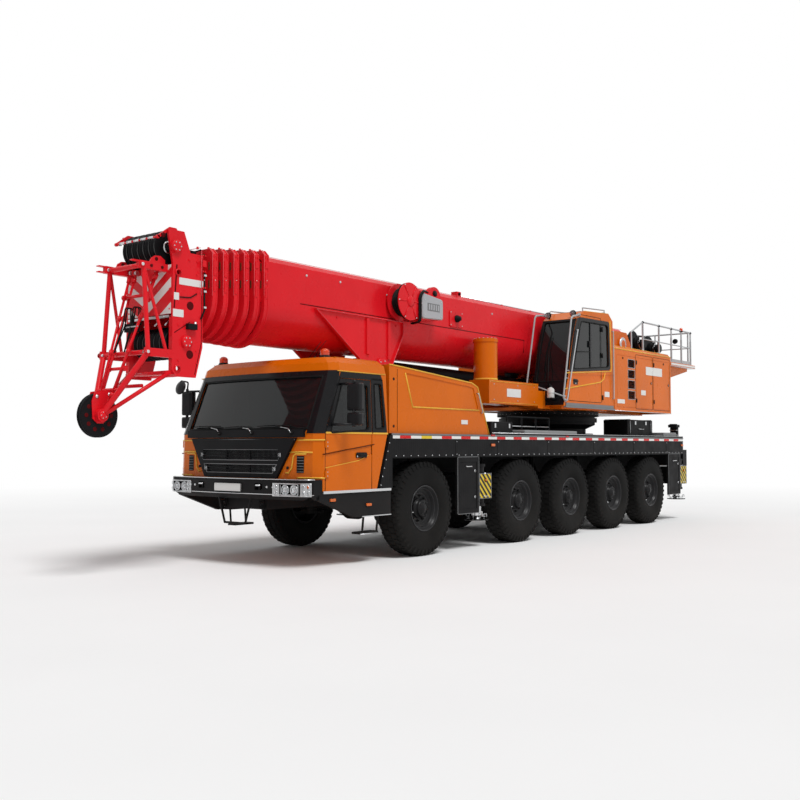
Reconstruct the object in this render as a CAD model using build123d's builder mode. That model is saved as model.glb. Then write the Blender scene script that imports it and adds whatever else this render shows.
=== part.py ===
# Five-axle all-terrain mobile crane with a telescopic boom, in millimetres.
# X points forward, Y to the left and Z up. The origin lies on the ground at mid length.
# Distances called ahead are measured forward from the first axle.
from math import hypot
import os

from build123d import *

os.makedirs("parts", exist_ok=True)

# Clearance between pieces that fit or seat
FIT = 0.3

# Wheels and axles
TYRE_R = 685
TYRE_W = 385
TYRE_FACE_Y = 1375
RIM_R = 318
RIM_BORE_R = 285
RIM_LIP = 30
DISC_Y = 1205
DISC_T = 25
HUB_R = 150
HUB_CAP_R = 112
HUB_CAP_Y = 1335
SPINDLE_R = 60
SPINDLE_END_Y = 1265
HAND_HOLES = 10
HAND_HOLE_R = 26
HAND_HOLE_RING = 245
KINGPIN_Y = 900
KINGPIN_R = 35
AXLE_TUBE_R = 85
DIFF_R = 215
SHAFT_R = 42
FLANGE_R = 80
NOSE_LENGTH = 300
LINK_Y = 250
LINK_RUN = 700
LINK_Z = 1040
LINK_R = 28
BUSH_R = 45
STRUT_Y = 540
STRUT_R = 48
STEERING_ARM = 230
AXLES = (0, -2650, -4350, -6050, -7750)
FIXED_AXLE = 2

# Chassis girder, front rails and deck
GIRDER_HALF_W = 450
GIRDER_T = 20
GIRDER_LOW = 1100
DECK_LOW = 1735
DECK_T = 25
DECK_TOP = DECK_LOW + DECK_T
DECK_FRONT = 800
DECK_REAR = -9400
GIRDER_FRONT = -860
GIRDER_REAR = -9700
SIDE_Y = 1375
SKIRT_T = 40
SKIRT_LOW = 1420
RAIL_Y = (320, 420)
HIGH_RAIL_Z = (980, 1300)
LOW_RAIL_Z = (740, 985)
RAIL_STEP_X = 900
RAIL_FRONT = 2250
DECK_RAIL_X = (-4200, -2780)
DECK_RAIL_Y = 1000
DECK_RAIL_H = 320
TUBE_R = 15

# Outriggers: a box across the frame for each beam, and a jack on the beam's end
BEAM_W = 300
BEAM_H = 310
BEAM_Z = 955
BOX_T = 20
BEAM_FREE = 6
BOX_END_Y = 1000
BEAM_TAIL_Y = 1250
JACK_Y = 1180
JACK_TUBE_R = 125
JACK_TOP = 1300
JACK_LOW = 640
JACK_ROD_R = 78
FOOT_R = 190
FOOT_LOW = 420
FOOT_H = 50
END_PLATE_Y = (1310, 1350)
# name, distance ahead, side
BEAMS = (
    ("front_left", -1580, 1),
    ("front_right", -1200, -1),
    ("rear_left", -9450, 1),
    ("rear_right", -9070, -1),
)

# Driver's cab
CAB_WALL = 60
CAB_REAR = 880
CAB_LOW = 1000
# height, front corner ahead, half width, bulge of the front
CAB_LEVELS = (
    (1000, 2270, 1375, 80),
    (1750, 2250, 1375, 90),
    (2560, 1920, 1335, 100),
    (2680, 1900, 1300, 95),
    (2760, 1840, 1180, 80),
)
CORNER_BACK = 80
CORNER_IN = 120
GLASS_T = 8
GLASS_IN = 14
DOOR_GAP = 15
DOOR_ROOM_Y = (1270, 1500)
DOOR_HINGE = (2155, 1392)
HINGE_R = 14
HINGE_Z = (1180, 1560)
HINGE_H = 90
DOOR_OUTLINE = ((1220, 990), (2160, 990), (2160, 1740), (1845, 2470), (1220, 2470))
DOOR_WINDOW = ((1290, 1800), (2060, 1750), (1810, 2400), (1290, 2400))
DOOR_CREASE = ((1180, 1605), (2200, 1475), (2200, 1305), (1510, 1390), (1180, 1490))
CREASE_DEPTH = 10
HANDLE_X = (1330, 1550)
HANDLE_Z = (1425, 1500)
REAR_WINDOW = ((955, 1830), (1150, 1815), (1150, 2430), (1000, 2430))
WINDSCREEN = ((-1150, 1810), (1150, 1810), (1150, 2500), (-1150, 2500))
COWL_Z = (1695, 1800)
CORNER_VENT_Y = (1010, 1120)
CORNER_VENT_Z = (1240, 1450)
MIRROR_X = 1900
MIRROR_Y = 1640

# Front bumper, grille and lamps
# height, front corner ahead, half width, bulge
BUMPER_LEVELS = (
    (890, 2350, 1335, 100),
    (960, 2440, 1375, 120),
    (1150, 2440, 1375, 120),
)
LAMP_REAR = 2410
LAMP_T = 80
LAMP_Y = (900, 1220)
LAMP_Z = (950, 1100)
GRILLE_PROUD = 40
# half width, height of the grille's four corners
GRILLE = ((-700, 1165), (700, 1165), (1010, 1685), (-1010, 1685))
# low and high edge, half width at the low edge, number of slots
GRILLE_WINDOWS = (
    (1225, 1340, 640, 3),
    (1395, 1535, 730, 4),
)
SLAT = 9

# Boom: sections that telescope, and the head on the last of them
SECTIONS = 6
BOOM_HALF_W = 500
BOOM_TOP = 4100
BOOM_SIDE_H = 640
BELLY_Z = BOOM_TOP - BOOM_SIDE_H
BOOM_WALL = 12
BOOM_STEP = 32
BOOM_CORNER = 70
BOOM_REAR = -8270
SECTION_REAR = -7600
SECTION_REAR_STEP = 120
COLLAR_FRONT = 2440
COLLAR_PITCH = 170
COLLAR_T = 75
COLLAR_TOP = BOOM_TOP + 60
COLLAR_TOP_STEP = 20
COLLAR_HALF_W = 545
COLLAR_HALF_W_STEP = 8
PAD_T = BOOM_STEP - BOOM_WALL - FIT
HEAD_REAR = COLLAR_FRONT + SECTIONS * COLLAR_PITCH - 60
HEAD_LENGTH = 470
HEAD_FRONT = HEAD_REAR + HEAD_LENGTH
HEAD_Y = (420, 450)
HEAD_TOP = BELLY_Z + 490
JIB_PIN_X = HEAD_FRONT - 80
JIB_PIN_Z = (BELLY_Z + 230, BELLY_Z - 940)
JIB_PIN_R = 30
SHEAVE_SHAFT_R = 50
SHEAVE_COUNT = 6
SHEAVE_PITCH = 108
SHEAVE_W = 88
GROOVE = 26
# distance ahead, height and radius of each stack of sheaves
SHEAVES = (
    (HEAD_FRONT - 40, BELLY_Z + 540, 210),
    (HEAD_FRONT - 210, BELLY_Z - 610, 200),
)
RUNNER_X = HEAD_FRONT + 720
RUNNER_Z = BELLY_Z - 1520
RUNNER_R = 260
RUNNER_PIN_R = 40

# Luffing cylinder
EYE_PIN = (0, BELLY_Z - 660)
BARREL_R = 145
GLAND_R = 157
BARREL_NECK = 420
ROD_R = 100
ROD_SHOWS = 480
EYE_R = 130
EYE_HALF_W = 105
LUFF_PIN_R = 70

# Superstructure
SLEW_X = -5900
RING_R = 1000
RING_BORE_R = 600
PEDESTAL_R = 750
PEDESTAL_TOP = 2050
RING_TOP = 2250
PLATE_Y = (560, 610)
HOUSE_Y = 1330
PIVOT = (SLEW_X - 2100, BELLY_Z + 290)
PIVOT_R = 90
FOOT_PIN = (SLEW_X + 900, RING_TOP + 490)
PLATFORM_FRONT = -8900
PLATFORM_REAR = -10260
PLATFORM_Z = (3330, 3400)
RAILING_TOP = 4200
RAILING_Y = 1240
# rear and front ends, pair of Y, top
CABINETS = (
    (-8880, -6170, (PLATE_Y[1], HOUSE_Y), 3550),
    (-8880, -4700, (-HOUSE_Y, -PLATE_Y[1]), 3450),
)
CABINET_LOW = RING_TOP + 20
CABINET_T = 25
CABINET_EDGE = 60
LOUVRE_X = (-7090, -6780)
LOUVRES = 4
# distance ahead, height and drum radius of each winch
WINCHES = (
    (-9000, 3850, 200),
    (-9800, 3800, 200),
)

# Operator's cab
OPERATOR_Y = (625, HOUSE_Y)
OPERATOR_WALL = 50
SIDE_LIGHT = ((-4520, 2980), (-5930, 3100), (-5900, 3900), (-4820, 3880))
WIND_LIGHT_Z = (2750, 3880)
WIND_LIGHT_IN = 60

# Overall reach, which puts the origin at mid length
NOSE_REACH = RUNNER_X + RUNNER_R
AXLE_1_X = (-PLATFORM_REAR - NOSE_REACH) / 2


def ahead(distance):
    """X of a place that lies this far ahead of the first axle."""
    return AXLE_1_X + distance


def slab(x, y, z, mode=Mode.ADD):
    """Block between the low and high values of the pairs x, y and z."""
    with Locations(((x[0] + x[1]) / 2, (y[0] + y[1]) / 2, (z[0] + z[1]) / 2)):
        Box(x[1] - x[0], y[1] - y[0], z[1] - z[0], mode=mode)


def side_plate(points, y, mode=Mode.ADD):
    """Outline of (distance ahead, height) points, carried over the pair y."""
    with BuildSketch(Plane.XZ.offset(-y[1])) as outline:
        with BuildLine():
            Polyline(*[(ahead(d), z) for d, z in points], close=True)
        make_face()
    extrude(outline.sketch, amount=y[1] - y[0], mode=mode)


def shrunk(points, amount, y, mode):
    """Side outline drawn in by the amount and carried over the pair y."""
    with BuildSketch(Plane.XZ.offset(-y[1])) as outline:
        with BuildLine():
            Polyline(*[(ahead(d), z) for d, z in points], close=True)
        make_face()
        offset(amount=-amount, kind=Kind.INTERSECTION, mode=Mode.REPLACE)
    extrude(outline.sketch, amount=y[1] - y[0], mode=mode)


def front_plate(points, x, mode=Mode.ADD):
    """Outline of (Y, height) points, carried over the pair x."""
    with BuildSketch(Plane.YZ.offset(x[0])) as outline:
        with BuildLine():
            Polyline(*points, close=True)
        make_face()
    extrude(outline.sketch, amount=x[1] - x[0], mode=mode)


def bar(start, end, radius, mode=Mode.ADD):
    """Round bar between two points."""
    run = Vector(*end) - Vector(*start)
    with BuildSketch(Plane(origin=start, z_dir=run.normalized())) as disc:
        Circle(radius)
    extrude(disc.sketch, amount=run.length, mode=mode)


def railing(points, radius):
    """Tube through the points, with a ball at each corner."""
    for start, end in zip(points, points[1:]):
        bar(start, end, radius)
    for corner in points[1:-1]:
        with Locations(corner):
            Sphere(radius)


def turned(profile, start, direction, mode=Mode.ADD):
    """Form turned round a line from start: (radius, distance along the line) points."""
    line = Vector(*direction).normalized()
    out = Vector(1, 0, 0) if abs(line.Z) > 0.9 else Vector(0, 0, 1)
    radial = (out - line * out.dot(line)).normalized()
    with BuildSketch(Plane(origin=start, x_dir=radial, z_dir=radial.cross(line))) as half:
        with BuildLine():
            Polyline(*profile, close=True)
        make_face()
    revolve(half.sketch, axis=Axis(start, (line.X, line.Y, line.Z)), mode=mode)


def save(block, node):
    """Label a finished piece and write it."""
    block.part.label = node
    export_step(block.part, f"parts/{node}.step")


def sided(pair, side):
    """Pair of Y values on the left (1) or, turned over, on the right (-1)."""
    return tuple(sorted((pair[0] * side, pair[1] * side)))


# Chassis: girder, rails, outrigger boxes, suspension brackets, engine block and pedestal
def link_pin(number):
    """Distance ahead and height of the pin that holds an axle's links to the chassis."""
    run = LINK_RUN if AXLES[number] < GIRDER_FRONT else -LINK_RUN
    return AXLES[number] + run, LINK_Z


def strut_top(number):
    """Height at which an axle's struts meet the chassis."""
    return DECK_LOW - 250 if AXLES[number] < GIRDER_FRONT else HIGH_RAIL_Z[1] - 50


with BuildPart() as chassis_frame:
    with BuildSketch(Plane.YZ.offset(ahead(GIRDER_REAR))):
        with Locations((0, (GIRDER_LOW + DECK_LOW) / 2)):
            Rectangle(2 * GIRDER_HALF_W, DECK_LOW - GIRDER_LOW)
            Rectangle(2 * (GIRDER_HALF_W - GIRDER_T), DECK_LOW - GIRDER_LOW - 2 * GIRDER_T, mode=Mode.SUBTRACT)
    extrude(amount=GIRDER_FRONT - GIRDER_REAR)
    for side in (1, -1):
        slab((ahead(GIRDER_FRONT), ahead(RAIL_STEP_X)), sided(RAIL_Y, side), HIGH_RAIL_Z)
        slab((ahead(RAIL_STEP_X - 250), ahead(RAIL_FRONT)), sided(RAIL_Y, side), LOW_RAIL_Z)
        # towing lug with its eye
        side_plate(((RAIL_FRONT - 60, LOW_RAIL_Z[0]), (RAIL_FRONT + 110, LOW_RAIL_Z[0] + 20),
                    (RAIL_FRONT + 110, LOW_RAIL_Z[0] + 110), (RAIL_FRONT - 60, LOW_RAIL_Z[0] + 140)),
                    sided((355, 385), side))
        bar((ahead(RAIL_FRONT + 60), side * 340, LOW_RAIL_Z[0] + 65), (ahead(RAIL_FRONT + 60),
                                                side * 400, LOW_RAIL_Z[0] + 65),
            25, Mode.SUBTRACT)
    slab((ahead(GIRDER_FRONT), ahead(GIRDER_FRONT + 60)), (-GIRDER_HALF_W, GIRDER_HALF_W),
         (HIGH_RAIL_Z[0], DECK_LOW))
    slab((ahead(RAIL_FRONT - 60), ahead(RAIL_FRONT)), (-RAIL_Y[1], RAIL_Y[1]), LOW_RAIL_Z)
    slab((ahead(-800), ahead(450)), (-RAIL_Y[1], RAIL_Y[1]), (HIGH_RAIL_Z[1], 2150))
    for name, distance, side in BEAMS:
        x = ahead(distance)
        half_w = BEAM_W / 2 + BEAM_FREE + BOX_T
        half_h = BEAM_H / 2 + BEAM_FREE + BOX_T
        low, high = sided((-BEAM_TAIL_Y - 50, BOX_END_Y), side)
        slab((x - half_w, x + half_w), (low, high), (BEAM_Z - half_h, BEAM_Z + half_h))
    for name, distance, side in BEAMS:
        x = ahead(distance)
        half_w = BEAM_W / 2 + BEAM_FREE
        half_h = BEAM_H / 2 + BEAM_FREE
        low, high = sided((-BEAM_TAIL_Y - 60, BOX_END_Y + 60), side)
        slab((x - half_w, x + half_w), (low, high), (BEAM_Z - half_h, BEAM_Z + half_h), Mode.SUBTRACT)
    for number, distance in enumerate(AXLES):
        pin, height = link_pin(number)
        x = ahead(distance)
        top = strut_top(number)
        wall = GIRDER_HALF_W if distance < GIRDER_FRONT else RAIL_Y[1]
        for side in (1, -1):
            # two ears with a pin for the link, and a shelf over the strut
            for y in (LINK_Y - 56, LINK_Y + 42):
                if distance < GIRDER_FRONT:
                    slab((ahead(pin - 45), ahead(pin + 45)), sided((y, y + 14), side),
                         (height - 45, GIRDER_LOW))
                else:
                    slab((ahead(GIRDER_FRONT + 60), ahead(pin + 45)), sided((y, y + 14), side),
                         (height - 45, height + 45))
            bar((ahead(pin), side * (LINK_Y - 56), height), (ahead(pin), side * (LINK_Y + 56), height),
                BUSH_R / 2)
            slab((x - 70, x + 70), sided((wall, STRUT_Y + 60), side), (top + FIT, top + 40))
            side_plate(((distance - 8, top - 130), (distance + 8, top - 130), (distance + 8, top + 20),
                        (distance - 8, top + 20)),
                       sided((wall, wall + 30), side))
    turned(((0, 0), (PEDESTAL_R, 0), (PEDESTAL_R, 200), (RING_R - 70, PEDESTAL_TOP - DECK_LOW - 30),
            (RING_R - 70, PEDESTAL_TOP - DECK_LOW + GIRDER_T), (0, PEDESTAL_TOP - DECK_LOW + GIRDER_T)),
           (ahead(SLEW_X), 0, DECK_LOW - GIRDER_T), (0, 0, 1))
    # rear cross member and the jaw of the tow coupling
    slab((ahead(GIRDER_REAR - 200), ahead(GIRDER_REAR)), (-1250, 1250), (1150, 1500))
    slab((ahead(GIRDER_REAR - 260), ahead(GIRDER_REAR - 200)), (-150, 150), (1180, 1400))
    side_plate(((GIRDER_REAR - 260, 1240), (GIRDER_REAR - 360, 1210), (GIRDER_REAR - 360, 1370),
                (GIRDER_REAR - 260, 1340)), (-70, 70))
    slab((ahead(GIRDER_REAR - 370), ahead(GIRDER_REAR - 290)), (-80, 80), (1262, 1318), Mode.SUBTRACT)
    bar((ahead(GIRDER_REAR - 325), 0, 1200), (ahead(GIRDER_REAR - 325), 0, 1400), 20)
save(chassis_frame, "chassis_frame")

# Deck plate with its side skirts, the panels between the wheels, two railings and the rear posts
SKIRT_Y = (SIDE_Y - SKIRT_T, SIDE_Y)
with BuildPart() as carrier_deck:
    slab((ahead(DECK_REAR), ahead(DECK_FRONT)), (-SIDE_Y, SIDE_Y), (DECK_LOW, DECK_TOP))
    bar((ahead(SLEW_X), 0, DECK_LOW - 50), (ahead(SLEW_X), 0, DECK_TOP + 50), PEDESTAL_R + FIT, Mode.SUBTRACT)
    for side in (1, -1):
        slab((ahead(DECK_REAR), ahead(DECK_FRONT)), sided(SKIRT_Y, side), (SKIRT_LOW, DECK_LOW))
        side_plate(((DECK_FRONT - 20, 1500), (DECK_FRONT - 20, 1000), (1060, 1000), (830, 1735),
                    (DECK_FRONT - 20, 1735)),
                   sided(SKIRT_Y, side))
        slab((ahead(DECK_REAR), ahead(DECK_REAR + 50)), sided((GIRDER_HALF_W, SIDE_Y), side), (1510, DECK_LOW))
        # edge lip and the step-over railing
        slab((ahead(DECK_REAR), ahead(-1740)), sided((SIDE_Y - 15, SIDE_Y), side), (DECK_TOP, DECK_TOP + 30))
        rear, front = DECK_RAIL_X
        y = side * DECK_RAIL_Y
        top = DECK_TOP + DECK_RAIL_H
        railing(((ahead(rear), y, DECK_TOP - 5), (ahead(rear), y, top), (ahead(front), y, top),
                 (ahead(front), y, DECK_TOP - 5)), TUBE_R)
        for share in (1 / 3, 2 / 3):
            post = ahead(rear + (front - rear) * share)
            bar((post, y, DECK_TOP - 5), (post, y, top), TUBE_R)
        # post that the boom's stays and lamps hang from, with a capped head
        slab((ahead(DECK_REAR + 10), ahead(DECK_REAR + 90)), sided((1120, 1280), side),
             (DECK_TOP, DECK_TOP + 230))
        slab((ahead(DECK_REAR - 5), ahead(DECK_REAR + 150)), sided((1100, 1300), side),
             (DECK_TOP + 230, DECK_TOP + 290))
    slab((ahead(-810), ahead(460)), (-430, 430), (DECK_LOW - 10, DECK_TOP + 10), Mode.SUBTRACT)
    for panel, side in (((-1370, -790), 1), ((-1800, -1420), -1), ((-9230, -8610), 1)):
        rear, front = panel
        slab((ahead(rear), ahead(front)), sided(SKIRT_Y, side), (550, SKIRT_LOW))
        slab((ahead(rear + 60), ahead(front - 60)), sided((SKIRT_Y[1] - 8, SKIRT_Y[1]), side),
             (620, SKIRT_LOW - 80), Mode.SUBTRACT)
save(carrier_deck, "carrier_deck")


# Driver's cab: a loft of five levels
def nose_outline(corner_x, half_w, bulge, inset):
    """Plan of the cab: straight back, cut corners and a bowed front."""
    front = ahead(corner_x - inset)
    back = ahead(CAB_REAR + inset)
    w = half_w - inset
    with BuildLine() as edge:
        Polyline((front, w - CORNER_IN), (front - CORNER_BACK, w), (back, w), (back, -w),
                 (front - CORNER_BACK, -w), (front, CORNER_IN - w))
        ThreePointArc((front, CORNER_IN - w), (front + bulge, 0), (front, w - CORNER_IN))
    make_face(edge.edges())


def nose_loft(levels, inset, mode=Mode.ADD):
    """Body through plans at several heights, shrunk by the inset on all sides."""
    last = len(levels) - 1
    plans = []
    for number, (z, corner_x, half_w, bulge) in enumerate(levels):
        shift = inset if number == 0 else -inset if number == last else 0
        with BuildSketch(Plane.XY.offset(z + shift)) as level:
            nose_outline(corner_x, half_w, bulge, inset)
        plans.append(level.sketch)
    loft(plans, ruled=True, mode=mode)


def cab_body(inset, mode=Mode.ADD):
    """Whole cab, shrunk by the inset on all sides, or grown if that is negative."""
    nose_loft(CAB_LEVELS, inset, mode)


CORNER_VENT_X = CAB_LEVELS[0][1] - 15
with BuildPart() as cab_shell:
    cab_body(0)
    cab_body(CAB_WALL, Mode.SUBTRACT)
    side_plate(((500, 900), (1120, 900), (1120, 1000), (880, 1800), (500, 1800)), (-1500, 1500), Mode.SUBTRACT)
    for side in (1, -1):
        outer = sided(DOOR_ROOM_Y, side)
        side_plate(DOOR_OUTLINE, outer, Mode.SUBTRACT)
        side_plate(REAR_WINDOW, outer, Mode.SUBTRACT)
        slab((ahead(CORNER_VENT_X), ahead(CORNER_VENT_X + 200)), sided(CORNER_VENT_Y, side), CORNER_VENT_Z,
             Mode.SUBTRACT)
    front_plate(WINDSCREEN, (ahead(1800), ahead(3000)), Mode.SUBTRACT)
    side_plate(((1120, 1000), (1180, 1000), (940, 1800), (880, 1800)), (-SIDE_Y + CAB_WALL, SIDE_Y - CAB_WALL))
save(cab_shell, "cab_shell")

with BuildPart() as pane_room:
    with BuildSketch(Plane.YZ.offset(ahead(1800))):
        with BuildLine():
            Polyline(*WINDSCREEN, close=True)
        make_face()
        offset(amount=-FIT, kind=Kind.INTERSECTION, mode=Mode.REPLACE)
    extrude(amount=1200)
    for side in (1, -1):
        shrunk(REAR_WINDOW, FIT, sided((1000, 1500), side), Mode.ADD)

with BuildPart() as cab_glass:
    cab_body(GLASS_IN)
    cab_body(GLASS_IN + GLASS_T, Mode.SUBTRACT)
    add(pane_room.part, mode=Mode.INTERSECT)
save(cab_glass, "cab_glass")

for name, side in (("left", 1), ("right", -1)):
    outer = sided(DOOR_ROOM_Y, side)
    hinge_x = ahead(DOOR_HINGE[0])
    with BuildPart() as door:
        cab_body(0)
        cab_body(CAB_WALL, Mode.SUBTRACT)
        shrunk(DOOR_OUTLINE, DOOR_GAP, outer, Mode.INTERSECT)
        side_plate(DOOR_WINDOW, outer, Mode.SUBTRACT)
        side_plate(DOOR_CREASE, sided((SIDE_Y - CREASE_DEPTH, SIDE_Y + 50), side), Mode.SUBTRACT)
        slab((ahead(HANDLE_X[0]), ahead(HANDLE_X[1])), sided((SIDE_Y - 3 * CREASE_DEPTH, SIDE_Y + 50), side),
             HANDLE_Z, Mode.SUBTRACT)
        slab((ahead(HANDLE_X[0] - 5), ahead(HANDLE_X[1] + 5)),
             sided((SIDE_Y - CREASE_DEPTH - 12, SIDE_Y - CREASE_DEPTH), side),
             (HANDLE_Z[0] + 45, HANDLE_Z[1] + 5))
        for z in HINGE_Z:
            bar((hinge_x, side * DOOR_HINGE[1], z), (hinge_x, side * DOOR_HINGE[1], z + HINGE_H), HINGE_R)
            slab((hinge_x - 60, hinge_x), sided((SIDE_Y - 1, DOOR_HINGE[1]), side), (z, z + HINGE_H))
        # mirror: two arms, an upright tube and two rounded heads
        arm_y = side * MIRROR_Y
        for z, foot in ((1860, 2055), (2390, 1839)):
            bar((ahead(foot), side * 1320, z), (ahead(MIRROR_X), arm_y, z), 14)
        bar((ahead(MIRROR_X), arm_y, 1840), (ahead(MIRROR_X), arm_y, 2420), 14)
        for middle, height in ((2215, 350), (1930, 160)):
            with BuildSketch(Plane.YZ.offset(ahead(MIRROR_X - 70))):
                with Locations((arm_y, middle)):
                    RectangleRounded(210, height, 35)
            extrude(amount=80)
    save(door, f"door_{name}")
    with BuildPart() as door_glass:
        cab_body(GLASS_IN)
        cab_body(GLASS_IN + GLASS_T, Mode.SUBTRACT)
        shrunk(DOOR_WINDOW, FIT, outer, Mode.INTERSECT)
    save(door_glass, f"door_glass_{name}")

FLOOR_Z = CAB_LOW + CAB_WALL
STEERING_Y = 600
with BuildPart() as cab_interior:
    for side in (1, -1):
        slab((ahead(1330), ahead(1830)), sided((350, 850), side), (FLOOR_Z, FLOOR_Z + 280))
        slab((ahead(1300), ahead(1850)), sided((330, 870), side), (FLOOR_Z + 280, FLOOR_Z + 430))
        side_plate(((1300, FLOOR_Z + 430), (1430, FLOOR_Z + 430), (1330, FLOOR_Z + 1050),
                    (1200, FLOOR_Z + 1050)),
                   sided((340, 860), side))
        side_plate(((1215, FLOOR_Z + 1045), (1325, FLOOR_Z + 1045), (1300, FLOOR_Z + 1230),
                    (1210, FLOOR_Z + 1230)),
                   sided((480, 720), side))
    side_plate(((1980, FLOOR_Z), (2170, FLOOR_Z), (2170, 1700), (2080, 1740), (1980, 1600)), (-1150, 1150))
    column = ((ahead(2020), STEERING_Y, 1480), (ahead(1880), STEERING_Y, 1760))
    bar(column[0], column[1], 25)
    with BuildSketch(Plane(origin=column[1],
                           z_dir=(column[1][0] - column[0][0], 0, column[1][2] - column[0][2]))):
        Circle(225)
        Circle(195, mode=Mode.SUBTRACT)
        Rectangle(400, 40)
        Circle(60)
    extrude(amount=30)
save(cab_interior, "cab_interior")

# Bumper with its foot step, the skirts under the doors and the boarding steps
BUMPER_LOW = BUMPER_LEVELS[0][0]
BUMPER_TOP = BUMPER_LEVELS[-1][0]
SKIRT_FOOT = 640
with BuildPart() as front_bumper:
    nose_loft(BUMPER_LEVELS, 0)
    with BuildSketch(Plane.XY.offset(CAB_LOW - FIT)):
        nose_outline(CAB_LEVELS[0][1] + 10, SIDE_Y + 10, CAB_LEVELS[0][3], 0)
    extrude(amount=BUMPER_TOP, mode=Mode.SUBTRACT)
    slab((ahead(0), ahead(RAIL_FRONT + 110 + FIT)), (-1310, 1310), (BUMPER_LOW - 10, BUMPER_TOP), Mode.SUBTRACT)
    for side in (1, -1):
        slab((ahead(LAMP_REAR - FIT), ahead(2700)), sided((LAMP_Y[0] - FIT, LAMP_Y[1] + FIT), side),
             (LAMP_Z[0] - FIT, LAMP_Z[1] + FIT), Mode.SUBTRACT)
        # towing pocket with its pin
        slab((ahead(2480), ahead(2700)), sided((490, 620), side), (1015, 1100), Mode.SUBTRACT)
        bar((ahead(2510), side * 555, 1010), (ahead(2510), side * 555, 1105), 16)
        side_plate(((820, SKIRT_FOOT), (1560, SKIRT_FOOT), (2260, BUMPER_LOW), (2260, CAB_LOW - FIT),
                    (820, CAB_LOW - FIT)),
                   sided((1310, SIDE_Y), side))
        for z, length in ((640, 450), (400, 380)):
            slab((ahead(1000), ahead(1000 + length)), sided((1150, 1300), side), (z, z + 30))
        for d in (1030, 1330):
            bar((ahead(d), side * 1290, 400), (ahead(d), side * 1320, 700), TUBE_R)
    step = (((ahead(2430), -330, BUMPER_LOW + 60)), (ahead(2430), -200, 560), (ahead(2430), 200, 560),
            (ahead(2430), 330, BUMPER_LOW + 60))
    railing(step, TUBE_R)
save(front_bumper, "front_bumper")

# Grille with rows of slots, and the cowl under the windscreen
with BuildPart() as panel_room:
    front_plate(GRILLE, (ahead(2000), ahead(3000)))
    for low, high, half_w, slots in GRILLE_WINDOWS:
        pitch = (high - low + SLAT) / slots
        for number in range(slots):
            z = low + number * pitch
            for y in ((-half_w, -SLAT - 220), (-220, 220), (220 + SLAT, half_w)):
                slab((ahead(2000), ahead(3000)), y, (z, z + pitch - SLAT), Mode.SUBTRACT)

with BuildPart() as front_grille:
    with BuildSketch(Plane.XY.offset(BUMPER_TOP + 10)):
        nose_outline(CAB_LEVELS[0][1] + GRILLE_PROUD, SIDE_Y, CAB_LEVELS[0][3], 0)
    extrude(amount=COWL_Z[0] - BUMPER_TOP - 15)
    cab_body(0, Mode.SUBTRACT)
    add(panel_room.part, mode=Mode.INTERSECT)
    with BuildSketch(Plane.XY.offset(COWL_Z[0])):
        nose_outline(CAB_LEVELS[1][1] + GRILLE_PROUD, SIDE_Y, CAB_LEVELS[1][3], 0)
    cowl = extrude(amount=COWL_Z[1] - COWL_Z[0], mode=Mode.PRIVATE)
    with BuildSketch(Plane.XY.offset(COWL_Z[0] - 10)):
        with Locations((ahead(CAB_LEVELS[1][1]), 0)):
            Rectangle(300, 2260)
    cowl_room = extrude(amount=COWL_Z[1], mode=Mode.PRIVATE)
    add(cowl & cowl_room)
    cab_body(0, Mode.SUBTRACT)
save(front_grille, "front_grille")

with BuildPart() as lamps:
    lamp_front = ahead(LAMP_REAR + LAMP_T)
    lamp_z = sum(LAMP_Z) / 2
    for side in (1, -1):
        slab((ahead(LAMP_REAR), lamp_front), sided(LAMP_Y, side), LAMP_Z)
        for y in (LAMP_Y[0] + 80, LAMP_Y[1] - 80):
            bar((lamp_front - 25, side * y, lamp_z), (lamp_front + 5, side * y, lamp_z), 60, Mode.SUBTRACT)
            bar((lamp_front - 26, side * y, lamp_z), (lamp_front - 8, side * y, lamp_z), 22)
        turned(((0, FIT), (75, FIT), (75, 22), (60, 30), (60, 95), (45, 125), (0, 130)),
               (ahead(1760), side * 1000, CAB_LEVELS[-1][0]), (0, 0, 1))
save(lamps, "lamps")

# Engine hood: a cover with cut top edges, pressed side panels and louvres, open below
HOOD_OUTLINE = ((800, DECK_TOP), (-1720, DECK_TOP), (-1400, 2500), (-1240, 2560), (500, 2700), (800, 2720))
HOOD_PRESSING = ((440, 2620), (270, 2140), (-1430, 2140), (-1290, 2480), (-1180, 2500))
HOOD_HALF_W = 1330
HOOD_WALL = 30
PRESSING_DEPTH = 12
with BuildPart() as engine_hood:
    side_plate(HOOD_OUTLINE, (-HOOD_HALF_W, HOOD_HALF_W))
    shrunk(HOOD_OUTLINE, HOOD_WALL, (HOOD_WALL - HOOD_HALF_W, HOOD_HALF_W - HOOD_WALL), Mode.SUBTRACT)
    slab((ahead(-1640), ahead(770)), (HOOD_WALL - HOOD_HALF_W, HOOD_HALF_W - HOOD_WALL),
         (DECK_TOP - 10, DECK_TOP + 60), Mode.SUBTRACT)
    for side in (1, -1):
        side_plate(HOOD_PRESSING, sided((HOOD_HALF_W - PRESSING_DEPTH, HOOD_HALF_W + 20), side), Mode.SUBTRACT)
        for number in range(6):
            x = ahead(-900 + number * 110)
            slab((x, x + 60), sided((250, 750), side), (2400, 2800), Mode.SUBTRACT)
save(engine_hood, "engine_hood")

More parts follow.
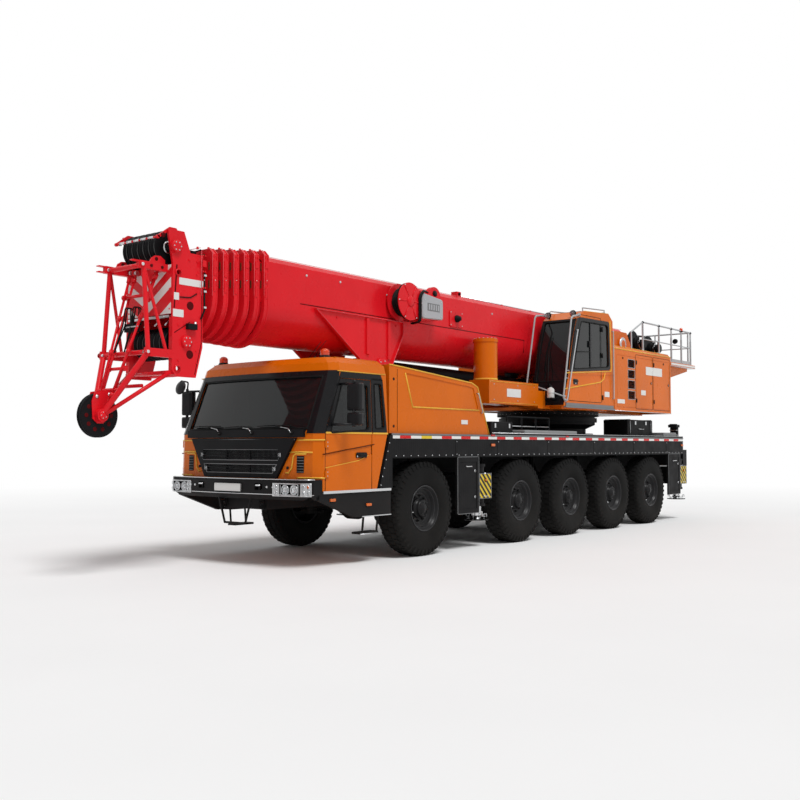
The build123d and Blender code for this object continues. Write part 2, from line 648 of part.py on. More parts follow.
# Axles: a banjo housing with its drive noses, links and struts
with BuildPart() as axle_beams:
    for number, distance in enumerate(AXLES):
        x = ahead(distance)
        steered = number != FIXED_AXLE
        reach = KINGPIN_Y if steered else DISC_Y - 91
        tube = AXLE_TUBE_R if steered else AXLE_TUBE_R - 5
        turned(((0, -reach), (tube, -reach), (tube, -360), (DIFF_R - 60, -200), (DIFF_R, -90), (DIFF_R, 90),
                (DIFF_R - 60, 200), (tube, 360), (tube, reach), (0, reach)), (x, 0, TYRE_R), (0, 1, 0))
        for way in (1, -1):
            turned(((0, 0), (DIFF_R - 70, 0), (FLANGE_R - 15, NOSE_LENGTH - 40), (FLANGE_R, NOSE_LENGTH - 20),
                    (FLANGE_R, NOSE_LENGTH), (0, NOSE_LENGTH)), (x, 0, TYRE_R), (way, 0, 0))
        if number > 0:
            shaft_end = ahead(AXLES[number - 1]) - NOSE_LENGTH - FIT
            bar((x + NOSE_LENGTH - 1, 0, TYRE_R), (shaft_end, 0, TYRE_R), SHAFT_R)
            bar((shaft_end - 25, 0, TYRE_R), (shaft_end, 0, TYRE_R), FLANGE_R - 10)
        pin, height = link_pin(number)
        for side in (1, -1):
            bush = (ahead(pin), side * LINK_Y, height)
            bar((x, side * LINK_Y, TYRE_R), bush, LINK_R)
            bar((bush[0], side * (LINK_Y - 40), height), (bush[0], side * (LINK_Y + 40), height), BUSH_R)
            bar((bush[0], side * (LINK_Y - 50), height), (bush[0], side * (LINK_Y + 50), height),
                BUSH_R / 2 + FIT, Mode.SUBTRACT)
            top = strut_top(number)
            knee = TYRE_R + (top - TYRE_R) * 0.45
            bar((x, side * STRUT_Y, TYRE_R), (x, side * STRUT_Y, knee), STRUT_R - 18)
            bar((x, side * STRUT_Y, knee - 5), (x, side * STRUT_Y, top), STRUT_R)
            if steered:
                bar((x, side * KINGPIN_Y, TYRE_R - 95), (x, side * KINGPIN_Y, TYRE_R + 95), 95)
                bar((x, side * KINGPIN_Y, TYRE_R - 120), (x, side * KINGPIN_Y, TYRE_R + 120), KINGPIN_R + FIT,
                    Mode.SUBTRACT)
            else:
                bar((x, side * (reach - 10), TYRE_R), (x, side * SPINDLE_END_Y, TYRE_R), SPINDLE_R)
save(axle_beams, "axle_beams")

# Wheels, with a knuckle on each steered axle
for number, distance in enumerate(AXLES):
    x = ahead(distance)
    for letter, side in (("l", 1), ("r", -1)):
        if number != FIXED_AXLE:
            with BuildPart() as knuckle:
                for low in (TYRE_R + 97, TYRE_R - 97 - 70):
                    bar((x, side * KINGPIN_Y, low), (x, side * KINGPIN_Y, low + 70), 90)
                    slab((x - 90, x + 90), sided((KINGPIN_Y, KINGPIN_Y + 135), side), (low, low + 70))
                slab((x - 90, x + 90), sided((KINGPIN_Y + 105, KINGPIN_Y + 135), side),
                     (TYRE_R - 160, TYRE_R + 160))
                bar((x, side * KINGPIN_Y, TYRE_R - 150), (x, side * KINGPIN_Y, TYRE_R + 150), KINGPIN_R)
                bar((x, side * (KINGPIN_Y + 120), TYRE_R), (x, side * SPINDLE_END_Y, TYRE_R), SPINDLE_R)
                # steering arm behind the kingpin, with the seat of the track rod's ball
                slab((x - STEERING_ARM, x), sided((KINGPIN_Y - 25, KINGPIN_Y + 25), side),
                     (TYRE_R - 167, TYRE_R - 132))
                bar((x - STEERING_ARM, side * KINGPIN_Y, TYRE_R - 175),
                    (x - STEERING_ARM, side * KINGPIN_Y, TYRE_R - 125), 38)
            save(knuckle, f"knuckle_{letter}{number + 1}")
        with BuildPart() as wheel:
            inner = TYRE_FACE_Y - TYRE_W
            tyre = (
                (RIM_R + FIT, inner + 40), (RIM_R + 60, inner + 10), (TYRE_R - 180, inner),
                (TYRE_R - 60, inner + 12),
                (TYRE_R, inner + 45), (TYRE_R, TYRE_FACE_Y - 45), (TYRE_R - 60, TYRE_FACE_Y - 12),
                (TYRE_R - 180, TYRE_FACE_Y), (RIM_R + 60, TYRE_FACE_Y - 10), (RIM_R + FIT, TYRE_FACE_Y - 40),
            )
            turned(tyre, (x, 0, TYRE_R), (0, side, 0))
            lip = TYRE_FACE_Y - RIM_LIP
            rim = (
                (RIM_R, inner + RIM_LIP), (RIM_R, lip), (RIM_BORE_R + 12, lip), (RIM_BORE_R, lip - 35),
                (RIM_BORE_R, DISC_Y + DISC_T + 60), (RIM_BORE_R - 25, DISC_Y + DISC_T),
                (HUB_R, DISC_Y + DISC_T),
                (HUB_R, DISC_Y + DISC_T + 30), (HUB_R - 22, DISC_Y + DISC_T + 40), (HUB_R - 25, HUB_CAP_Y - 25),
                (HUB_CAP_R, HUB_CAP_Y), (0, HUB_CAP_Y), (0, SPINDLE_END_Y + 5),
                (SPINDLE_R + FIT, SPINDLE_END_Y + 5),
                (SPINDLE_R + FIT, DISC_Y - 90), (HUB_R, DISC_Y - 90), (HUB_R, DISC_Y), (RIM_BORE_R, DISC_Y),
                (RIM_BORE_R, inner + RIM_LIP),
            )
            turned(rim, (x, 0, TYRE_R), (0, side, 0))
            with BuildSketch(Plane(origin=(x, side * (DISC_Y - 5), TYRE_R), z_dir=(0, side, 0))):
                with PolarLocations(HAND_HOLE_RING, HAND_HOLES):
                    Circle(HAND_HOLE_R)
            extrude(amount=DISC_T + 30, mode=Mode.SUBTRACT)
        save(wheel, f"wheel_{letter}{number + 1}")

# Outrigger beams with their jack tubes, and the jacks
for name, distance, side in BEAMS:
    x = ahead(distance)
    jack_y = side * JACK_Y
    with BuildPart() as beam:
        low, high = sided((-BEAM_TAIL_Y, JACK_Y), side)
        slab((x - BEAM_W / 2, x + BEAM_W / 2), (low, high), (BEAM_Z - BEAM_H / 2, BEAM_Z + BEAM_H / 2))
        bar((x, jack_y, JACK_LOW), (x, jack_y, JACK_TOP), JACK_TUBE_R)
        for z in (JACK_LOW, JACK_TOP - 40):
            bar((x, jack_y, z), (x, jack_y, z + 40), JACK_TUBE_R + 15)
        slab((x - BEAM_W / 2, x + BEAM_W / 2), sided(END_PLATE_Y, side), (BEAM_Z - 190, BEAM_Z + 190))
        slab((x - 60, x + 60), sided((JACK_Y, END_PLATE_Y[0]), side), (BEAM_Z - 150, BEAM_Z + 150))
        for pad in (-1, 1):
            slab((x - 100, x + 100), sided((-BEAM_TAIL_Y, -BEAM_TAIL_Y + 150), side),
                 tuple(sorted((BEAM_Z + pad * BEAM_H / 2, BEAM_Z + pad * (BEAM_H / 2 + BEAM_FREE - FIT)))))
        bar((x, jack_y, JACK_LOW - 10), (x, jack_y, JACK_TOP - 30), JACK_ROD_R + FIT, Mode.SUBTRACT)
    save(beam, f"beam_{name}")
    with BuildPart() as jack:
        turned(((0, 0), (FOOT_R, 0), (FOOT_R, 16), (FOOT_R - 40, 30), (JACK_ROD_R + 20, FOOT_H),
                (JACK_ROD_R, FOOT_H),
                (JACK_ROD_R, JACK_TOP - 40 - FOOT_LOW), (0, JACK_TOP - 40 - FOOT_LOW)), (x, jack_y, FOOT_LOW),
                (0, 0, 1))
    save(jack, f"jack_{name}")

# Slewing ring with a groove, and the frame that turns on it
RING_H = RING_TOP - PEDESTAL_TOP - FIT
with BuildPart() as slew_ring:
    turned(((RING_BORE_R, 0), (RING_R - 30, 0), (RING_R - 30, 80), (RING_R - 70, 85), (RING_R - 70, 105),
            (RING_R, 110),
            (RING_R, RING_H), (RING_BORE_R, RING_H)), (ahead(SLEW_X), 0, PEDESTAL_TOP + FIT), (0, 0, 1))
save(slew_ring, "slew_ring")

FRAME_FRONT = SLEW_X + 1500
FRAME_REAR = PLATFORM_FRONT - 100
FRAME_FLOOR = (RING_TOP, RING_TOP + 60)
ARM_X = (-3900, -2300)
ARM_Y = (560, 960)
ARM_Z = (RING_TOP + 40, RING_TOP + 440)
ARM_T = 20
POST_X = -2500
POST_R = 200
POST_TOP = BELLY_Z - 70
with BuildPart() as slew_frame:
    slab((ahead(FRAME_REAR), ahead(FRAME_FRONT)), (-PLATE_Y[1], PLATE_Y[1]), FRAME_FLOOR)
    foot_x, foot_z = FOOT_PIN
    pivot_x, pivot_z = PIVOT
    for side in (1, -1):
        side_plate(((FRAME_FRONT, RING_TOP), (FRAME_FRONT, RING_TOP + 250), (foot_x + 300, foot_z + 140),
                    (foot_x - 600, foot_z + 140),
                    (pivot_x + 600, pivot_z - 50), (pivot_x + 250, pivot_z + 270),
                    (pivot_x - 250, pivot_z + 270),
                    (pivot_x - 600, pivot_z - 150), (PLATFORM_REAR + 60, PLATFORM_Z[1] + 160),
                    (PLATFORM_REAR + 60, PLATFORM_Z[0]),
                    (FRAME_REAR - 300, PLATFORM_Z[0] - 430), (FRAME_REAR, RING_TOP)), sided(PLATE_Y, side))
        bar((ahead(pivot_x), side * 440, pivot_z), (ahead(pivot_x), side * 660, pivot_z), PIVOT_R)
        bar((ahead(pivot_x), side * PLATE_Y[1], pivot_z), (ahead(pivot_x), side * 640, pivot_z), PIVOT_R + 60)
        side_plate(((foot_x + 300, FRAME_FLOOR[1] - 5), (foot_x - 300, FRAME_FLOOR[1] - 5),
                    (foot_x - 120, foot_z + 60),
                    (foot_x, foot_z + 140), (foot_x + 120, foot_z + 60)),
                    sided((EYE_HALF_W + 6, EYE_HALF_W + 66), side))
        # gussets under the platform's overhang
        side_plate(((PLATFORM_FRONT - 50, PLATFORM_Z[0] + 5), (PLATFORM_REAR + 100, PLATFORM_Z[0] + 5),
                    (PLATFORM_REAR + 100, PLATFORM_Z[0] - 60),
                    (PLATFORM_FRONT - 50, PLATFORM_Z[0] - 300)), sided((1150, 1180), side))
    bar((ahead(foot_x), -190, foot_z), (ahead(foot_x), 190, foot_z), LUFF_PIN_R)
    # tubes that brace the two side plates behind the ring
    bar((ahead(SLEW_X - 1100), -PLATE_Y[1], RING_TOP + 250), (ahead(SLEW_X - 1100), PLATE_Y[1], RING_TOP + 250),
        100)
    bar((ahead(PLATFORM_FRONT + 200), -PLATE_Y[1], PLATFORM_Z[0] - 330),
        (ahead(PLATFORM_FRONT + 200), PLATE_Y[1], PLATFORM_Z[0] - 330), 90)
    slab((ahead(PLATFORM_REAR), ahead(PLATFORM_FRONT)), (-HOUSE_Y, HOUSE_Y), PLATFORM_Z)
    # floor and forward arm beside the boom, with the hollow post on its end
    slab((ahead(-6100), ahead(-4300)), (ARM_Y[0], 1200), (RING_TOP + 5, RING_TOP + 50))
    slab((ahead(FRAME_FRONT - 100), ahead(-4140)), ARM_Y, (RING_TOP + 5, RING_TOP + 50))
    slab((ahead(-4140), ahead(ARM_X[0] + 10)), ARM_Y, (RING_TOP + 5, ARM_Z[1] - 120))
    slab((ahead(ARM_X[0]), ahead(ARM_X[1])), ARM_Y, ARM_Z)
    slab((ahead(ARM_X[0] + ARM_T), ahead(ARM_X[1] - ARM_T)), (ARM_Y[0] + ARM_T, ARM_Y[1] - ARM_T),
         (ARM_Z[0] + ARM_T, ARM_Z[1] - ARM_T), Mode.SUBTRACT)
    post_y = sum(ARM_Y) / 2
    bar((ahead(POST_X), post_y, ARM_Z[1] - 5), (ahead(POST_X), post_y, POST_TOP), POST_R)
    bar((ahead(POST_X), post_y, POST_TOP - 60), (ahead(POST_X), post_y, POST_TOP - 20), POST_R + 12)
    bar((ahead(POST_X), post_y, ARM_Z[1] + 20), (ahead(POST_X), post_y, POST_TOP - 20), POST_R - 15,
        Mode.SUBTRACT)
save(slew_frame, "slew_frame")


# Operator's cab, with a bowed windscreen
def operator_room(inset, y, mode=Mode.ADD):
    """Side outline of the operator's cab, drawn in by the inset and carried over the pair y."""
    with BuildSketch(Plane.XZ.offset(-y[1])) as outline:
        with BuildLine():
            ThreePointArc((ahead(-4360), 2950), (ahead(-4478), 3449), (ahead(-4670), 3920))
            Polyline((ahead(-4670), 3920), (ahead(-4950), 4080), (ahead(-5950), 4130), (ahead(-6120), 4000),
                     (ahead(-6140), OPERATOR_LOW), (ahead(-4150), OPERATOR_LOW), (ahead(-4360), 2950))
        make_face()
        if inset:
            offset(amount=-inset, kind=Kind.INTERSECTION, mode=Mode.REPLACE)
    extrude(outline.sketch, amount=y[1] - y[0], mode=mode)


OPERATOR_LOW = RING_TOP + 50
OPERATOR_CREASE = ((-4150, 2720), (-4250, 2860), (-6140, 2960), (-6140, 2900), (-4290, 2800), (-4210, 2700))
LIGHT_Y = (OPERATOR_Y[0] - 50, OPERATOR_Y[1] + 50)
WIND_LIGHT_Y = (OPERATOR_Y[0] + WIND_LIGHT_IN, OPERATOR_Y[1] - WIND_LIGHT_IN)
with BuildPart() as operator_cab:
    operator_room(0, OPERATOR_Y)
    operator_room(OPERATOR_WALL, (OPERATOR_Y[0] + OPERATOR_WALL, OPERATOR_Y[1] - OPERATOR_WALL), Mode.SUBTRACT)
    side_plate(SIDE_LIGHT, LIGHT_Y, Mode.SUBTRACT)
    slab((ahead(-4900), ahead(-4000)), WIND_LIGHT_Y, WIND_LIGHT_Z, Mode.SUBTRACT)
    side_plate(OPERATOR_CREASE, (OPERATOR_Y[1] - CREASE_DEPTH, OPERATOR_Y[1] + 10), Mode.SUBTRACT)
save(operator_cab, "operator_cab")

with BuildPart() as light_room:
    shrunk(SIDE_LIGHT, FIT, LIGHT_Y, Mode.ADD)
    slab((ahead(-4900), ahead(-4000)), (WIND_LIGHT_Y[0] + FIT, WIND_LIGHT_Y[1] - FIT),
         (WIND_LIGHT_Z[0] + FIT, WIND_LIGHT_Z[1] - FIT))

with BuildPart() as operator_glass:
    operator_room(10, (OPERATOR_Y[0] + 10, OPERATOR_Y[1] - 10))
    operator_room(18, (OPERATOR_Y[0] + 18, OPERATOR_Y[1] - 18), Mode.SUBTRACT)
    add(light_room.part, mode=Mode.INTERSECT)
save(operator_glass, "operator_glass")

# Operator's seat on its box, with a console at each side
SEAT_LOW = OPERATOR_LOW + OPERATOR_WALL
with BuildPart() as operator_seat:
    middle = sum(OPERATOR_Y) / 2
    slab((ahead(-5700), ahead(-5280)), (middle - 200, middle + 200), (SEAT_LOW, SEAT_LOW + 330))
    slab((ahead(-5730), ahead(-5220)), (middle - 240, middle + 240), (SEAT_LOW + 330, SEAT_LOW + 460))
    side_plate(((-5700, SEAT_LOW + 400), (-5760, SEAT_LOW + 1080), (-5870, SEAT_LOW + 1080),
                (-5830, SEAT_LOW + 400)),
               (middle - 230, middle + 230))
    side_plate(((-5770, SEAT_LOW + 1070), (-5780, SEAT_LOW + 1260), (-5870, SEAT_LOW + 1260),
                (-5875, SEAT_LOW + 1070)),
               (middle - 120, middle + 120))
    for y in ((OPERATOR_Y[0] + OPERATOR_WALL + 5, middle - 235),
              (middle + 235, OPERATOR_Y[1] - OPERATOR_WALL - 5)):
        side_plate(((-5650, SEAT_LOW + 340), (-5650, SEAT_LOW + 480), (-5150, SEAT_LOW + 500),
                    (-5100, SEAT_LOW + 440), (-5200, SEAT_LOW + 340)), y)
save(operator_seat, "operator_seat")

# Cabinets beside the frame: a cut outer edge, louvres on the left and door seams on both
SEAM = 8
with BuildPart() as side_cabinets:
    for rear, front, y, top in CABINETS:
        side = 1 if y[1] > 0 else -1
        inner_y, outer_y = (y[0], y[1]) if side > 0 else (y[1], y[0])
        for shell, mode in ((0, Mode.ADD), (CABINET_T, Mode.SUBTRACT)):
            outer = outer_y - side * shell
            front_plate(((inner_y + side * shell, CABINET_LOW - shell), (outer, CABINET_LOW - shell),
                         (outer, top - CABINET_EDGE - shell / 2),
                         (outer - side * (CABINET_EDGE - shell / 2), top - shell),
                         (inner_y + side * shell, top - shell)),
                        (ahead(rear + shell), ahead(front - shell)), mode)
        skin = sided((abs(outer_y) - SEAM, abs(outer_y) + 10), side)
        doors = 3 if side > 0 else 4
        for number in range(doors + 1):
            x = ahead(rear + 120 + number * (front - rear - 240) / doors)
            slab((x - SEAM / 2, x + SEAM / 2), skin, (CABINET_LOW + 80, top - 180), Mode.SUBTRACT)
        for z in (CABINET_LOW + 80, top - 180):
            slab((ahead(rear + 120), ahead(front - 120)), skin, (z - SEAM / 2, z + SEAM / 2), Mode.SUBTRACT)
    for number in range(LOUVRES):
        z = CABINET_LOW + 250 + number * 210
        slab((ahead(LOUVRE_X[0]), ahead(LOUVRE_X[1])), (HOUSE_Y - 2 * CABINET_T, HOUSE_Y + 10), (z, z + 160),
             Mode.SUBTRACT)
save(side_cabinets, "side_cabinets")

# Winches: a flanged drum in its frame, with the motor outside
WINCH_HALF = 420
WINCH_FLANGE_R = 300
WINCH_PLATE_Y = (450, 500)
with BuildPart() as winches:
    for distance, z, drum_r in WINCHES:
        start = (ahead(distance), -WINCH_HALF, z)
        width = 2 * WINCH_HALF
        turned(((0, 0), (WINCH_FLANGE_R, 0), (WINCH_FLANGE_R, 20), (drum_r, 26), (drum_r, width - 26),
                (WINCH_FLANGE_R, width - 20),
                (WINCH_FLANGE_R, width), (0, width)), start, (0, 1, 0))
        bar((ahead(distance), -WINCH_PLATE_Y[1] - 10, z), (ahead(distance), WINCH_PLATE_Y[1] + 200, z), 95)
        bar((ahead(distance), WINCH_PLATE_Y[1], z), (ahead(distance), WINCH_PLATE_Y[1] + 30, z), 150)
        for side in (1, -1):
            side_plate(((distance - 280, PLATFORM_Z[1]), (distance + 90, PLATFORM_Z[1]),
                        (distance + 90, PLATFORM_Z[1] + 120),
                        (distance + 120, z), (distance + 60, z + 130), (distance - 60, z + 130),
                        (distance - 150, z),
                        (distance - 280, PLATFORM_Z[1] + 80)), sided(WINCH_PLATE_Y, side))
save(winches, "winches")

# Railings of the platform, and the grab bars and roof rail of the operator's cab
RAIL_R = 17
GRAB_R = 12
RAIL_REAR = PLATFORM_REAR + 35
RAIL_FRONT_X = -7690
with BuildPart() as platform_rails:
    for side in (1, -1):
        y = side * RAILING_Y
        foot = CABINETS[0][3] if side > 0 else CABINETS[1][3]
        low = PLATFORM_Z[1]
        railing(((ahead(-7140), y, foot), (ahead(-7140), y, RAILING_TOP - 300),
                 (ahead(RAIL_FRONT_X), y, RAILING_TOP - 50),
                 (ahead(RAIL_REAR), y, RAILING_TOP - 50), (ahead(RAIL_REAR), y, low)), RAIL_R)
        for distance, base in ((RAIL_FRONT_X, foot), (-8500, foot), (-9150, low), (-9700, low)):
            bar((ahead(distance), y, base), (ahead(distance), y, RAILING_TOP - 50), RAIL_R)
        bar((ahead(RAIL_REAR), y, low + 400), (ahead(RAIL_FRONT_X), y, low + 400), GRAB_R)
        slab((ahead(RAIL_REAR), ahead(PLATFORM_FRONT - 10)), (y - 5, y + 5), (low, low + 90))
    ends = (RAIL_REAR, RAILING_Y - 60)
    railing(((ahead(ends[0]), -ends[1], low), (ahead(ends[0]), -ends[1], RAILING_TOP - 50),
             (ahead(ends[0]), ends[1], RAILING_TOP - 50), (ahead(ends[0]), ends[1], low)), RAIL_R)
    for share in (-1 / 3, 1 / 3):
        bar((ahead(ends[0]), share * ends[1], low), (ahead(ends[0]), share * ends[1], RAILING_TOP - 50), RAIL_R)
    bar((ahead(ends[0]), -ends[1], low + 400), (ahead(ends[0]), ends[1], low + 400), GRAB_R)
    slab((ahead(ends[0] - 5), ahead(ends[0] + 5)), (-ends[1], ends[1]), (low, low + 90))
    grab_y = OPERATOR_Y[1] + 35
    for low_end, high_end in (((-4225, 2400), (-4640, 3700)), ((-6080, 2500), (-6080, 3800))):
        railing(((ahead(low_end[0]), OPERATOR_Y[1], low_end[1]), (ahead(low_end[0]), grab_y, low_end[1]),
                 (ahead(high_end[0]), grab_y, high_end[1]), (ahead(high_end[0]), OPERATOR_Y[1], high_end[1])),
                 GRAB_R)
    # the feet of the roof rail stand square to the sloping roof
    roof = [Vector(ahead(-4950), OPERATOR_Y[1] - 60, 4080), Vector(ahead(-5950), OPERATOR_Y[1] - 60, 4130)]
    run = (roof[1] - roof[0]).normalized()
    up = Vector(-run.Z, 0, run.X) * -70
    first = roof[0] + run * 60
    last = roof[1] - run * 60
    railing(tuple(tuple(corner) for corner in (first, first + up, last + up, last)), GRAB_R)
save(platform_rails, "platform_rails")

# Luffing cylinder
luff_run = hypot(EYE_PIN[0] - FOOT_PIN[0], EYE_PIN[1] - FOOT_PIN[1])
luff_x = (EYE_PIN[0] - FOOT_PIN[0]) / luff_run
luff_z = (EYE_PIN[1] - FOOT_PIN[1]) / luff_run


def along(distance):
    """Point on the cylinder's axis, measured from its foot pin."""
    return (ahead(FOOT_PIN[0] + luff_x * distance), 0, FOOT_PIN[1] + luff_z * distance)


BARREL_LENGTH = luff_run - ROD_SHOWS
with BuildPart() as luff_barrel:
    foot, foot_z = along(0)[0], along(0)[2]
    bar(along(BARREL_NECK), along(BARREL_LENGTH), BARREL_R)
    bar(along(BARREL_LENGTH - 90), along(BARREL_LENGTH), GLAND_R)
    side_plate(((FOOT_PIN[0], FOOT_PIN[1] - 110), (FOOT_PIN[0] + BARREL_NECK + 30, FOOT_PIN[1] - 110),
                (FOOT_PIN[0] + BARREL_NECK + 30, FOOT_PIN[1] + 110), (FOOT_PIN[0], FOOT_PIN[1] + 110)),
                (-EYE_HALF_W, EYE_HALF_W))
    bar((foot, -EYE_HALF_W, foot_z), (foot, EYE_HALF_W, foot_z), EYE_R + 20)
    bar((foot, -EYE_HALF_W - 5, foot_z), (foot, EYE_HALF_W + 5, foot_z), LUFF_PIN_R + FIT, Mode.SUBTRACT)
    bar(along(BARREL_NECK + 60), along(BARREL_LENGTH + 10), ROD_R + FIT, Mode.SUBTRACT)
save(luff_barrel, "luff_barrel")

with BuildPart() as luff_rod:
    bar(along(BARREL_NECK + 80), along(luff_run - 100), ROD_R)
    bar((along(luff_run)[0], -EYE_HALF_W, along(luff_run)[2]), (along(luff_run)[0], EYE_HALF_W,
                                            along(luff_run)[2]), EYE_R)
save(luff_rod, "luff_rod")


# Boom: a rounded U of plate, each section inside the one before
def u_outline(half_w, top, drop, mode=Mode.ADD):
    """Cross-section of the boom or a collar: upright sides, cut top corners and a round belly."""
    with BuildLine() as edge:
        Polyline((half_w, BELLY_Z), (half_w, top - BOOM_CORNER), (half_w - BOOM_CORNER, top),
                 (BOOM_CORNER - half_w, top),
                 (-half_w, top - BOOM_CORNER), (-half_w, BELLY_Z))
        ThreePointArc((-half_w, BELLY_Z), (0, BELLY_Z - half_w - drop), (half_w, BELLY_Z))
    make_face(edge.edges(), mode=mode)


def boom_outline(inset, mode=Mode.ADD):
    """Cross-section of the boom, drawn in by the inset."""
    u_outline(BOOM_HALF_W - inset, BOOM_TOP - inset, 0, mode)


def boom_tube(number, rear, front):
    """Plate tube of a section, with the collar and the pads at its front."""
    inset = number * BOOM_STEP
    with BuildSketch(Plane.YZ.offset(ahead(rear))) as ring:
        boom_outline(inset)
        boom_outline(inset + BOOM_WALL, Mode.SUBTRACT)
    extrude(ring.sketch, amount=front - rear)
    if number < SECTIONS:
        half_w = COLLAR_HALF_W - number * COLLAR_HALF_W_STEP
        top = COLLAR_TOP - number * COLLAR_TOP_STEP
        # a collar with a proud rim at its rear and bolted pad covers at its sides and top
        for start, length, grow in ((COLLAR_T, COLLAR_T, 0), (COLLAR_T, 18, 6)):
            with BuildSketch(Plane.YZ.offset(ahead(front - start))) as collar:
                u_outline(half_w + grow, top + grow, 10)
                boom_outline(inset + BOOM_WALL, Mode.SUBTRACT)
            extrude(collar.sketch, amount=length)
        for side in (1, -1):
            for z in (BELLY_Z + 60, BELLY_Z + 260):
                slab((ahead(front - 50), ahead(front - 12)), sided((half_w - 1, half_w + 8), side),
                     (z, z + 150))
            slab((ahead(front - 50), ahead(front - 12)), sided((80, 260), side), (top - 1, top + 8))
        inner = BOOM_HALF_W - inset - BOOM_WALL
        for side in (1, -1):
            slab((ahead(front - 200), ahead(front)), sided((inner - PAD_T, inner), side),
                 (BELLY_Z + 20, BELLY_Z + 220))
        top = BOOM_TOP - inset - BOOM_WALL
        slab((ahead(front - 200), ahead(front)), (-150, 150), (top - PAD_T, top))
    if number > 0:
        outer = BOOM_HALF_W - inset
        for side in (1, -1):
            slab((ahead(rear), ahead(rear + 200)), sided((outer, outer + PAD_T), side),
                 (BELLY_Z + 20, BELLY_Z + 220))
        top = BOOM_TOP - inset
        slab((ahead(rear), ahead(rear + 200)), (-150, 150), (top, top + PAD_T))


# The base section also carries the pivot bosses, the cylinder's bracket and the cable reel
BRACKET = ((1450, BELLY_Z + 40), (-510, BELLY_Z + 40), (-510, BELLY_Z - 160), (-180, EYE_PIN[1] - 90),
           (200, EYE_PIN[1] - 90),
           (450, EYE_PIN[1] + 10))
BRACKET_RIM = 14
REEL_X = -420
REEL_Z = BELLY_Z + 330
REEL_R = 290
with BuildPart() as boom_base:
    boom_tube(0, BOOM_REAR, COLLAR_FRONT)
    with BuildSketch(Plane.YZ.offset(ahead(BOOM_REAR))):
        boom_outline(BOOM_WALL)
    extrude(amount=20)
    for side in (1, -1):
        bar((ahead(PIVOT[0]), side * 470, PIVOT[1]), (ahead(PIVOT[0]), side * 555, PIVOT[1]), 190)
        bar((ahead(PIVOT[0]), side * 430, PIVOT[1]), (ahead(PIVOT[0]), side * 600, PIVOT[1]), PIVOT_R + FIT,
            Mode.SUBTRACT)
        rim_y = sided((BOOM_HALF_W + 29, BOOM_HALF_W + 60), side)
        side_plate(BRACKET, rim_y)
        shrunk(BRACKET, BRACKET_RIM, sided((BOOM_HALF_W + 29, BOOM_HALF_W + 61), side), Mode.SUBTRACT)
        side_plate(BRACKET, sided((BOOM_HALF_W - 1, BOOM_HALF_W + 30), side))
        bar((ahead(EYE_PIN[0]), side * (EYE_HALF_W + 6), EYE_PIN[1]), (ahead(EYE_PIN[0]),
                                                side * (BOOM_HALF_W + 45), EYE_PIN[1]), 100)
    turned(((0, 0), (120, 0), (120, 30), (REEL_R, 40), (REEL_R, 52), (180, 60), (180, 240), (REEL_R, 248),
            (REEL_R, 260), (90, 270), (0, 270)),
           (ahead(REEL_X), BOOM_HALF_W - 1, REEL_Z), (0, 1, 0))
    side_plate(((REEL_X - 300, REEL_Z - 260), (REEL_X - 880, REEL_Z - 200), (REEL_X - 880, REEL_Z + 140),
                (REEL_X - 300, REEL_Z + 200)),
               (BOOM_HALF_W - 1, BOOM_HALF_W + 220))
save(boom_base, "boom_base")

for number in range(1, SECTIONS + 1):
    with BuildPart() as section:
        boom_tube(number, SECTION_REAR + (number - 1) * SECTION_REAR_STEP, COLLAR_FRONT + number * COLLAR_PITCH)
    save(section, f"boom_section_{number}")

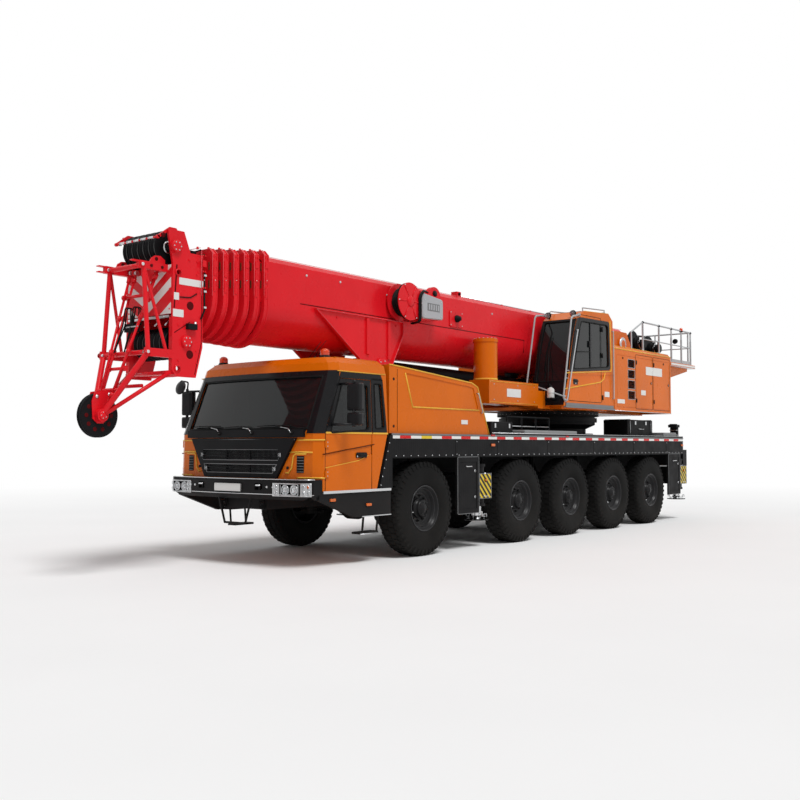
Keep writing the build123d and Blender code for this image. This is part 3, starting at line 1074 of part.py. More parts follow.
# Boom head: two side plates with guard arms over the sheaves, a front plate and spreaders
EAR_TOP = HEAD_TOP + 250
HEAD_FOOT = BELLY_Z - 1040
FACE_Z = (BELLY_Z - 280, BELLY_Z + 320)
GUARD_TOP = EAR_TOP + 30
with BuildPart() as boom_head:
    for side in (1, -1):
        side_plate(((HEAD_REAR, HEAD_TOP), (HEAD_REAR, BELLY_Z - 660), (HEAD_REAR + 100, HEAD_FOOT),
                    (HEAD_FRONT - 70, HEAD_FOOT),
                    (HEAD_FRONT, HEAD_FOOT + 80), (HEAD_FRONT, BELLY_Z + 340), (HEAD_FRONT + 80, EAR_TOP),
                    (HEAD_FRONT - 170, EAR_TOP),
                    (HEAD_FRONT - 270, HEAD_TOP)), sided(HEAD_Y, side))
        side_plate(((HEAD_FRONT - 170, EAR_TOP - 100), (HEAD_FRONT - 70, GUARD_TOP),
                    (HEAD_FRONT + 30, GUARD_TOP), (HEAD_FRONT + 210, EAR_TOP - 100),
                    (HEAD_FRONT + 190, EAR_TOP - 130), (HEAD_FRONT + 20, GUARD_TOP - 35)),
                    sided((HEAD_Y[0] - 20, HEAD_Y[0] + 1), side))
        for x, z, radius in SHEAVES:
            bar((ahead(x), side * (HEAD_Y[0] + 10), z), (ahead(x), side * (HEAD_Y[1] + 25), z),
                SHEAVE_SHAFT_R + 30)
    guard_x = HEAD_FRONT + 197
    bar((ahead(guard_x), 5 - HEAD_Y[0], EAR_TOP - 112), (ahead(guard_x), HEAD_Y[0] - 5, EAR_TOP - 112), 12)
    slab((ahead(HEAD_FRONT - 30), ahead(HEAD_FRONT)), (-HEAD_Y[0], HEAD_Y[0]), FACE_Z)
    slab((ahead(HEAD_REAR), ahead(HEAD_REAR + 200)), (-HEAD_Y[0], HEAD_Y[0]), (HEAD_TOP - 30, HEAD_TOP))
    slab((ahead(HEAD_REAR), ahead(HEAD_REAR + 30)), (-HEAD_Y[0], HEAD_Y[0]), (BELLY_Z - 660, HEAD_TOP - 30))
    for x, z in ((HEAD_REAR + 120, HEAD_FOOT + 60), (HEAD_REAR + 250, BELLY_Z + 120)):
        bar((ahead(x), -HEAD_Y[0], z), (ahead(x), HEAD_Y[0], z), 35)
    with BuildSketch(Plane.YZ.offset(ahead(HEAD_REAR - 10))):
        boom_outline(SECTIONS * BOOM_STEP - FIT)
    extrude(amount=70, mode=Mode.SUBTRACT)
    for z in JIB_PIN_Z:
        bar((ahead(JIB_PIN_X), -500, z), (ahead(JIB_PIN_X), 500, z), JIB_PIN_R, Mode.SUBTRACT)
save(boom_head, "boom_head")

RUNNER_W = 60
with BuildPart() as head_sheaves:
    for x, z, radius in SHEAVES:
        bar((ahead(x), FIT - HEAD_Y[0], z), (ahead(x), HEAD_Y[0] - FIT, z), SHEAVE_SHAFT_R)
        for number in range(SHEAVE_COUNT):
            low = (number - (SHEAVE_COUNT - 1) / 2) * SHEAVE_PITCH - SHEAVE_W / 2
            turned(((0, 0), (radius, 0), (radius, 12), (radius - GROOVE, SHEAVE_W / 2 - 8),
                    (radius - GROOVE, SHEAVE_W / 2 + 8),
                    (radius, SHEAVE_W - 12), (radius, SHEAVE_W), (0, SHEAVE_W)), (ahead(x), low, z), (0, 1, 0))
    bar((ahead(RUNNER_X), -100, RUNNER_Z), (ahead(RUNNER_X), 100, RUNNER_Z), RUNNER_PIN_R)
    turned(((0, 0), (RUNNER_R, 0), (RUNNER_R, 10), (RUNNER_R - GROOVE, RUNNER_W / 2 - 6),
            (RUNNER_R - GROOVE, RUNNER_W / 2 + 6),
            (RUNNER_R, RUNNER_W - 10), (RUNNER_R, RUNNER_W), (0, RUNNER_W)),
            (ahead(RUNNER_X), -RUNNER_W / 2, RUNNER_Z), (0, 1, 0))
save(head_sheaves, "head_sheaves")

# Runner: two braced side trusses that come together at the runner sheave
FORK_Z = (FACE_Z[1] - 90, FACE_Z[1])
FORK_Y = (300, 360)
TIE_Z = (BELLY_Z - 820, BELLY_Z - 720)
TRUSS_X = HEAD_FRONT + 340
ARM_END_Y = 80
with BuildPart() as runner_nose:
    fork_z = sum(FORK_Z) / 2
    tie_z = sum(TIE_Z) / 2
    fork_y = sum(FORK_Y) / 2
    tie_y = sum(HEAD_Y) / 2
    for side in (1, -1):
        slab((ahead(HEAD_FRONT + FIT), ahead(HEAD_FRONT + 420)), sided(FORK_Y, side), FORK_Z)
        bar((ahead(HEAD_FRONT + 380), side * (FORK_Y[0] - 5), fork_z), (ahead(HEAD_FRONT + 380),
                                                side * (FORK_Y[1] + 5), fork_z), 20, Mode.SUBTRACT)
        slab((ahead(HEAD_FRONT + FIT), ahead(TRUSS_X + 50)), sided(HEAD_Y, side), TIE_Z)
        bar((ahead(TRUSS_X), side * fork_y, fork_z), (ahead(TRUSS_X), side * tie_y, tie_z), 28)
        bar((ahead(TRUSS_X), side * fork_y, fork_z), (ahead(HEAD_FRONT + 70), side * tie_y, tie_z), 20)
        hub = (ahead(RUNNER_X), side * ARM_END_Y, RUNNER_Z)
        bar((ahead(TRUSS_X), side * tie_y, tie_z), hub, 35)
        bar((hub[0], side * (ARM_END_Y - 32), RUNNER_Z), (hub[0], side * (ARM_END_Y + 32), RUNNER_Z),
            RUNNER_PIN_R + 35)
        bar((hub[0], side * (ARM_END_Y - 60), RUNNER_Z), (hub[0], side * (ARM_END_Y + 60), RUNNER_Z),
            RUNNER_PIN_R + FIT, Mode.SUBTRACT)
    for z, half in ((fork_z, fork_y), (tie_z, tie_y)):
        bar((ahead(TRUSS_X), -half, z), (ahead(TRUSS_X), half, z), 30)
    share = 0.6
    brace = (TRUSS_X + (RUNNER_X - TRUSS_X) * share, tie_y + (ARM_END_Y - tie_y) * share,
             tie_z + (RUNNER_Z - tie_z) * share)
    bar((ahead(brace[0]), -brace[1], brace[2]), (ahead(brace[0]), brace[1], brace[2]), 25)
save(runner_nose, "runner_nose")
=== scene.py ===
from math import atan2, cos, pi, radians, sin

import bmesh
import bpy
from bpy.props import FloatProperty, FloatVectorProperty, IntProperty, PointerProperty
from mathutils import Matrix, Vector


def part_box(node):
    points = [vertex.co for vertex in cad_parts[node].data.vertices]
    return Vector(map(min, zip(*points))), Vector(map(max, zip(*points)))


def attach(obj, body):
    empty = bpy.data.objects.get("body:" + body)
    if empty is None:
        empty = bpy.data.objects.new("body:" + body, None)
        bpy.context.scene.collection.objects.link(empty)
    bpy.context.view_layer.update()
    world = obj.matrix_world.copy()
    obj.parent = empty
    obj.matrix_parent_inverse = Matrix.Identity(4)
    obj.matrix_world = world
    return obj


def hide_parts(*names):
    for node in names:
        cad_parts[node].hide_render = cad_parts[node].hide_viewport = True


bl_info = {
    "name": "Five-axle mobile crane",
    "version": (1, 0, 0),
    "blender": (4, 5, 0),
    "location": "3D View > Sidebar > Crane",
    "description": "Finishes, trim and stage for a five-axle mobile crane",
    "category": "Object",
}

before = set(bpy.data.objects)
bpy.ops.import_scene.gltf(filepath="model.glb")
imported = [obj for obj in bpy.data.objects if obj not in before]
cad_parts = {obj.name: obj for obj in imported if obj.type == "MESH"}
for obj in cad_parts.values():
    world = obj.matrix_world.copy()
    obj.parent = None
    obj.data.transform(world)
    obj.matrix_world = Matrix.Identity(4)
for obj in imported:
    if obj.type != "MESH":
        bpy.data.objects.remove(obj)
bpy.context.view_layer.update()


def middle(node):
    """Middle of a node's box."""
    low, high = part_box(node)
    return (low + high) / 2


AXLE_1 = middle("wheel_l1").x
SIDES = (("left", 1), ("right", -1))
OUT, UP, FORE, AFT = (0, 1, 0), (0, 0, 1), (1, 0, 0), (-1, 0, 0)
# Radius that closes a lathe profile on its axis
TIP = 0.0001
BEAMS = (("front_left", 1), ("front_right", -1), ("rear_left", 1), ("rear_right", -1))


# Sizes and colours that a user would change
def shade(name, description, default):
    """A colour without alpha."""
    return FloatVectorProperty(name=name, description=description, default=default, min=0, max=1, size=3,
                               subtype="COLOR")


def length(name, description, default):
    """A length in metres."""
    return FloatProperty(name=name, description=description, default=default, min=0, unit="LENGTH",
                         subtype="DISTANCE")


class CraneColours(bpy.types.PropertyGroup):
    """Colours of the finishes."""

    boom: shade("Boom", "Paint of the boom and its head", (0.72, 0.010, 0.018))
    body: shade("Bodywork", "Paint of the cabs, hood and slewing frame", (0.66, 0.135, 0.002))
    chassis: shade("Chassis", "Paint of the frame, axles and bumper", (0.009, 0.009, 0.010))
    deck: shade("Deck", "Walkway plate and skirts", (0.013, 0.013, 0.014))
    rubber: shade("Rubber", "Tyres, seals and wiper blades", (0.010, 0.010, 0.010))
    steel: shade("Steel", "Bare and plated steel", (0.62, 0.63, 0.64))
    galvanised: shade("Galvanised", "Rails, treads and grab bars", (0.42, 0.43, 0.44))
    glass: shade("Glass", "Tint of the windows", (0.020, 0.024, 0.025))
    plastic: shade("Plastic", "Moulded trim inside and outside", (0.014, 0.014, 0.015))
    nylon: shade("Sheaves", "Cast sheaves of the boom head", (0.008, 0.008, 0.009))
    amber: shade("Amber", "Beacons and side markers", (0.85, 0.16, 0.010))
    tail_red: shade("Tail red", "Tail lamps and red warning stripes", (0.62, 0.010, 0.012))
    stripe_white: shade("Stripe white", "White of the warning stripes", (0.78, 0.78, 0.76))
    rope: shade("Rope", "Greased wire rope", (0.12, 0.115, 0.105))
    plate: shade("Plates", "Blank plates", (0.74, 0.74, 0.72))
    # Painted highlights: lighter copies of the body and boom paint, laid on creases and edges where light falls
    body_light: shade("Body edges", "Lit creases and edges of the bodywork", (0.80, 0.46, 0.060))
    boom_light: shade("Boom edges", "Lit edges of the boom", (0.72, 0.10, 0.12))
    stripe_yellow: shade("Stripe yellow", "Yellow of the warning stripes", (0.72, 0.52, 0.030))
    beacon: shade("Beacons", "Domes of the beacons", (0.86, 0.075, 0.010))
    dust: shade("Dust", "Road dust near the ground", (0.23, 0.20, 0.17))


class CraneSizes(bpy.types.PropertyGroup):
    """Sizes of the trim."""

    tread: length("Tread depth", "Height of the tyre blocks", 0.014)
    blocks: IntProperty(name="Tread blocks", description="Blocks around each row of a tyre", default=44, min=12,
                        max=90)
    nuts: IntProperty(name="Wheel nuts", description="Nuts around each wheel", default=10, min=5, max=20)
    seal: length("Window seal", "Radius of the rubber around a window", 0.011)
    grab: length("Grab bar", "Radius of a grab bar", 0.016)
    dash: length("Dash length", "Length of one reflective dash on the deck edge", 0.25)
    chevron: length("Chevron width", "Width of one warning stripe", 0.075)
    rope: length("Rope", "Radius of the hoist rope", 0.011)
    pipe: length("Pipe", "Radius of a hydraulic pipe", 0.013)


class CraneStage(bpy.types.PropertyGroup):
    """Camera, floor and light."""

    lens: FloatProperty(name="Lens", description="Focal length for a 36 mm sensor", default=44.61, min=10,
                        unit="CAMERA")
    place: FloatVectorProperty(name="Camera", description="Camera place", default=(14.2116, 9.9589, 1.5807),
                               subtype="XYZ", unit="LENGTH")
    heading: FloatProperty(name="Heading", description="Direction of view around Z", default=radians(-141.76),
                           subtype="ANGLE")
    rise: FloatProperty(name="Rise", description="Upward tilt of the view", default=radians(2.664),
                        subtype="ANGLE")
    floor: length("Floor", "Half width of the floor", 90.0)
    sky: FloatProperty(name="Sky", description="Strength of the even light", default=0.40, min=0)
    sun: FloatProperty(name="Sun", description="Strength of the main lamp", default=2.0, min=0)


def colours():
    """Colours set in the panel."""
    return bpy.context.scene.crane_colours


def sizes():
    """Sizes set in the panel."""
    return bpy.context.scene.crane_sizes


# Finishes
def wire(tree, source, target):
    """Link an output to an input."""
    tree.links.new(source, target)


def add_node(tree, kind, **values):
    """Node with its settings; a key that names an input sets that input."""
    node = tree.nodes.new(kind)
    for key, value in values.items():
        if key in node.inputs:
            node.inputs[key].default_value = value
        else:
            setattr(node, key, value)
    return node


def with_alpha(colour, factor=1.0):
    """Colour made lighter or darker by the factor, with an alpha of one."""
    return (*(min(part * factor, 1) for part in colour[:3]), 1)


def new_finish(name):
    """New material, its nodes, its shader and the place on the object."""
    material = bpy.data.materials.new(name)
    material.use_nodes = True
    tree = material.node_tree
    place = add_node(tree, "ShaderNodeTexCoord").outputs["Object"]
    return material, tree, tree.nodes["Principled BSDF"], place


def spread(tree, place, scale, low, high, detail=4.0):
    """Noise over the piece, mapped to the span from low to high."""
    noise = add_node(tree, "ShaderNodeTexNoise", Scale=scale, Detail=detail)
    wire(tree, place, noise.inputs["Vector"])
    span = add_node(tree, "ShaderNodeMapRange", **{"From Min": 0.3, "From Max": 0.7, "To Min": low,
                                                   "To Max": high})
    wire(tree, noise.outputs["Fac"], span.inputs["Value"])
    return span.outputs["Result"]


def blend_colours(tree, factor, first, second):
    """Mix of two colours, each a value or an output."""
    mix = add_node(tree, "ShaderNodeMix", data_type="RGBA")
    wire(tree, factor, mix.inputs["Factor"])
    for value, socket in ((first, mix.inputs[6]), (second, mix.inputs[7])):
        if isinstance(value, bpy.types.NodeSocket):
            wire(tree, value, socket)
        else:
            socket.default_value = value
    return mix.outputs[2]


def raise_bump(tree, shader, height, strength, distance=0.002):
    """Relief of the shader from a height."""
    bump = add_node(tree, "ShaderNodeBump", Strength=strength, Distance=distance)
    wire(tree, height, bump.inputs["Height"])
    wire(tree, bump.outputs["Normal"], shader.inputs["Normal"])


def road_dust(tree, place, top, amount):
    """Dust that thins out with height, broken up by noise."""
    height = add_node(tree, "ShaderNodeSeparateXYZ")
    wire(tree, place, height.inputs["Vector"])
    fade = add_node(tree, "ShaderNodeMapRange", **{"From Min": 0.0, "From Max": top, "To Min": amount,
                                                   "To Max": 0.0})
    wire(tree, height.outputs["Z"], fade.inputs["Value"])
    patch = spread(tree, place, 3.5, 0.35, 1.0, 6.0)
    product = add_node(tree, "ShaderNodeMath", operation="MULTIPLY")
    wire(tree, fade.outputs["Result"], product.inputs[0])
    wire(tree, patch, product.inputs[1])
    return product.outputs["Value"]


def coated(name, colour, rough, coat=0.0, metal=0.0, peel=0.05, grain=260.0, tone=0.10, dust=0.0, dust_top=1.4,
           shine=0.07):
    """Sprayed or moulded surface: uneven tone, fine skin, uneven gloss and road dust."""
    material, tree, shader, place = new_finish(name)
    tint = blend_colours(tree, spread(tree, place, 1.1, 0, 1), with_alpha(colour, 1 - tone),
                         with_alpha(colour, 1 + tone))
    if dust > 0:
        tint = blend_colours(tree, road_dust(tree, place, dust_top, dust), tint, with_alpha(colours().dust))
    wire(tree, tint, shader.inputs["Base Color"])
    wire(tree, spread(tree, place, 4.0, rough - 0.06, rough + 0.08), shader.inputs["Roughness"])
    shader.inputs["Metallic"].default_value = metal
    shader.inputs["Specular IOR Level"].default_value = shine
    shader.inputs["Coat Weight"].default_value = coat
    shader.inputs["Coat Roughness"].default_value = 0.08
    raise_bump(tree, shader, spread(tree, place, grain, 0, 1, 2.0), peel)
    return material


def brushed(name, colour, rough, across):
    """Drawn or turned metal: fine lines along the work."""
    material, tree, shader, place = new_finish(name)
    stretch = add_node(tree, "ShaderNodeMapping", Scale=across)
    wire(tree, place, stretch.inputs["Vector"])
    lines = spread(tree, stretch.outputs["Vector"], 60.0, 0, 1, 3.0)
    wire(tree, blend_colours(tree, lines, with_alpha(colour, 0.86), with_alpha(colour, 1.06)),
         shader.inputs["Base Color"])
    wire(tree, spread(tree, place, 6.0, rough - 0.05, rough + 0.07), shader.inputs["Roughness"])
    shader.inputs["Metallic"].default_value = 1.0
    raise_bump(tree, shader, lines, 0.05, 0.001)
    return material


def zinc_coat(name, colour):
    """Galvanised steel with its cells."""
    material, tree, shader, place = new_finish(name)
    cells = add_node(tree, "ShaderNodeTexVoronoi", Scale=45.0)
    wire(tree, place, cells.inputs["Vector"])
    tint = blend_colours(tree, cells.outputs["Distance"], with_alpha(colour, 0.85), with_alpha(colour, 1.12))
    wire(tree, tint, shader.inputs["Base Color"])
    wire(tree, spread(tree, place, 14.0, 0.38, 0.56), shader.inputs["Roughness"])
    shader.inputs["Metallic"].default_value = 0.75
    raise_bump(tree, shader, cells.outputs["Distance"], 0.05, 0.001)
    return material


def tread_plate(name, colour, scale=9.0):
    """Painted walkway plate with small raised bars that cross each other."""
    material, tree, shader, place = new_finish(name)
    heights = []
    for turn in (45, -45):
        turned_place = add_node(tree, "ShaderNodeMapping", Rotation=(0, 0, radians(turn)))
        wire(tree, place, turned_place.inputs["Vector"])
        bars = add_node(tree, "ShaderNodeTexWave", Scale=scale, Distortion=0.0)
        wire(tree, turned_place.outputs["Vector"], bars.inputs["Vector"])
        heights.append(bars.outputs["Fac"])
    both = add_node(tree, "ShaderNodeMath", operation="MULTIPLY")
    wire(tree, heights[0], both.inputs[0])
    wire(tree, heights[1], both.inputs[1])
    worn = blend_colours(tree, both.outputs["Value"], with_alpha(colour, 0.8), with_alpha(colour, 1.15))
    tint = blend_colours(tree, road_dust(tree, place, 2.2, 0.015), worn, with_alpha(colours().dust))
    wire(tree, tint, shader.inputs["Base Color"])
    wire(tree, spread(tree, place, 5.0, 0.42, 0.6), shader.inputs["Roughness"])
    shader.inputs["Specular IOR Level"].default_value = 0.06
    raise_bump(tree, shader, both.outputs["Value"], 0.35, 0.002)
    return material


def tinted_glass(name, colour):
    """Tinted pane, a little uneven."""
    material, tree, shader, place = new_finish(name)
    tint = blend_colours(tree, spread(tree, place, 0.8, 0, 1), with_alpha(colour, 0.9),
                         with_alpha(colour, 1.15))
    wire(tree, tint, shader.inputs["Base Color"])
    wire(tree, spread(tree, place, 9.0, 0.02, 0.06), shader.inputs["Roughness"])
    shader.inputs["Transmission Weight"].default_value = 0.6
    shader.inputs["Specular IOR Level"].default_value = 0.12
    shader.inputs["IOR"].default_value = 1.45
    raise_bump(tree, shader, spread(tree, place, 1.2, 0, 1), 0.01)
    return material


def lens(name, colour, clear):
    """Ribbed lamp lens."""
    material, tree, shader, place = new_finish(name)
    ribs = add_node(tree, "ShaderNodeTexWave", Scale=26.0, bands_direction="Z")
    wire(tree, place, ribs.inputs["Vector"])
    tint = blend_colours(tree, spread(tree, place, 12.0, 0, 1), with_alpha(colour, 0.9),
                         with_alpha(colour, 1.1))
    wire(tree, tint, shader.inputs["Base Color"])
    wire(tree, spread(tree, place, 20.0, 0.06, 0.14), shader.inputs["Roughness"])
    shader.inputs["Transmission Weight"].default_value = clear
    raise_bump(tree, shader, ribs.outputs["Fac"], 0.12, 0.002)
    return material


def reflective(name, colour):
    """Reflective sheeting with its small cells."""
    material, tree, shader, place = new_finish(name)
    cells = add_node(tree, "ShaderNodeTexVoronoi", Scale=160.0)
    wire(tree, place, cells.inputs["Vector"])
    tint = blend_colours(tree, cells.outputs["Distance"], with_alpha(colour, 0.92), with_alpha(colour, 1.06))
    wire(tree, tint, shader.inputs["Base Color"])
    wire(tree, spread(tree, place, 8.0, 0.28, 0.42), shader.inputs["Roughness"])
    shader.inputs["Specular IOR Level"].default_value = 0.2
    raise_bump(tree, shader, cells.outputs["Distance"], 0.04, 0.001)
    return material


FINISHES = {}


def finish(name):
    """A finish by its name, made the first time it is asked for."""
    if name not in FINISHES:
        tone = colours()
        makers = {
            "boom_paint": lambda: coated(name, tone.boom, 0.28, coat=0.03, tone=0.07, shine=0.16),
            "body_paint": lambda: coated(name, tone.body, 0.28, coat=0.03, tone=0.07, dust=0.03, dust_top=1.6,
                                         shine=0.13),
            "chassis_paint": lambda: coated(name, tone.chassis, 0.46, peel=0.08, dust=0.10),
            "tread_plate": lambda: tread_plate(name, tone.deck),
            "skirt_paint": lambda: coated(name, tone.deck, 0.42, peel=0.08, dust=0.07),
            "tyre_rubber": lambda: coated(name, tone.rubber, 0.78, peel=0.30, grain=420.0, tone=0.2, dust=0.05,
                                          dust_top=1.3),
            "seal_rubber": lambda: coated(name, tone.rubber, 0.62, peel=0.15, grain=420.0),
            "rim_paint": lambda: coated(name, tone.chassis, 0.30, dust=0.02, dust_top=1.3, shine=0.16),
            "plated_steel": lambda: brushed(name, tone.steel, 0.30, (1, 8, 8)),
            "rod_chrome": lambda: brushed(name, tone.steel, 0.12, (40, 1, 1)),
            "zinc_steel": lambda: zinc_coat(name, tone.galvanised),
            "window_glass": lambda: tinted_glass(name, tone.glass),
            "moulded_trim": lambda: coated(name, tone.plastic, 0.55, peel=0.25, grain=500.0),
            "sheave_nylon": lambda: coated(name, tone.nylon, 0.40, peel=0.10),
            "amber_lens": lambda: lens(name, tone.amber, 0.25),
            "tail_lens": lambda: lens(name, tone.tail_red, 0.15),
            "clear_lens": lambda: lens(name, (0.82, 0.84, 0.86), 0.75),
            "stripe_red": lambda: reflective(name, tone.tail_red),
            "stripe_white": lambda: reflective(name, tone.stripe_white),
            "wire_rope": lambda: brushed(name, tone.rope, 0.48, (4, 30, 4)),
            "rim_edge": lambda: coated(name, (0.055, 0.055, 0.058), 0.22, metal=0.5, shine=0.4),
            "mirror_shell": lambda: coated(name, (0.010, 0.010, 0.011), 0.34, peel=0.10, grain=420.0,
                                           shine=0.2),
            "body_shadow": lambda: coated(name, (0.11, 0.020, 0.002), 0.45, tone=0.08),
            "pillar_black": lambda: coated(name, (0.008, 0.008, 0.009), 0.24, peel=0.02, tone=0.05, shine=0.14),
            "box_black": lambda: coated(name, (0.009, 0.009, 0.010), 0.50, peel=0.18, grain=400.0, dust=0.05,
                                        dust_top=2.4),
            # Black of the louvres, also used for sheets of painted shade at the back of the grille slots and
            # the corner vents
            "louvre_black_and_painted_shade": lambda: coated(name, (0.006, 0.006, 0.007), 0.45),
            "hose_black": lambda: coated(name, tone.rubber, 0.55, peel=0.12, grain=300.0),
            "white_paint": lambda: coated(name, tone.plate, 0.40, tone=0.03),
            # Painted highlights for the lit creases and edges of the bodywork and the boom
            "body_painted_highlight": lambda: coated(name, tone.body_light, 0.30, coat=0.06, tone=0.06),
            "boom_painted_highlight": lambda: coated(name, tone.boom_light, 0.32, coat=0.06, tone=0.06),
            "boom_shadow": lambda: coated(name, (0.085, 0.003, 0.004), 0.5, tone=0.08),
            "edge_grey": lambda: coated(name, (0.20, 0.205, 0.21), 0.45, tone=0.08, dust=0.15),
            "edge_silver": lambda: brushed(name, tone.steel, 0.34, (8, 1, 1)),
            "tread_silver": lambda: tread_plate(name, (0.30, 0.305, 0.31), 16.0),
            "bar_grey": lambda: coated(name, (0.40, 0.41, 0.42), 0.36, coat=0.2, tone=0.06),
            "cover_grey": lambda: coated(name, (0.42, 0.43, 0.45), 0.42, peel=0.10, tone=0.05),
            "lamp_grey": lambda: coated(name, (0.50, 0.51, 0.52), 0.35, tone=0.05),
            "bottle_white": lambda: coated(name, (0.66, 0.66, 0.64), 0.42, peel=0.06, tone=0.05),
            "ring_olive": lambda: coated(name, (0.022, 0.023, 0.015), 0.5, peel=0.12),
            "pad_bronze": lambda: coated(name, (0.10, 0.065, 0.030), 0.5, metal=0.3),
            "rope_worn": lambda: coated(name, (0.10, 0.10, 0.10), 0.36, metal=0.6),
            "screen_glass": lambda: coated(name, (0.005, 0.006, 0.008), 0.12, coat=0.1, peel=0.01, shine=0.3),
            "stripe_yellow": lambda: reflective(name, tone.stripe_yellow),
            "stripe_black": lambda: reflective(name, (0.015, 0.015, 0.016)),
            "beacon_lens": lambda: lens(name, tone.beacon, 0.20),
            "mirror_glass": lambda: brushed(name, (0.75, 0.77, 0.78), 0.08, (1, 1, 1)),
        }
        FINISHES[name] = makers[name]()
    return FINISHES[name]


def turns(count, start=0.0):
    """Angles that share a full turn evenly."""
    return [start + 2 * pi * k / count for k in range(count)]


def spaced(first, last, count):
    """Values from first to last in even steps."""
    return [first + (last - first) * k / count for k in range(count + 1)]


def walk(corners, count):
    """Points along a closed outline, the same count on each edge."""
    path = []
    for start, end in zip(corners, corners[1:] + corners[:1]):
        path += [tuple(a + (b - a) * k / count for a, b in zip(start, end)) for k in range(count)]
    return path


def moved(points, x=0, y=0, z=0):
    """Copy of the points, shifted."""
    return [Vector(p) + Vector((x, y, z)) for p in points]


def upright(x, y, z):
    """Rectangle across the pairs x and z at one Y."""
    return [(x[0], y, z[0]), (x[1], y, z[0]), (x[1], y, z[1]), (x[0], y, z[1])]


def rounded(points, bend, steps=4):
    """Closed outline with its corners rounded."""
    points = [Vector(p) if len(p) == 3 else Vector((p[0], p[1], 0)) for p in points]
    path = []
    for k, corner in enumerate(points):
        back = points[k - 1] - corner
        out = points[(k + 1) % len(points)] - corner
        reach = min(bend, back.length * 0.45, out.length * 0.45)
        for j in range(steps + 1):
            t = j / steps
            path.append(corner + back.normalized() * reach * (1 - t) ** 2 + out.normalized() * reach * t ** 2)
    return path


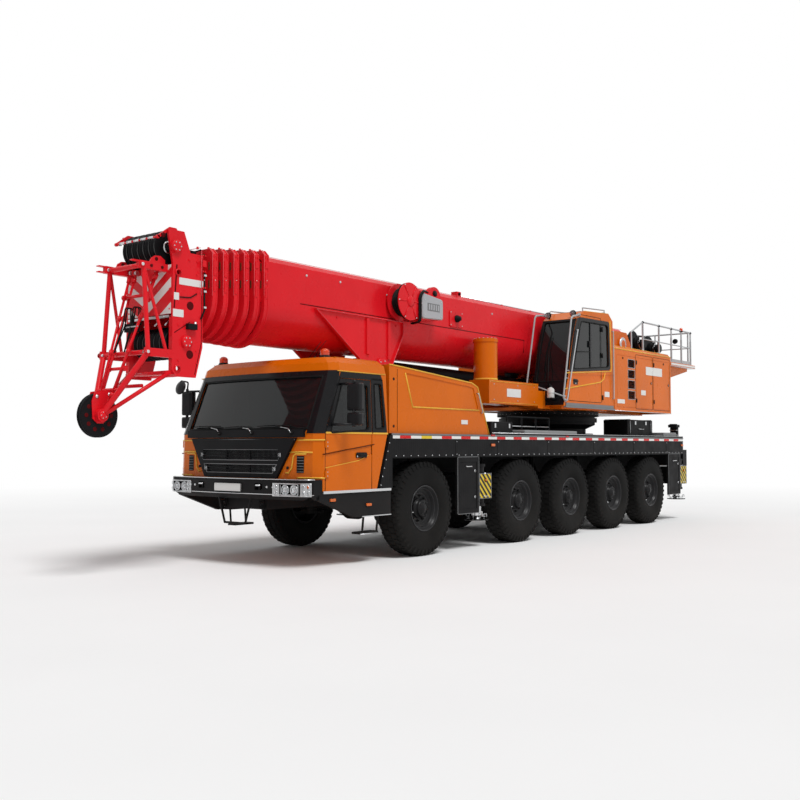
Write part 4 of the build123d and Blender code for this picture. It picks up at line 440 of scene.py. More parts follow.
class Workpiece:
    """Gathers the forms of one piece, then makes it an object that rides on a body.

    X is given as the distance ahead of start. On side -1 every Y is turned over.
    """

    def __init__(self, name, side=1, start=AXLE_1):
        self.name = name
        self.side = side
        self.start = start
        self.mesh = bmesh.new()
        self.finishes = []

    def both(self):
        """Work on the left side, then on the right side mirrored."""
        for self.side in (1, -1):
            yield self.side
        self.side = 1

    def put(self, point):
        """Place of a point in the frame."""
        return Vector((self.start + point[0], self.side * point[1], point[2]))

    def mark(self, faces, name, smooth=False):
        """Give faces a finish and flat or smooth shading."""
        if name not in self.finishes:
            self.finishes.append(name)
        for face in faces:
            face.material_index = self.finishes.index(name)
            face.smooth = smooth

    def loops(self, rings, name, closed=True, caps=True, smooth=True):
        """Skin over rings of points that all have the same count."""
        self.skin([[self.put(point) for point in ring] for ring in rings], name, closed, caps, smooth)

    def skin(self, rings, name, closed=True, caps=True, smooth=True):
        """Skin over rings of points that are in place already."""
        rows = [[self.mesh.verts.new(point) for point in ring] for ring in rings]
        count = len(rows[0])
        faces = []
        for first, second in zip(rows, rows[1:]):
            for k in range(count if closed else count - 1):
                n = (k + 1) % count
                faces.append(self.mesh.faces.new((first[k], first[n], second[n], second[k])))
        self.mark(faces, name, smooth)
        if caps and closed:
            self.mark([self.mesh.faces.new(rows[0][::-1]), self.mesh.faces.new(rows[-1])], name)

    def block(self, low, high, name):
        """Box between two corners."""
        corners = ((low[0], low[1]), (high[0], low[1]), (high[0], high[1]), (low[0], high[1]))
        self.loops([[(x, y, low[2]) for x, y in corners], [(x, y, high[2]) for x, y in corners]], name,
                   smooth=False)

    def plate(self, outline, axis, near, far, name):
        """Flat outline carried from near to far along an axis; the outline's points leave that axis out."""
        order = {"x": lambda d, a, b: (d, a, b), "y": lambda d, a, b: (a, d, b), "z": lambda d, a,
                 b: (a, b, d)}[axis]
        self.loops([[order(depth, a, b) for a, b in outline] for depth in (near, far)], name, smooth=False)

    def tube(self, points, radius, name, sides=10):
        """Tube through the points, mitred at each corner."""
        points = [self.put(p) for p in points]
        rings = []
        across = None
        for k, point in enumerate(points):
            before = (point - points[k - 1]).normalized() if k > 0 else None
            after = (points[k + 1] - point).normalized() if k < len(points) - 1 else None
            run = ((before or after) + (after or before)).normalized()
            if across is None:
                across = run.orthogonal().normalized()
            across = (across - run * across.dot(run)).normalized()
            up = run.cross(across)
            rings.append([point + (across * cos(t) + up * sin(t)) * radius for t in turns(sides)])
        self.skin(rings, name)

    def bent(self, points, radius, bend, name, sides=10):
        """Tube whose corners are rounded with the bend radius."""
        points = [Vector(p) for p in points]
        path = [points[0]]
        for before, corner, after in zip(points, points[1:], points[2:]):
            back = (before - corner).normalized() * bend
            out = (after - corner).normalized() * bend
            for t in (0, 0.25, 0.5, 0.75, 1):
                path.append(corner + back * (1 - t) ** 2 + out * t ** 2)
        path.append(points[-1])
        self.tube(path, radius, name, sides)

    def ring(self, points, radius, name, sides=8):
        """Tube around a closed path that lies nearly flat, mitred at each corner."""
        points = [self.put(p) for p in points]
        count = len(points)
        normal = Vector((0, 0, 0))
        for k in range(count):
            normal += (points[k] - points[0]).cross(points[(k + 1) % count] - points[0])
        normal.normalize()
        rows = []
        for k, point in enumerate(points):
            before = (point - points[k - 1]).normalized()
            after = (points[(k + 1) % count] - point).normalized()
            run = (before + after).normalized()
            out = run.cross(normal).normalized() / max(run.dot(before), 0.6)
            rows.append([self.mesh.verts.new(point + (normal * cos(t) + out * sin(t)) * radius)
                         for t in turns(sides)])
        faces = []
        for first, second in zip(rows, rows[1:] + rows[:1]):
            for j in range(sides):
                n = (j + 1) % sides
                faces.append(self.mesh.faces.new((first[j], first[n], second[n], second[j])))
        self.mark(faces, name, True)

    def sheet(self, outline, out, name, behind=0.002):
        """Thin sheet of any outline, carried outward by the vector out, with its back sunk a little."""
        out = Vector(out)
        back = out.normalized() * -behind
        self.loops([[Vector(p) + back for p in outline], [Vector(p) + out for p in outline]], name,
                   smooth=False)

    def surround(self, outer, inner, out, name, behind=0.002):
        """Thin sheet with a window in it; both outlines have the same count of points."""
        out = Vector(out)
        back = out.normalized() * -behind
        self.loops([[Vector(p) + shift for p in line] for line, shift in ((outer, back), (outer, out),
                                                                          (inner, out), (inner, back))], name,
                   caps=False, smooth=False)

    def turned(self, profile, centre, axis, name, sides=32, caps=False, smooth=True):
        """Lathe work: (radius, distance along the axis) points around the centre."""
        centre = self.put(centre)
        axis = Vector((axis[0], self.side * axis[1], axis[2])).normalized()
        across = axis.orthogonal().normalized()
        up = axis.cross(across)
        rings = [[centre + axis * along + (across * cos(t) + up * sin(t)) * r for t in turns(sides)] for r,
                 along in profile]
        self.skin(rings, name, caps=caps, smooth=smooth)

    def bolt(self, place, axis, size, name="plated_steel"):
        """Hexagon head with a washer."""
        self.turned(((size * 1.15, 0), (size * 1.15, size * 0.15), (size, size * 0.15), (size, size * 0.7),
                     (size * 0.85, size * 0.85), (TIP, size * 0.85)), place, axis, name, sides=6, smooth=False)

    def done(self, body, slot, round_edges=0.0, replaces=()):
        """Object of all the forms, riding on the body."""
        bmesh.ops.recalc_face_normals(self.mesh, faces=self.mesh.faces)
        data = bpy.data.meshes.new(self.name)
        self.mesh.to_mesh(data)
        self.mesh.free()
        for name in self.finishes:
            data.materials.append(finish(name))
        piece = bpy.data.objects.new(self.name, data)
        bpy.context.scene.collection.objects.link(piece)
        if round_edges > 0:
            edge = piece.modifiers.new("rounded_edges", "BEVEL")
            edge.width = round_edges
            edge.segments = 2
            edge.limit_method = "ANGLE"
            edge.angle_limit = radians(40)
        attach(piece, body)
        if replaces:
            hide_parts(*replaces)
        return piece


# Shape of the driver's cab, for what lies on its skin: height, front corner, half width, bulge
CAB_LEVELS = (
    (1.000, 2.270, 1.375, 0.080),
    (1.750, 2.250, 1.375, 0.090),
    (2.560, 1.920, 1.335, 0.100),
    (2.680, 1.900, 1.300, 0.095),
    (2.760, 1.840, 1.180, 0.080),
)


def cab_level(z):
    """Front corner, half width and bulge of the cab at a height."""
    z = min(max(z, CAB_LEVELS[0][0]), CAB_LEVELS[-1][0])
    for first, second in zip(CAB_LEVELS, CAB_LEVELS[1:]):
        if z <= second[0]:
            share = (z - first[0]) / (second[0] - first[0])
            return [a + (b - a) * share for a, b in zip(first[1:], second[1:])]


def nose_x(y, z, proud=0.0):
    """X of the cab's front at a place across and up."""
    corner, half_w, bulge = cab_level(z)
    reach = half_w - 0.12
    return corner + bulge * (1 - min(abs(y) / reach, 1) ** 2) + proud


def flank_y(z, proud=0.0):
    """Y of the cab's side at a height."""
    return cab_level(z)[1] + proud


# Driver's cab: lamps, front, doors and inside
def corner_x(y, z, proud=0.0):
    """X of the cab's skin at a place across and up, cut corner too."""
    front, half_w, _ = cab_level(z)
    over = abs(y) - (half_w - 0.12)
    if over <= 0:
        return nose_x(y, z, proud)
    return front - 0.08 * min(over / 0.12, 1) + proud


def on_flank(points, proud=0.0):
    """Places on the cab's side from (distance ahead, height) points."""
    return [Vector((p[0], flank_y(p[1], proud), p[1])) for p in points]


def on_front(points, proud=0.0):
    """Places on the cab's front from (Y, height) points."""
    return [Vector((corner_x(y, z, proud), y, z)) for y, z in points]


DOOR_WINDOW = ((1.29, 1.80), (2.06, 1.75), (1.81, 2.40), (1.29, 2.40))
MIRROR_ARMS = ((2.055, 1.86), (1.839, 2.39))
REAR_WINDOW = ((0.955, 1.83), (1.15, 1.815), (1.15, 2.43), (1.0, 2.43))
PRESSING = ((1.18, 1.605), (2.20, 1.475), (2.20, 1.305), (1.51, 1.39), (1.18, 1.49))


def headlamp(work):
    """Housing with two reflectors, their bulbs and lenses, and a small turn lamp."""
    x = 2.412
    y_low, y_high = 0.905, 1.215
    work.block((x, y_low, 0.953), (x + 0.030, y_high, 1.097), "moulded_trim")
    edge = rounded([(x + 0.030, y_low, 0.953), (x + 0.030, y_high, 0.953), (x + 0.030, y_high, 1.097),
                    (x + 0.030, y_low, 1.097)], 0.02)
    work.loops([edge, moved(edge, x=0.042), moved(edge, x=0.044)], "moulded_trim", caps=False)
    work.ring(moved(edge, x=0.042), 0.004, "plated_steel", 6)
    for y in (0.982, 1.138):
        place = (x + 0.030, y, 1.025)
        work.turned(((0.060, 0.038), (0.055, 0.022), (0.040, 0.008), (0.020, 0.001), (TIP, 0.0)), place, FORE,
                    "mirror_glass", sides=28)
        work.turned(((0.064, 0.030), (0.064, 0.042), (0.058, 0.042), (0.058, 0.030)), place, FORE,
                    "plated_steel", sides=28)
        work.turned(((0.012, 0.002), (0.012, 0.024), (TIP, 0.030)), place, FORE, "white_paint", sides=12)
        work.turned(((0.056, 0.040), (0.040, 0.045), (0.020, 0.048), (TIP, 0.049)), place, FORE, "clear_lens",
                    sides=28)
    def skin(y, proud):
        return 2.44 + 0.12 * (1 - min(y / 1.255, 1) ** 2) - max(y - 1.255, 0) * 0.66 + proud
    for first, last, lenses in ((0.805, 0.897, (0.851,)), (1.223, 1.345, (1.262, 1.315))):
        rows = []
        for y in spaced(first, last, 4):
            rows.append([(skin(y, d), y, z) for d, z in ((-0.010, 0.950), (0.006, 0.950), (0.006, 1.100),
                                                         (-0.010, 1.100))])
        work.loops(rows, "lamp_grey", smooth=False)
        for y in lenses:
            for z in (0.988, 1.062):
                work.turned(((0.026, 0.004), (0.026, 0.012), (0.022, 0.012), (0.020, 0.006), (TIP, 0.004)),
                            (skin(y, 0.0), y, z), FORE, "mirror_glass", sides=20)
                work.turned(((0.021, 0.009), (0.012, 0.014), (TIP, 0.015)), (skin(y, 0.0), y, z), FORE,
                            "amber_lens" if y > 1.30 and z > 1.0 else "clear_lens", sides=20)
    outline = [(skin(y, 0.005), y, z) for y, z in walk(((0.800, 0.945), (1.350, 0.945), (1.350, 1.105),
                                                        (0.800, 1.105)), 10)]
    work.ring(outline, 0.005, "edge_silver", 6)


class CRANE_OT_lamps(bpy.types.Operator):
    """Fit the headlamps and the roof beacons"""

    bl_idname = "crane.lamps"
    bl_label = "Lamps"

    def execute(self, context):
        for name, side in SIDES:
            work = Workpiece(f"headlamp_{name}", side)
            headlamp(work)
            work.done("carrier", "lamp")
        work = Workpiece("roof_beacons")
        for side in work.both():
            x, y = 1.76, 1.0
            work.turned(((0.078, 0.0), (0.078, 0.012), (0.070, 0.020), (0.064, 0.034)), (x, y, 2.758), UP,
                        "moulded_trim", sides=28, caps=True)
            work.turned(((0.060, 0.034), (0.062, 0.050), (0.060, 0.085), (0.050, 0.108), (0.032, 0.122),
                         (TIP, 0.128)), (x, y, 2.758), UP, "beacon_lens", sides=28)
            for k in range(5):
                r = 0.0635
                work.turned(((r, 0.044 + 0.012 * k), (r, 0.048 + 0.012 * k)), (x, y, 2.758), UP, "beacon_lens",
                            sides=28)
            work.turned(((0.024, 0.0), (0.024, 0.06), (TIP, 0.07)), (x, y, 2.795), UP, "mirror_glass", sides=12)
            for t in turns(4, 0.7):
                work.bolt((x + 0.069 * cos(t), y + side * 0.069 * sin(t), 2.770), UP, 0.006)
        work.tube([(1.70, 0.62, 2.755), (1.62, 0.80, 3.00)], 0.004, "seal_rubber", 6)
        work.turned(((0.020, 0.0), (0.020, 0.012), (0.010, 0.030), (TIP, 0.031)), (1.70, 0.62, 2.755),
                    (-0.08, 0.18, 0.245), "moulded_trim", sides=14)
        work.done("carrier", "lamp", replaces=("lamps",))
        return {"FINISHED"}


class CRANE_OT_cab_front(bpy.types.Operator):
    """Trim the front of the driver's cab"""

    bl_idname = "crane.cab_front"
    bl_label = "Cab front"

    def execute(self, context):
        self.windscreen()
        self.wipers()
        self.grille()
        self.bumper()
        return {"FINISHED"}

    def windscreen(self):
        """Black pillars, seal and sun strip round the windscreen."""
        work = Workpiece("windscreen_surround")
        for _ in work.both():
            rows = []
            for z in spaced(1.745, 2.575, 8):
                door = 2.15 if z < 1.75 else 2.16 - (z - 1.74) * 0.315 / 0.73
                door = max(door, 1.845) + 0.008
                half_w = cab_level(z)[1]
                line = [(corner_x(y, z, 0.007), y) for y in (1.150, half_w - 0.12)]
                line += [(corner_x(half_w, z, 0.0) + 0.003, half_w + 0.005), (door, half_w + 0.006)]
                rows.append([(x, y, z) for x, y in line])
            work.loops(rows, "pillar_black", closed=False, caps=False, smooth=False)
        for z in ((1.790, 1.822), (2.488, 2.575)):
            rows = []
            for y in spaced(-1.155, 1.155, 24):
                rows.append([(corner_x(y, z[0], 0.0), y, z[0]), (corner_x(y, z[0], 0.008), y, z[0]),
                             (corner_x(y, z[1], 0.008), y, z[1]), (corner_x(y, z[1], 0.0), y, z[1])])
            work.loops(rows, "pillar_black", smooth=False)
        outline = walk(((-1.15, 1.81), (1.15, 1.81), (1.15, 2.50), (-1.15, 2.50)), 10)
        work.ring(on_front(outline, 0.004), sizes().seal, "seal_rubber", 8)
        work.done("carrier", "trim")

    def wipers(self):
        """Three wipers on the cowl, with their arms, blades and washer jets."""
        work = Workpiece("windscreen_wipers")
        for pivot, tip, low in ((-0.39, -1.06, 1.850), (0.25, -0.34, 1.835), (0.94, 0.30, 1.845)):
            base = Vector((corner_x(pivot, 1.755, 0.045), pivot, 1.755))
            work.turned(((0.030, -0.012), (0.030, 0.010), (0.024, 0.020), (TIP, 0.022)), base, (1, 0, 0.2),
                        "seal_rubber", sides=16)
            elbow = Vector((corner_x(pivot - 0.06, 1.80, 0.060), pivot - 0.06, 1.80))
            end_y = (pivot + tip) / 2
            end = Vector((corner_x(end_y, low + 0.01, 0.040), end_y, low + 0.01))
            work.tube([base + Vector((0.018, 0, 0)), elbow, end], 0.0085, "seal_rubber", 8)
            work.tube([base + Vector((0.018, 0.012, 0)), elbow + Vector((0.004, 0.01, 0.01)),
                       (elbow + end) / 2 + Vector((0.01, 0, 0))], 0.005, "plated_steel", 6)
            blade = []
            for k in range(9):
                y = tip + (pivot - 0.05 - tip) * k / 8
                blade.append(Vector((corner_x(y, low, 0.018), y, low + 0.006 * sin(pi * k / 8))))
            work.tube(blade, 0.0065, "seal_rubber", 6)
            work.loops([[p + Vector((-0.013, 0, -0.002)), p + Vector((0.0, 0, -0.004)),
                         p + Vector((0.0, 0, 0.004)), p + Vector((-0.013, 0, 0.002))] for p in blade],
                       "seal_rubber", smooth=False)
            for k in (2, 4, 6):
                work.tube([blade[k] + Vector((0.002, -0.035, 0)), blade[k] + Vector((0.016, 0, 0.003)),
                           blade[k] + Vector((0.002, 0.035, 0))], 0.005, "seal_rubber", 6)
            jet = Vector((corner_x(pivot + 0.12, 1.785, 0.045), pivot + 0.12, 1.785))
            work.turned(((0.010, -0.01), (0.010, 0.006), (TIP, 0.009)), jet, (1, 0, 0.6), "moulded_trim",
                        sides=10)
        work.done("carrier", "trim")

    def grille(self):
        """Wire mesh over painted shade at the back of the slots, lit frames around them, fixings and the small
        square lamps.
        """
        work = Workpiece("grille_trim")
        for low, high, half in ((1.225, 1.34, 0.64), (1.395, 1.535, 0.73)):
            grow = 0.31 / 0.52 * (high - low)
            outline = walk(((-half, low), (half, low), (half + grow, high), (-half - grow, high)), 12)
            work.ring(on_front(outline, 0.043), 0.0055, "edge_grey", 6)
            # Black sheet of painted shade at the back of the slots
            backing = [on_front([(-half - grow + (half + grow) * k / 8, z) for k in range(17)], 0.003)
                       for z in (low - 0.01, high + 0.01)]
            work.loops(backing, "louvre_black_and_painted_shade", closed=False, caps=False)
            y = -half - 0.02
            while y < half + 0.03:
                work.tube(on_front([(y, low + 0.004), (y, high - 0.004)], 0.022), 0.0016, "edge_grey", 4)
                y += 0.022
            for _ in work.both():
                y = half + 0.025
                z = (low + high) / 2
                work.turned(((0.034, 0.0), (0.034, 0.024), (0.029, 0.026), (0.029, 0.018), (TIP, 0.020)),
                            (corner_x(y, z, 0.025), y, z), FORE, "lamp_grey", sides=4, smooth=False)
                work.turned(((0.027, 0.018), (0.018, 0.024), (TIP, 0.027)), (corner_x(y, z, 0.025), y, z), FORE,
                            "clear_lens", sides=16)
        band = []
        for y in spaced(-1.0, 1.0, 32):
            band.append((y, 1.664 + 0.006 * (1 - y * y)))
        work.tube(on_front(band, 0.044), 0.006, "edge_grey", 6)
        for z, proud in ((1.60, 0.042), (1.195, 0.042)):
            for k in range(7):
                y = (-0.84 + 0.28 * k) * (1 if z > 1.3 else 0.78)
                work.bolt((corner_x(y, z, proud), y, z), FORE, 0.0085, "moulded_trim")
        for _ in work.both():
            for z in (1.30, 1.46):
                work.turned(((0.020, 0), (0.020, 0.010), (0.012, 0.014), (TIP, 0.014)),
                            (corner_x(0.86, z, 0.002), 0.86, z), FORE, "moulded_trim", sides=14)
        work.done("carrier", "chassis")
        plate = Workpiece("front_number_plate")
        rows = []
        for d in (0.0, 0.006):
            rows.append(rounded([(2.565 + d, -0.26, 0.985), (2.565 + d, 0.26, 0.985), (2.565 + d, 0.26, 1.095),
                                 (2.565 + d, -0.26, 1.095)], 0.012))
        plate.loops(rows, "white_paint", smooth=False)
        plate.ring(moved(rows[1], x=0.002), 0.004, "moulded_trim", 6)
        plate.done("carrier", "trim")

    def bumper(self):
        """Bright step on the bumper's top edge, its studs, tow pins, painted highlights along the corner lips
        and the corner vent.
        """
        work = Workpiece("bumper_trim")
        for level, proud, radius in ((1.152, -0.020, 0.009), (0.962, -0.004, 0.006)):
            line = []
            for y in spaced(-1.25, 1.25, 32):
                line.append((2.44 + proud + 0.12 * (1 - (y / 1.255) ** 2), y, level))
            work.tube([(2.36 + proud, -1.372, level)] + line + [(2.36 + proud, 1.372, level)], radius,
                      "plated_steel", 6)
        for _ in work.both():
            for y in (0.70, 0.80):
                x = 2.44 + 0.12 * (1 - (y / 1.255) ** 2)
                work.bolt((x, y, 1.055), FORE, 0.014)
            x = 2.44 + 0.12 * (1 - (0.555 / 1.255) ** 2)
            work.turned(((0.013, -0.05), (0.013, 0.05), (0.020, 0.05), (0.020, 0.062), (TIP, 0.064)),
                        (x - 0.045, 0.555, 1.057), UP, "plated_steel", sides=14)
            work.bent([(x - 0.01, 0.515, 1.075), (x + 0.02, 0.53, 1.075), (x + 0.02, 0.58, 1.075),
                       (x - 0.01, 0.595, 1.075)], 0.012, 0.006, "plated_steel", 8)
            # Painted highlights along the lit corner edges of the cab
            for z in (1.175, 1.66):
                line = []
                for y in spaced(1.02, 1.255, 6):
                    line.append((corner_x(y, z, 0.006), y, z))
                half_w = cab_level(z)[1]
                line += [(corner_x(half_w, z, 0.004), half_w + 0.003, z), (2.165, half_w + 0.004, z)]
                work.tube(line, 0.010, "body_painted_highlight", 8)
            # Black sheet of painted shade at the back of the corner vent, under its slats
            vent = [on_front([(1.008 + 0.116 * k / 6, z) for k in range(7)], 0.004) for z in (1.236, 1.454)]
            work.loops(vent, "louvre_black_and_painted_shade", closed=False, caps=False)
            for k in range(6):
                z = 1.250 + 0.036 * k
                work.tube(on_front([(1.012, z), (1.065, z), (1.120, z)], 0.006), 0.004, "edge_grey", 6)
            # Painted highlights along the creases of the front corner
            for points in (((0.90, 1.500), (1.08, 1.506), (1.255, 1.500)), ((0.83, 1.235), (0.88, 1.232),
                                                                            (0.93, 1.30), (0.955, 1.455),
                                                                            (0.99, 1.480), (1.16, 1.480))):
                work.tube(on_front([(y, z) for y, z in points], 0.006), 0.010, "body_painted_highlight", 8)
        work.done("carrier", "chassis")


class CRANE_OT_cab_sides(bpy.types.Operator):
    """Trim the doors, pillars, mirrors and sills"""

    bl_idname = "crane.cab_sides"
    bl_label = "Cab sides"

    def execute(self, context):
        for name, side in SIDES:
            self.door(name, side)
            self.pillar(name, side)
        self.roof()
        return {"FINISHED"}

    def door(self, name, side):
        """Black window frame, seal, handle, hinges and mirror glass of a door, with a painted highlight under
        the window and a pressing drawn as painted shade above a painted highlight.
        """
        work = Workpiece(f"door_trim_{name}", side)
        window = on_flank(rounded(DOOR_WINDOW, 0.05), 0.001)
        outer = on_flank(rounded(((1.228, 1.765), (2.146, 1.765), (1.842, 2.462), (1.228, 2.462)), 0.02), 0.001)
        work.surround(outer, window, (0, 0.005, 0), "pillar_black")
        work.ring(moved(window, y=0.003), sizes().seal, "seal_rubber", 8)
        work.ring(on_flank(rounded(((1.226, 0.996), (2.154, 0.996), (2.154, 1.742), (1.841, 2.464),
                                    (1.226, 2.464)), 0.02), -0.004), 0.005, "seal_rubber", 6)
        # Painted highlight along the sill of the window
        work.sheet(on_flank(((1.23, 1.742), (2.146, 1.742), (2.142, 1.764), (1.23, 1.764))), (0, 0.008, 0),
                   "body_painted_highlight")
        # Pressing: painted shade along its upper crease, painted highlight along its lower edge
        work.tube(on_flank(PRESSING[:2], 0.001), 0.007, "body_shadow", 6)
        work.tube(on_flank(((2.155, 1.303), (1.51, 1.388), (1.30, 1.455)), -0.003), 0.006, "body_painted_highlight", 6)
        bowl = on_flank(rounded(((1.335, 1.432), (1.545, 1.432), (1.545, 1.493), (1.335, 1.493)), 0.02), 0.002)
        work.ring(bowl, 0.005, "moulded_trim", 6)
        work.sheet(bowl, (0, 0.001, 0), "pillar_black", 0.006)
        grip = [(1.350, 1.463), (1.365, 1.463), (1.500, 1.463), (1.515, 1.463)]
        work.bent([Vector((d, flank_y(z, proud), z)) for (d, z), proud in zip(grip, (0.0, 0.032, 0.032, 0.0))],
                  0.010, 0.012, "moulded_trim", 10)
        work.turned(((0.012, -0.002), (0.012, 0.006), (TIP, 0.007)), (1.53, flank_y(1.445, 0.002), 1.445), OUT,
                    "plated_steel", sides=14)
        for z in (1.18, 1.56):
            work.block((2.105, flank_y(z, -0.002), z), (2.148, flank_y(z, 0.016), z + 0.09), "moulded_trim")
            for d in (0.02, 0.07):
                work.bolt((2.126, flank_y(z, 0.016), z + d), OUT, 0.007)
        self.mirrors(work)
        work.done(f"door_{name}", "trim")

    def mirrors(self, work):
        """Reflecting faces, housings' rims and folded joints of the mirrors."""
        glass, back = 1.829, 1.8295
        stem_x, stem_y = 1.90, 1.64
        for low, high in ((2.052, 2.378), (1.862, 1.998)):
            face = rounded([(glass, 1.545, low), (glass, 1.735, low), (glass, 1.735, high),
                            (glass, 1.545, high)], 0.03)
            work.loops([face, moved(face, x=-0.004)], "mirror_glass", smooth=False)
            work.ring(moved(face, x=0.001), 0.005, "moulded_trim", 6)
            front = moved(face, x=0.083)
            inner = [(p + Vector((0.095, 0, 0))).lerp(Vector((glass + 0.095, stem_y, (low + high) / 2)), 0.16)
                     for p in face]
            work.loops([front, inner], "moulded_trim", caps=False)
            work.mark([work.mesh.faces.new([work.mesh.verts.new(work.put(p)) for p in inner])], "moulded_trim")
            shell = rounded([(back, 1.533, low - 0.014), (back, 1.747, low - 0.014),
                             (back, 1.747, high + 0.014), (back, 1.533, high + 0.014)], 0.032, 6)
            centre = Vector((back, stem_y, (low + high) / 2))
            rear = [p.lerp(centre, 0.10) for p in shell]
            bulge = moved(shell, x=0.082)
            brow = [p.lerp(centre, 0.22) + Vector((0.084, 0, 0)) for p in shell]
            work.loops([rear, shell, bulge, brow], "mirror_shell", caps=False)
        for z in (2.41, 2.02, 1.85):
            work.turned(((0.022, -0.02), (0.022, 0.02), (TIP, 0.021)), (stem_x, stem_y, z), UP, "mirror_shell",
                        sides=14, caps=True)
        if work.side < 0:
            place = Vector((2.06, 1.60, 2.44))
            work.turned(((TIP, 0.045), (0.060, 0.036), (0.098, 0.010), (0.104, 0.0), (0.100, -0.012),
                         (TIP, -0.012)), place, (1, 0, 0.25), "mirror_shell", sides=32)
            work.turned(((0.094, -0.0125), (0.060, -0.020), (TIP, -0.026)), place, (1, 0, 0.25), "mirror_glass",
                        sides=32)
            work.bent([(stem_x, stem_y, 2.40), (1.90, 1.62, 2.53), (2.06, 1.60, 2.54), (2.06, 1.60, 2.44)],
                      0.012, 0.03, "mirror_shell", 10)
        for foot, z in MIRROR_ARMS:
            work.tube([(foot, 1.322, z), (stem_x, stem_y, z)], 0.0165, "mirror_shell", 12)
        work.tube([(stem_x, stem_y, 1.838), (stem_x, stem_y, 2.423)], 0.0165, "mirror_shell", 12)

    def pillar(self, name, side):
        """Skin of the rear pillar, sill strip, marker lamp, lit waist and roof edges."""
        work = Workpiece(f"cab_side_trim_{name}", side)
        gap = on_flank(((1.2125, 1.755), (1.2125, 2.4775), (1.848, 2.4775), (2.1675, 1.745)), -0.003)
        work.tube(gap, 0.0085, "seal_rubber", 6)
        window = on_flank(rounded(REAR_WINDOW, 0.03), 0.001)
        outer = on_flank(rounded(((0.905, 1.765), (1.212, 1.765), (1.212, 2.50), (0.965, 2.50)), 0.02), 0.001)
        work.surround(outer, window, (0, 0.005, 0), "pillar_black")
        work.ring(moved(window, y=0.003), sizes().seal, "seal_rubber", 8)
        work.sheet(on_flank(((0.965, 2.476), (1.85, 2.476), (1.82, 2.556), (1.0, 2.556))), (0, 0.006, 0),
                   "pillar_black")
        # Painted highlights on the waist and along the roof edge
        work.sheet(on_flank(((0.89, 1.742), (1.212, 1.742), (1.212, 1.764), (0.89, 1.764))), (0, 0.008, 0),
                   "body_painted_highlight")
        work.tube(on_flank(((0.90, 2.566), (1.35, 2.566), (1.88, 2.566)), 0.004), 0.007, "body_painted_highlight", 6)
        y_low, y_high = 1.372, 1.392
        work.block((0.83, y_low, 0.972), (2.20, y_high, 1.006), "edge_silver")
        work.block((0.83, y_low, 0.640), (1.44, y_high, 0.652), "edge_silver")
        for d, z in ((2.02, 0.888), (1.30, 0.80)):
            work.loops([rounded([(d - 0.05, y, z - 0.018), (d + 0.05, y, z - 0.018), (d + 0.05, y, z + 0.018),
                                 (d - 0.05, y, z + 0.018)], 0.01) for y in (1.372, 1.394)], "amber_lens",
                       smooth=False)
            work.ring(rounded(upright((d - 0.055, d + 0.055), 1.377, (z - 0.023, z + 0.023)), 0.012), 0.004,
                      "moulded_trim", 6)
        for z, reach in ((0.64, 1.45), (0.40, 1.38)):
            for k in range(5):
                d = 1.04 + (reach - 1.08) * k / 4
                work.turned(((0.012, 0.0), (0.008, 0.006), (TIP, 0.006)), (d, 1.225, z + 0.001), UP,
                            "edge_silver", sides=8)
            work.tube([(1.0, 1.303, z + 0.002), (reach, 1.303, z + 0.002)], 0.007, "edge_silver", 6)
        work.done("carrier", "trim")

    def roof(self):
        """Whip aerial, roof joint and drip rails."""
        work = Workpiece("cab_roof_trim")
        base = Vector((1.74, 0.80, 2.757))
        work.turned(((0.026, 0), (0.024, 0.012), (0.010, 0.035), (TIP, 0.036)), base, UP, "seal_rubber",
                    sides=16)
        work.tube([base + Vector((0, 0, 0.02)), base + Vector((-0.02, 0.05, 0.12)),
                   base + Vector((-0.05, 0.16, 0.24))], 0.003, "seal_rubber", 6)
        for _ in work.both():
            work.tube([(0.90, 1.185, 2.758), (1.78, 1.185, 2.758)], 0.006, "body_paint", 6)
        for x in (1.10, 1.30, 1.50, 1.70):
            work.block((x - 0.012, -1.10, 2.756), (x + 0.012, 1.10, 2.764), "body_paint")
        work.block((1.20, -0.35, 2.762), (1.62, 0.35, 2.775), "moulded_trim")
        work.ring(rounded([(1.20, -0.35, 2.775), (1.62, -0.35, 2.775), (1.62, 0.35, 2.775),
                           (1.20, 0.35, 2.775)], 0.03), 0.010, "seal_rubber", 8)
        work.done("carrier", "trim")


class CRANE_OT_cab_inside(bpy.types.Operator):
    """Fit the wheel, screens and a row of small grey blocks seen through the cab's glass"""

    bl_idname = "crane.cab_inside"
    bl_label = "Cab inside"

    def execute(self, context):
        work = Workpiece("driver_controls")
        hub = Vector((1.80, 0.62, 1.86))
        lean = Vector((-0.55, 0, 0.84)).normalized()
        work.turned(((0.216, -0.014), (0.230, 0.0), (0.216, 0.014), (0.202, 0.0), (0.216, -0.014)), hub, lean,
                    "seal_rubber", sides=40)
        work.turned(((0.055, -0.02), (0.055, 0.012), (0.040, 0.022), (TIP, 0.024)), hub, lean, "moulded_trim",
                    sides=20)
        across = Vector(OUT)
        up = lean.cross(across)
        for turn in (0.3, pi - 0.3, 1.5 * pi):
            work.tube([hub + (across * cos(turn) + up * sin(turn)) * 0.04,
                       hub + (across * cos(turn) + up * sin(turn)) * 0.21], 0.011, "moulded_trim", 8)
        work.tube([hub, hub - lean * 0.35], 0.032, "moulded_trim", 12)
        for low, high in ((0.44, 0.80), (0.10, 0.34)):
            x = 1.98
            work.block((x, low, 1.76), (x + 0.02, high, 1.93), "moulded_trim")
            work.block((x - 0.004, low + 0.02, 1.78), (x, high - 0.02, 1.91), "screen_glass")
        for k in range(6):
            work.block((1.975, -0.30 + 0.07 * k, 1.80), (1.985, -0.26 + 0.07 * k, 1.83), "edge_grey")
        work.done("carrier", "trim")
        return {"FINISHED"}


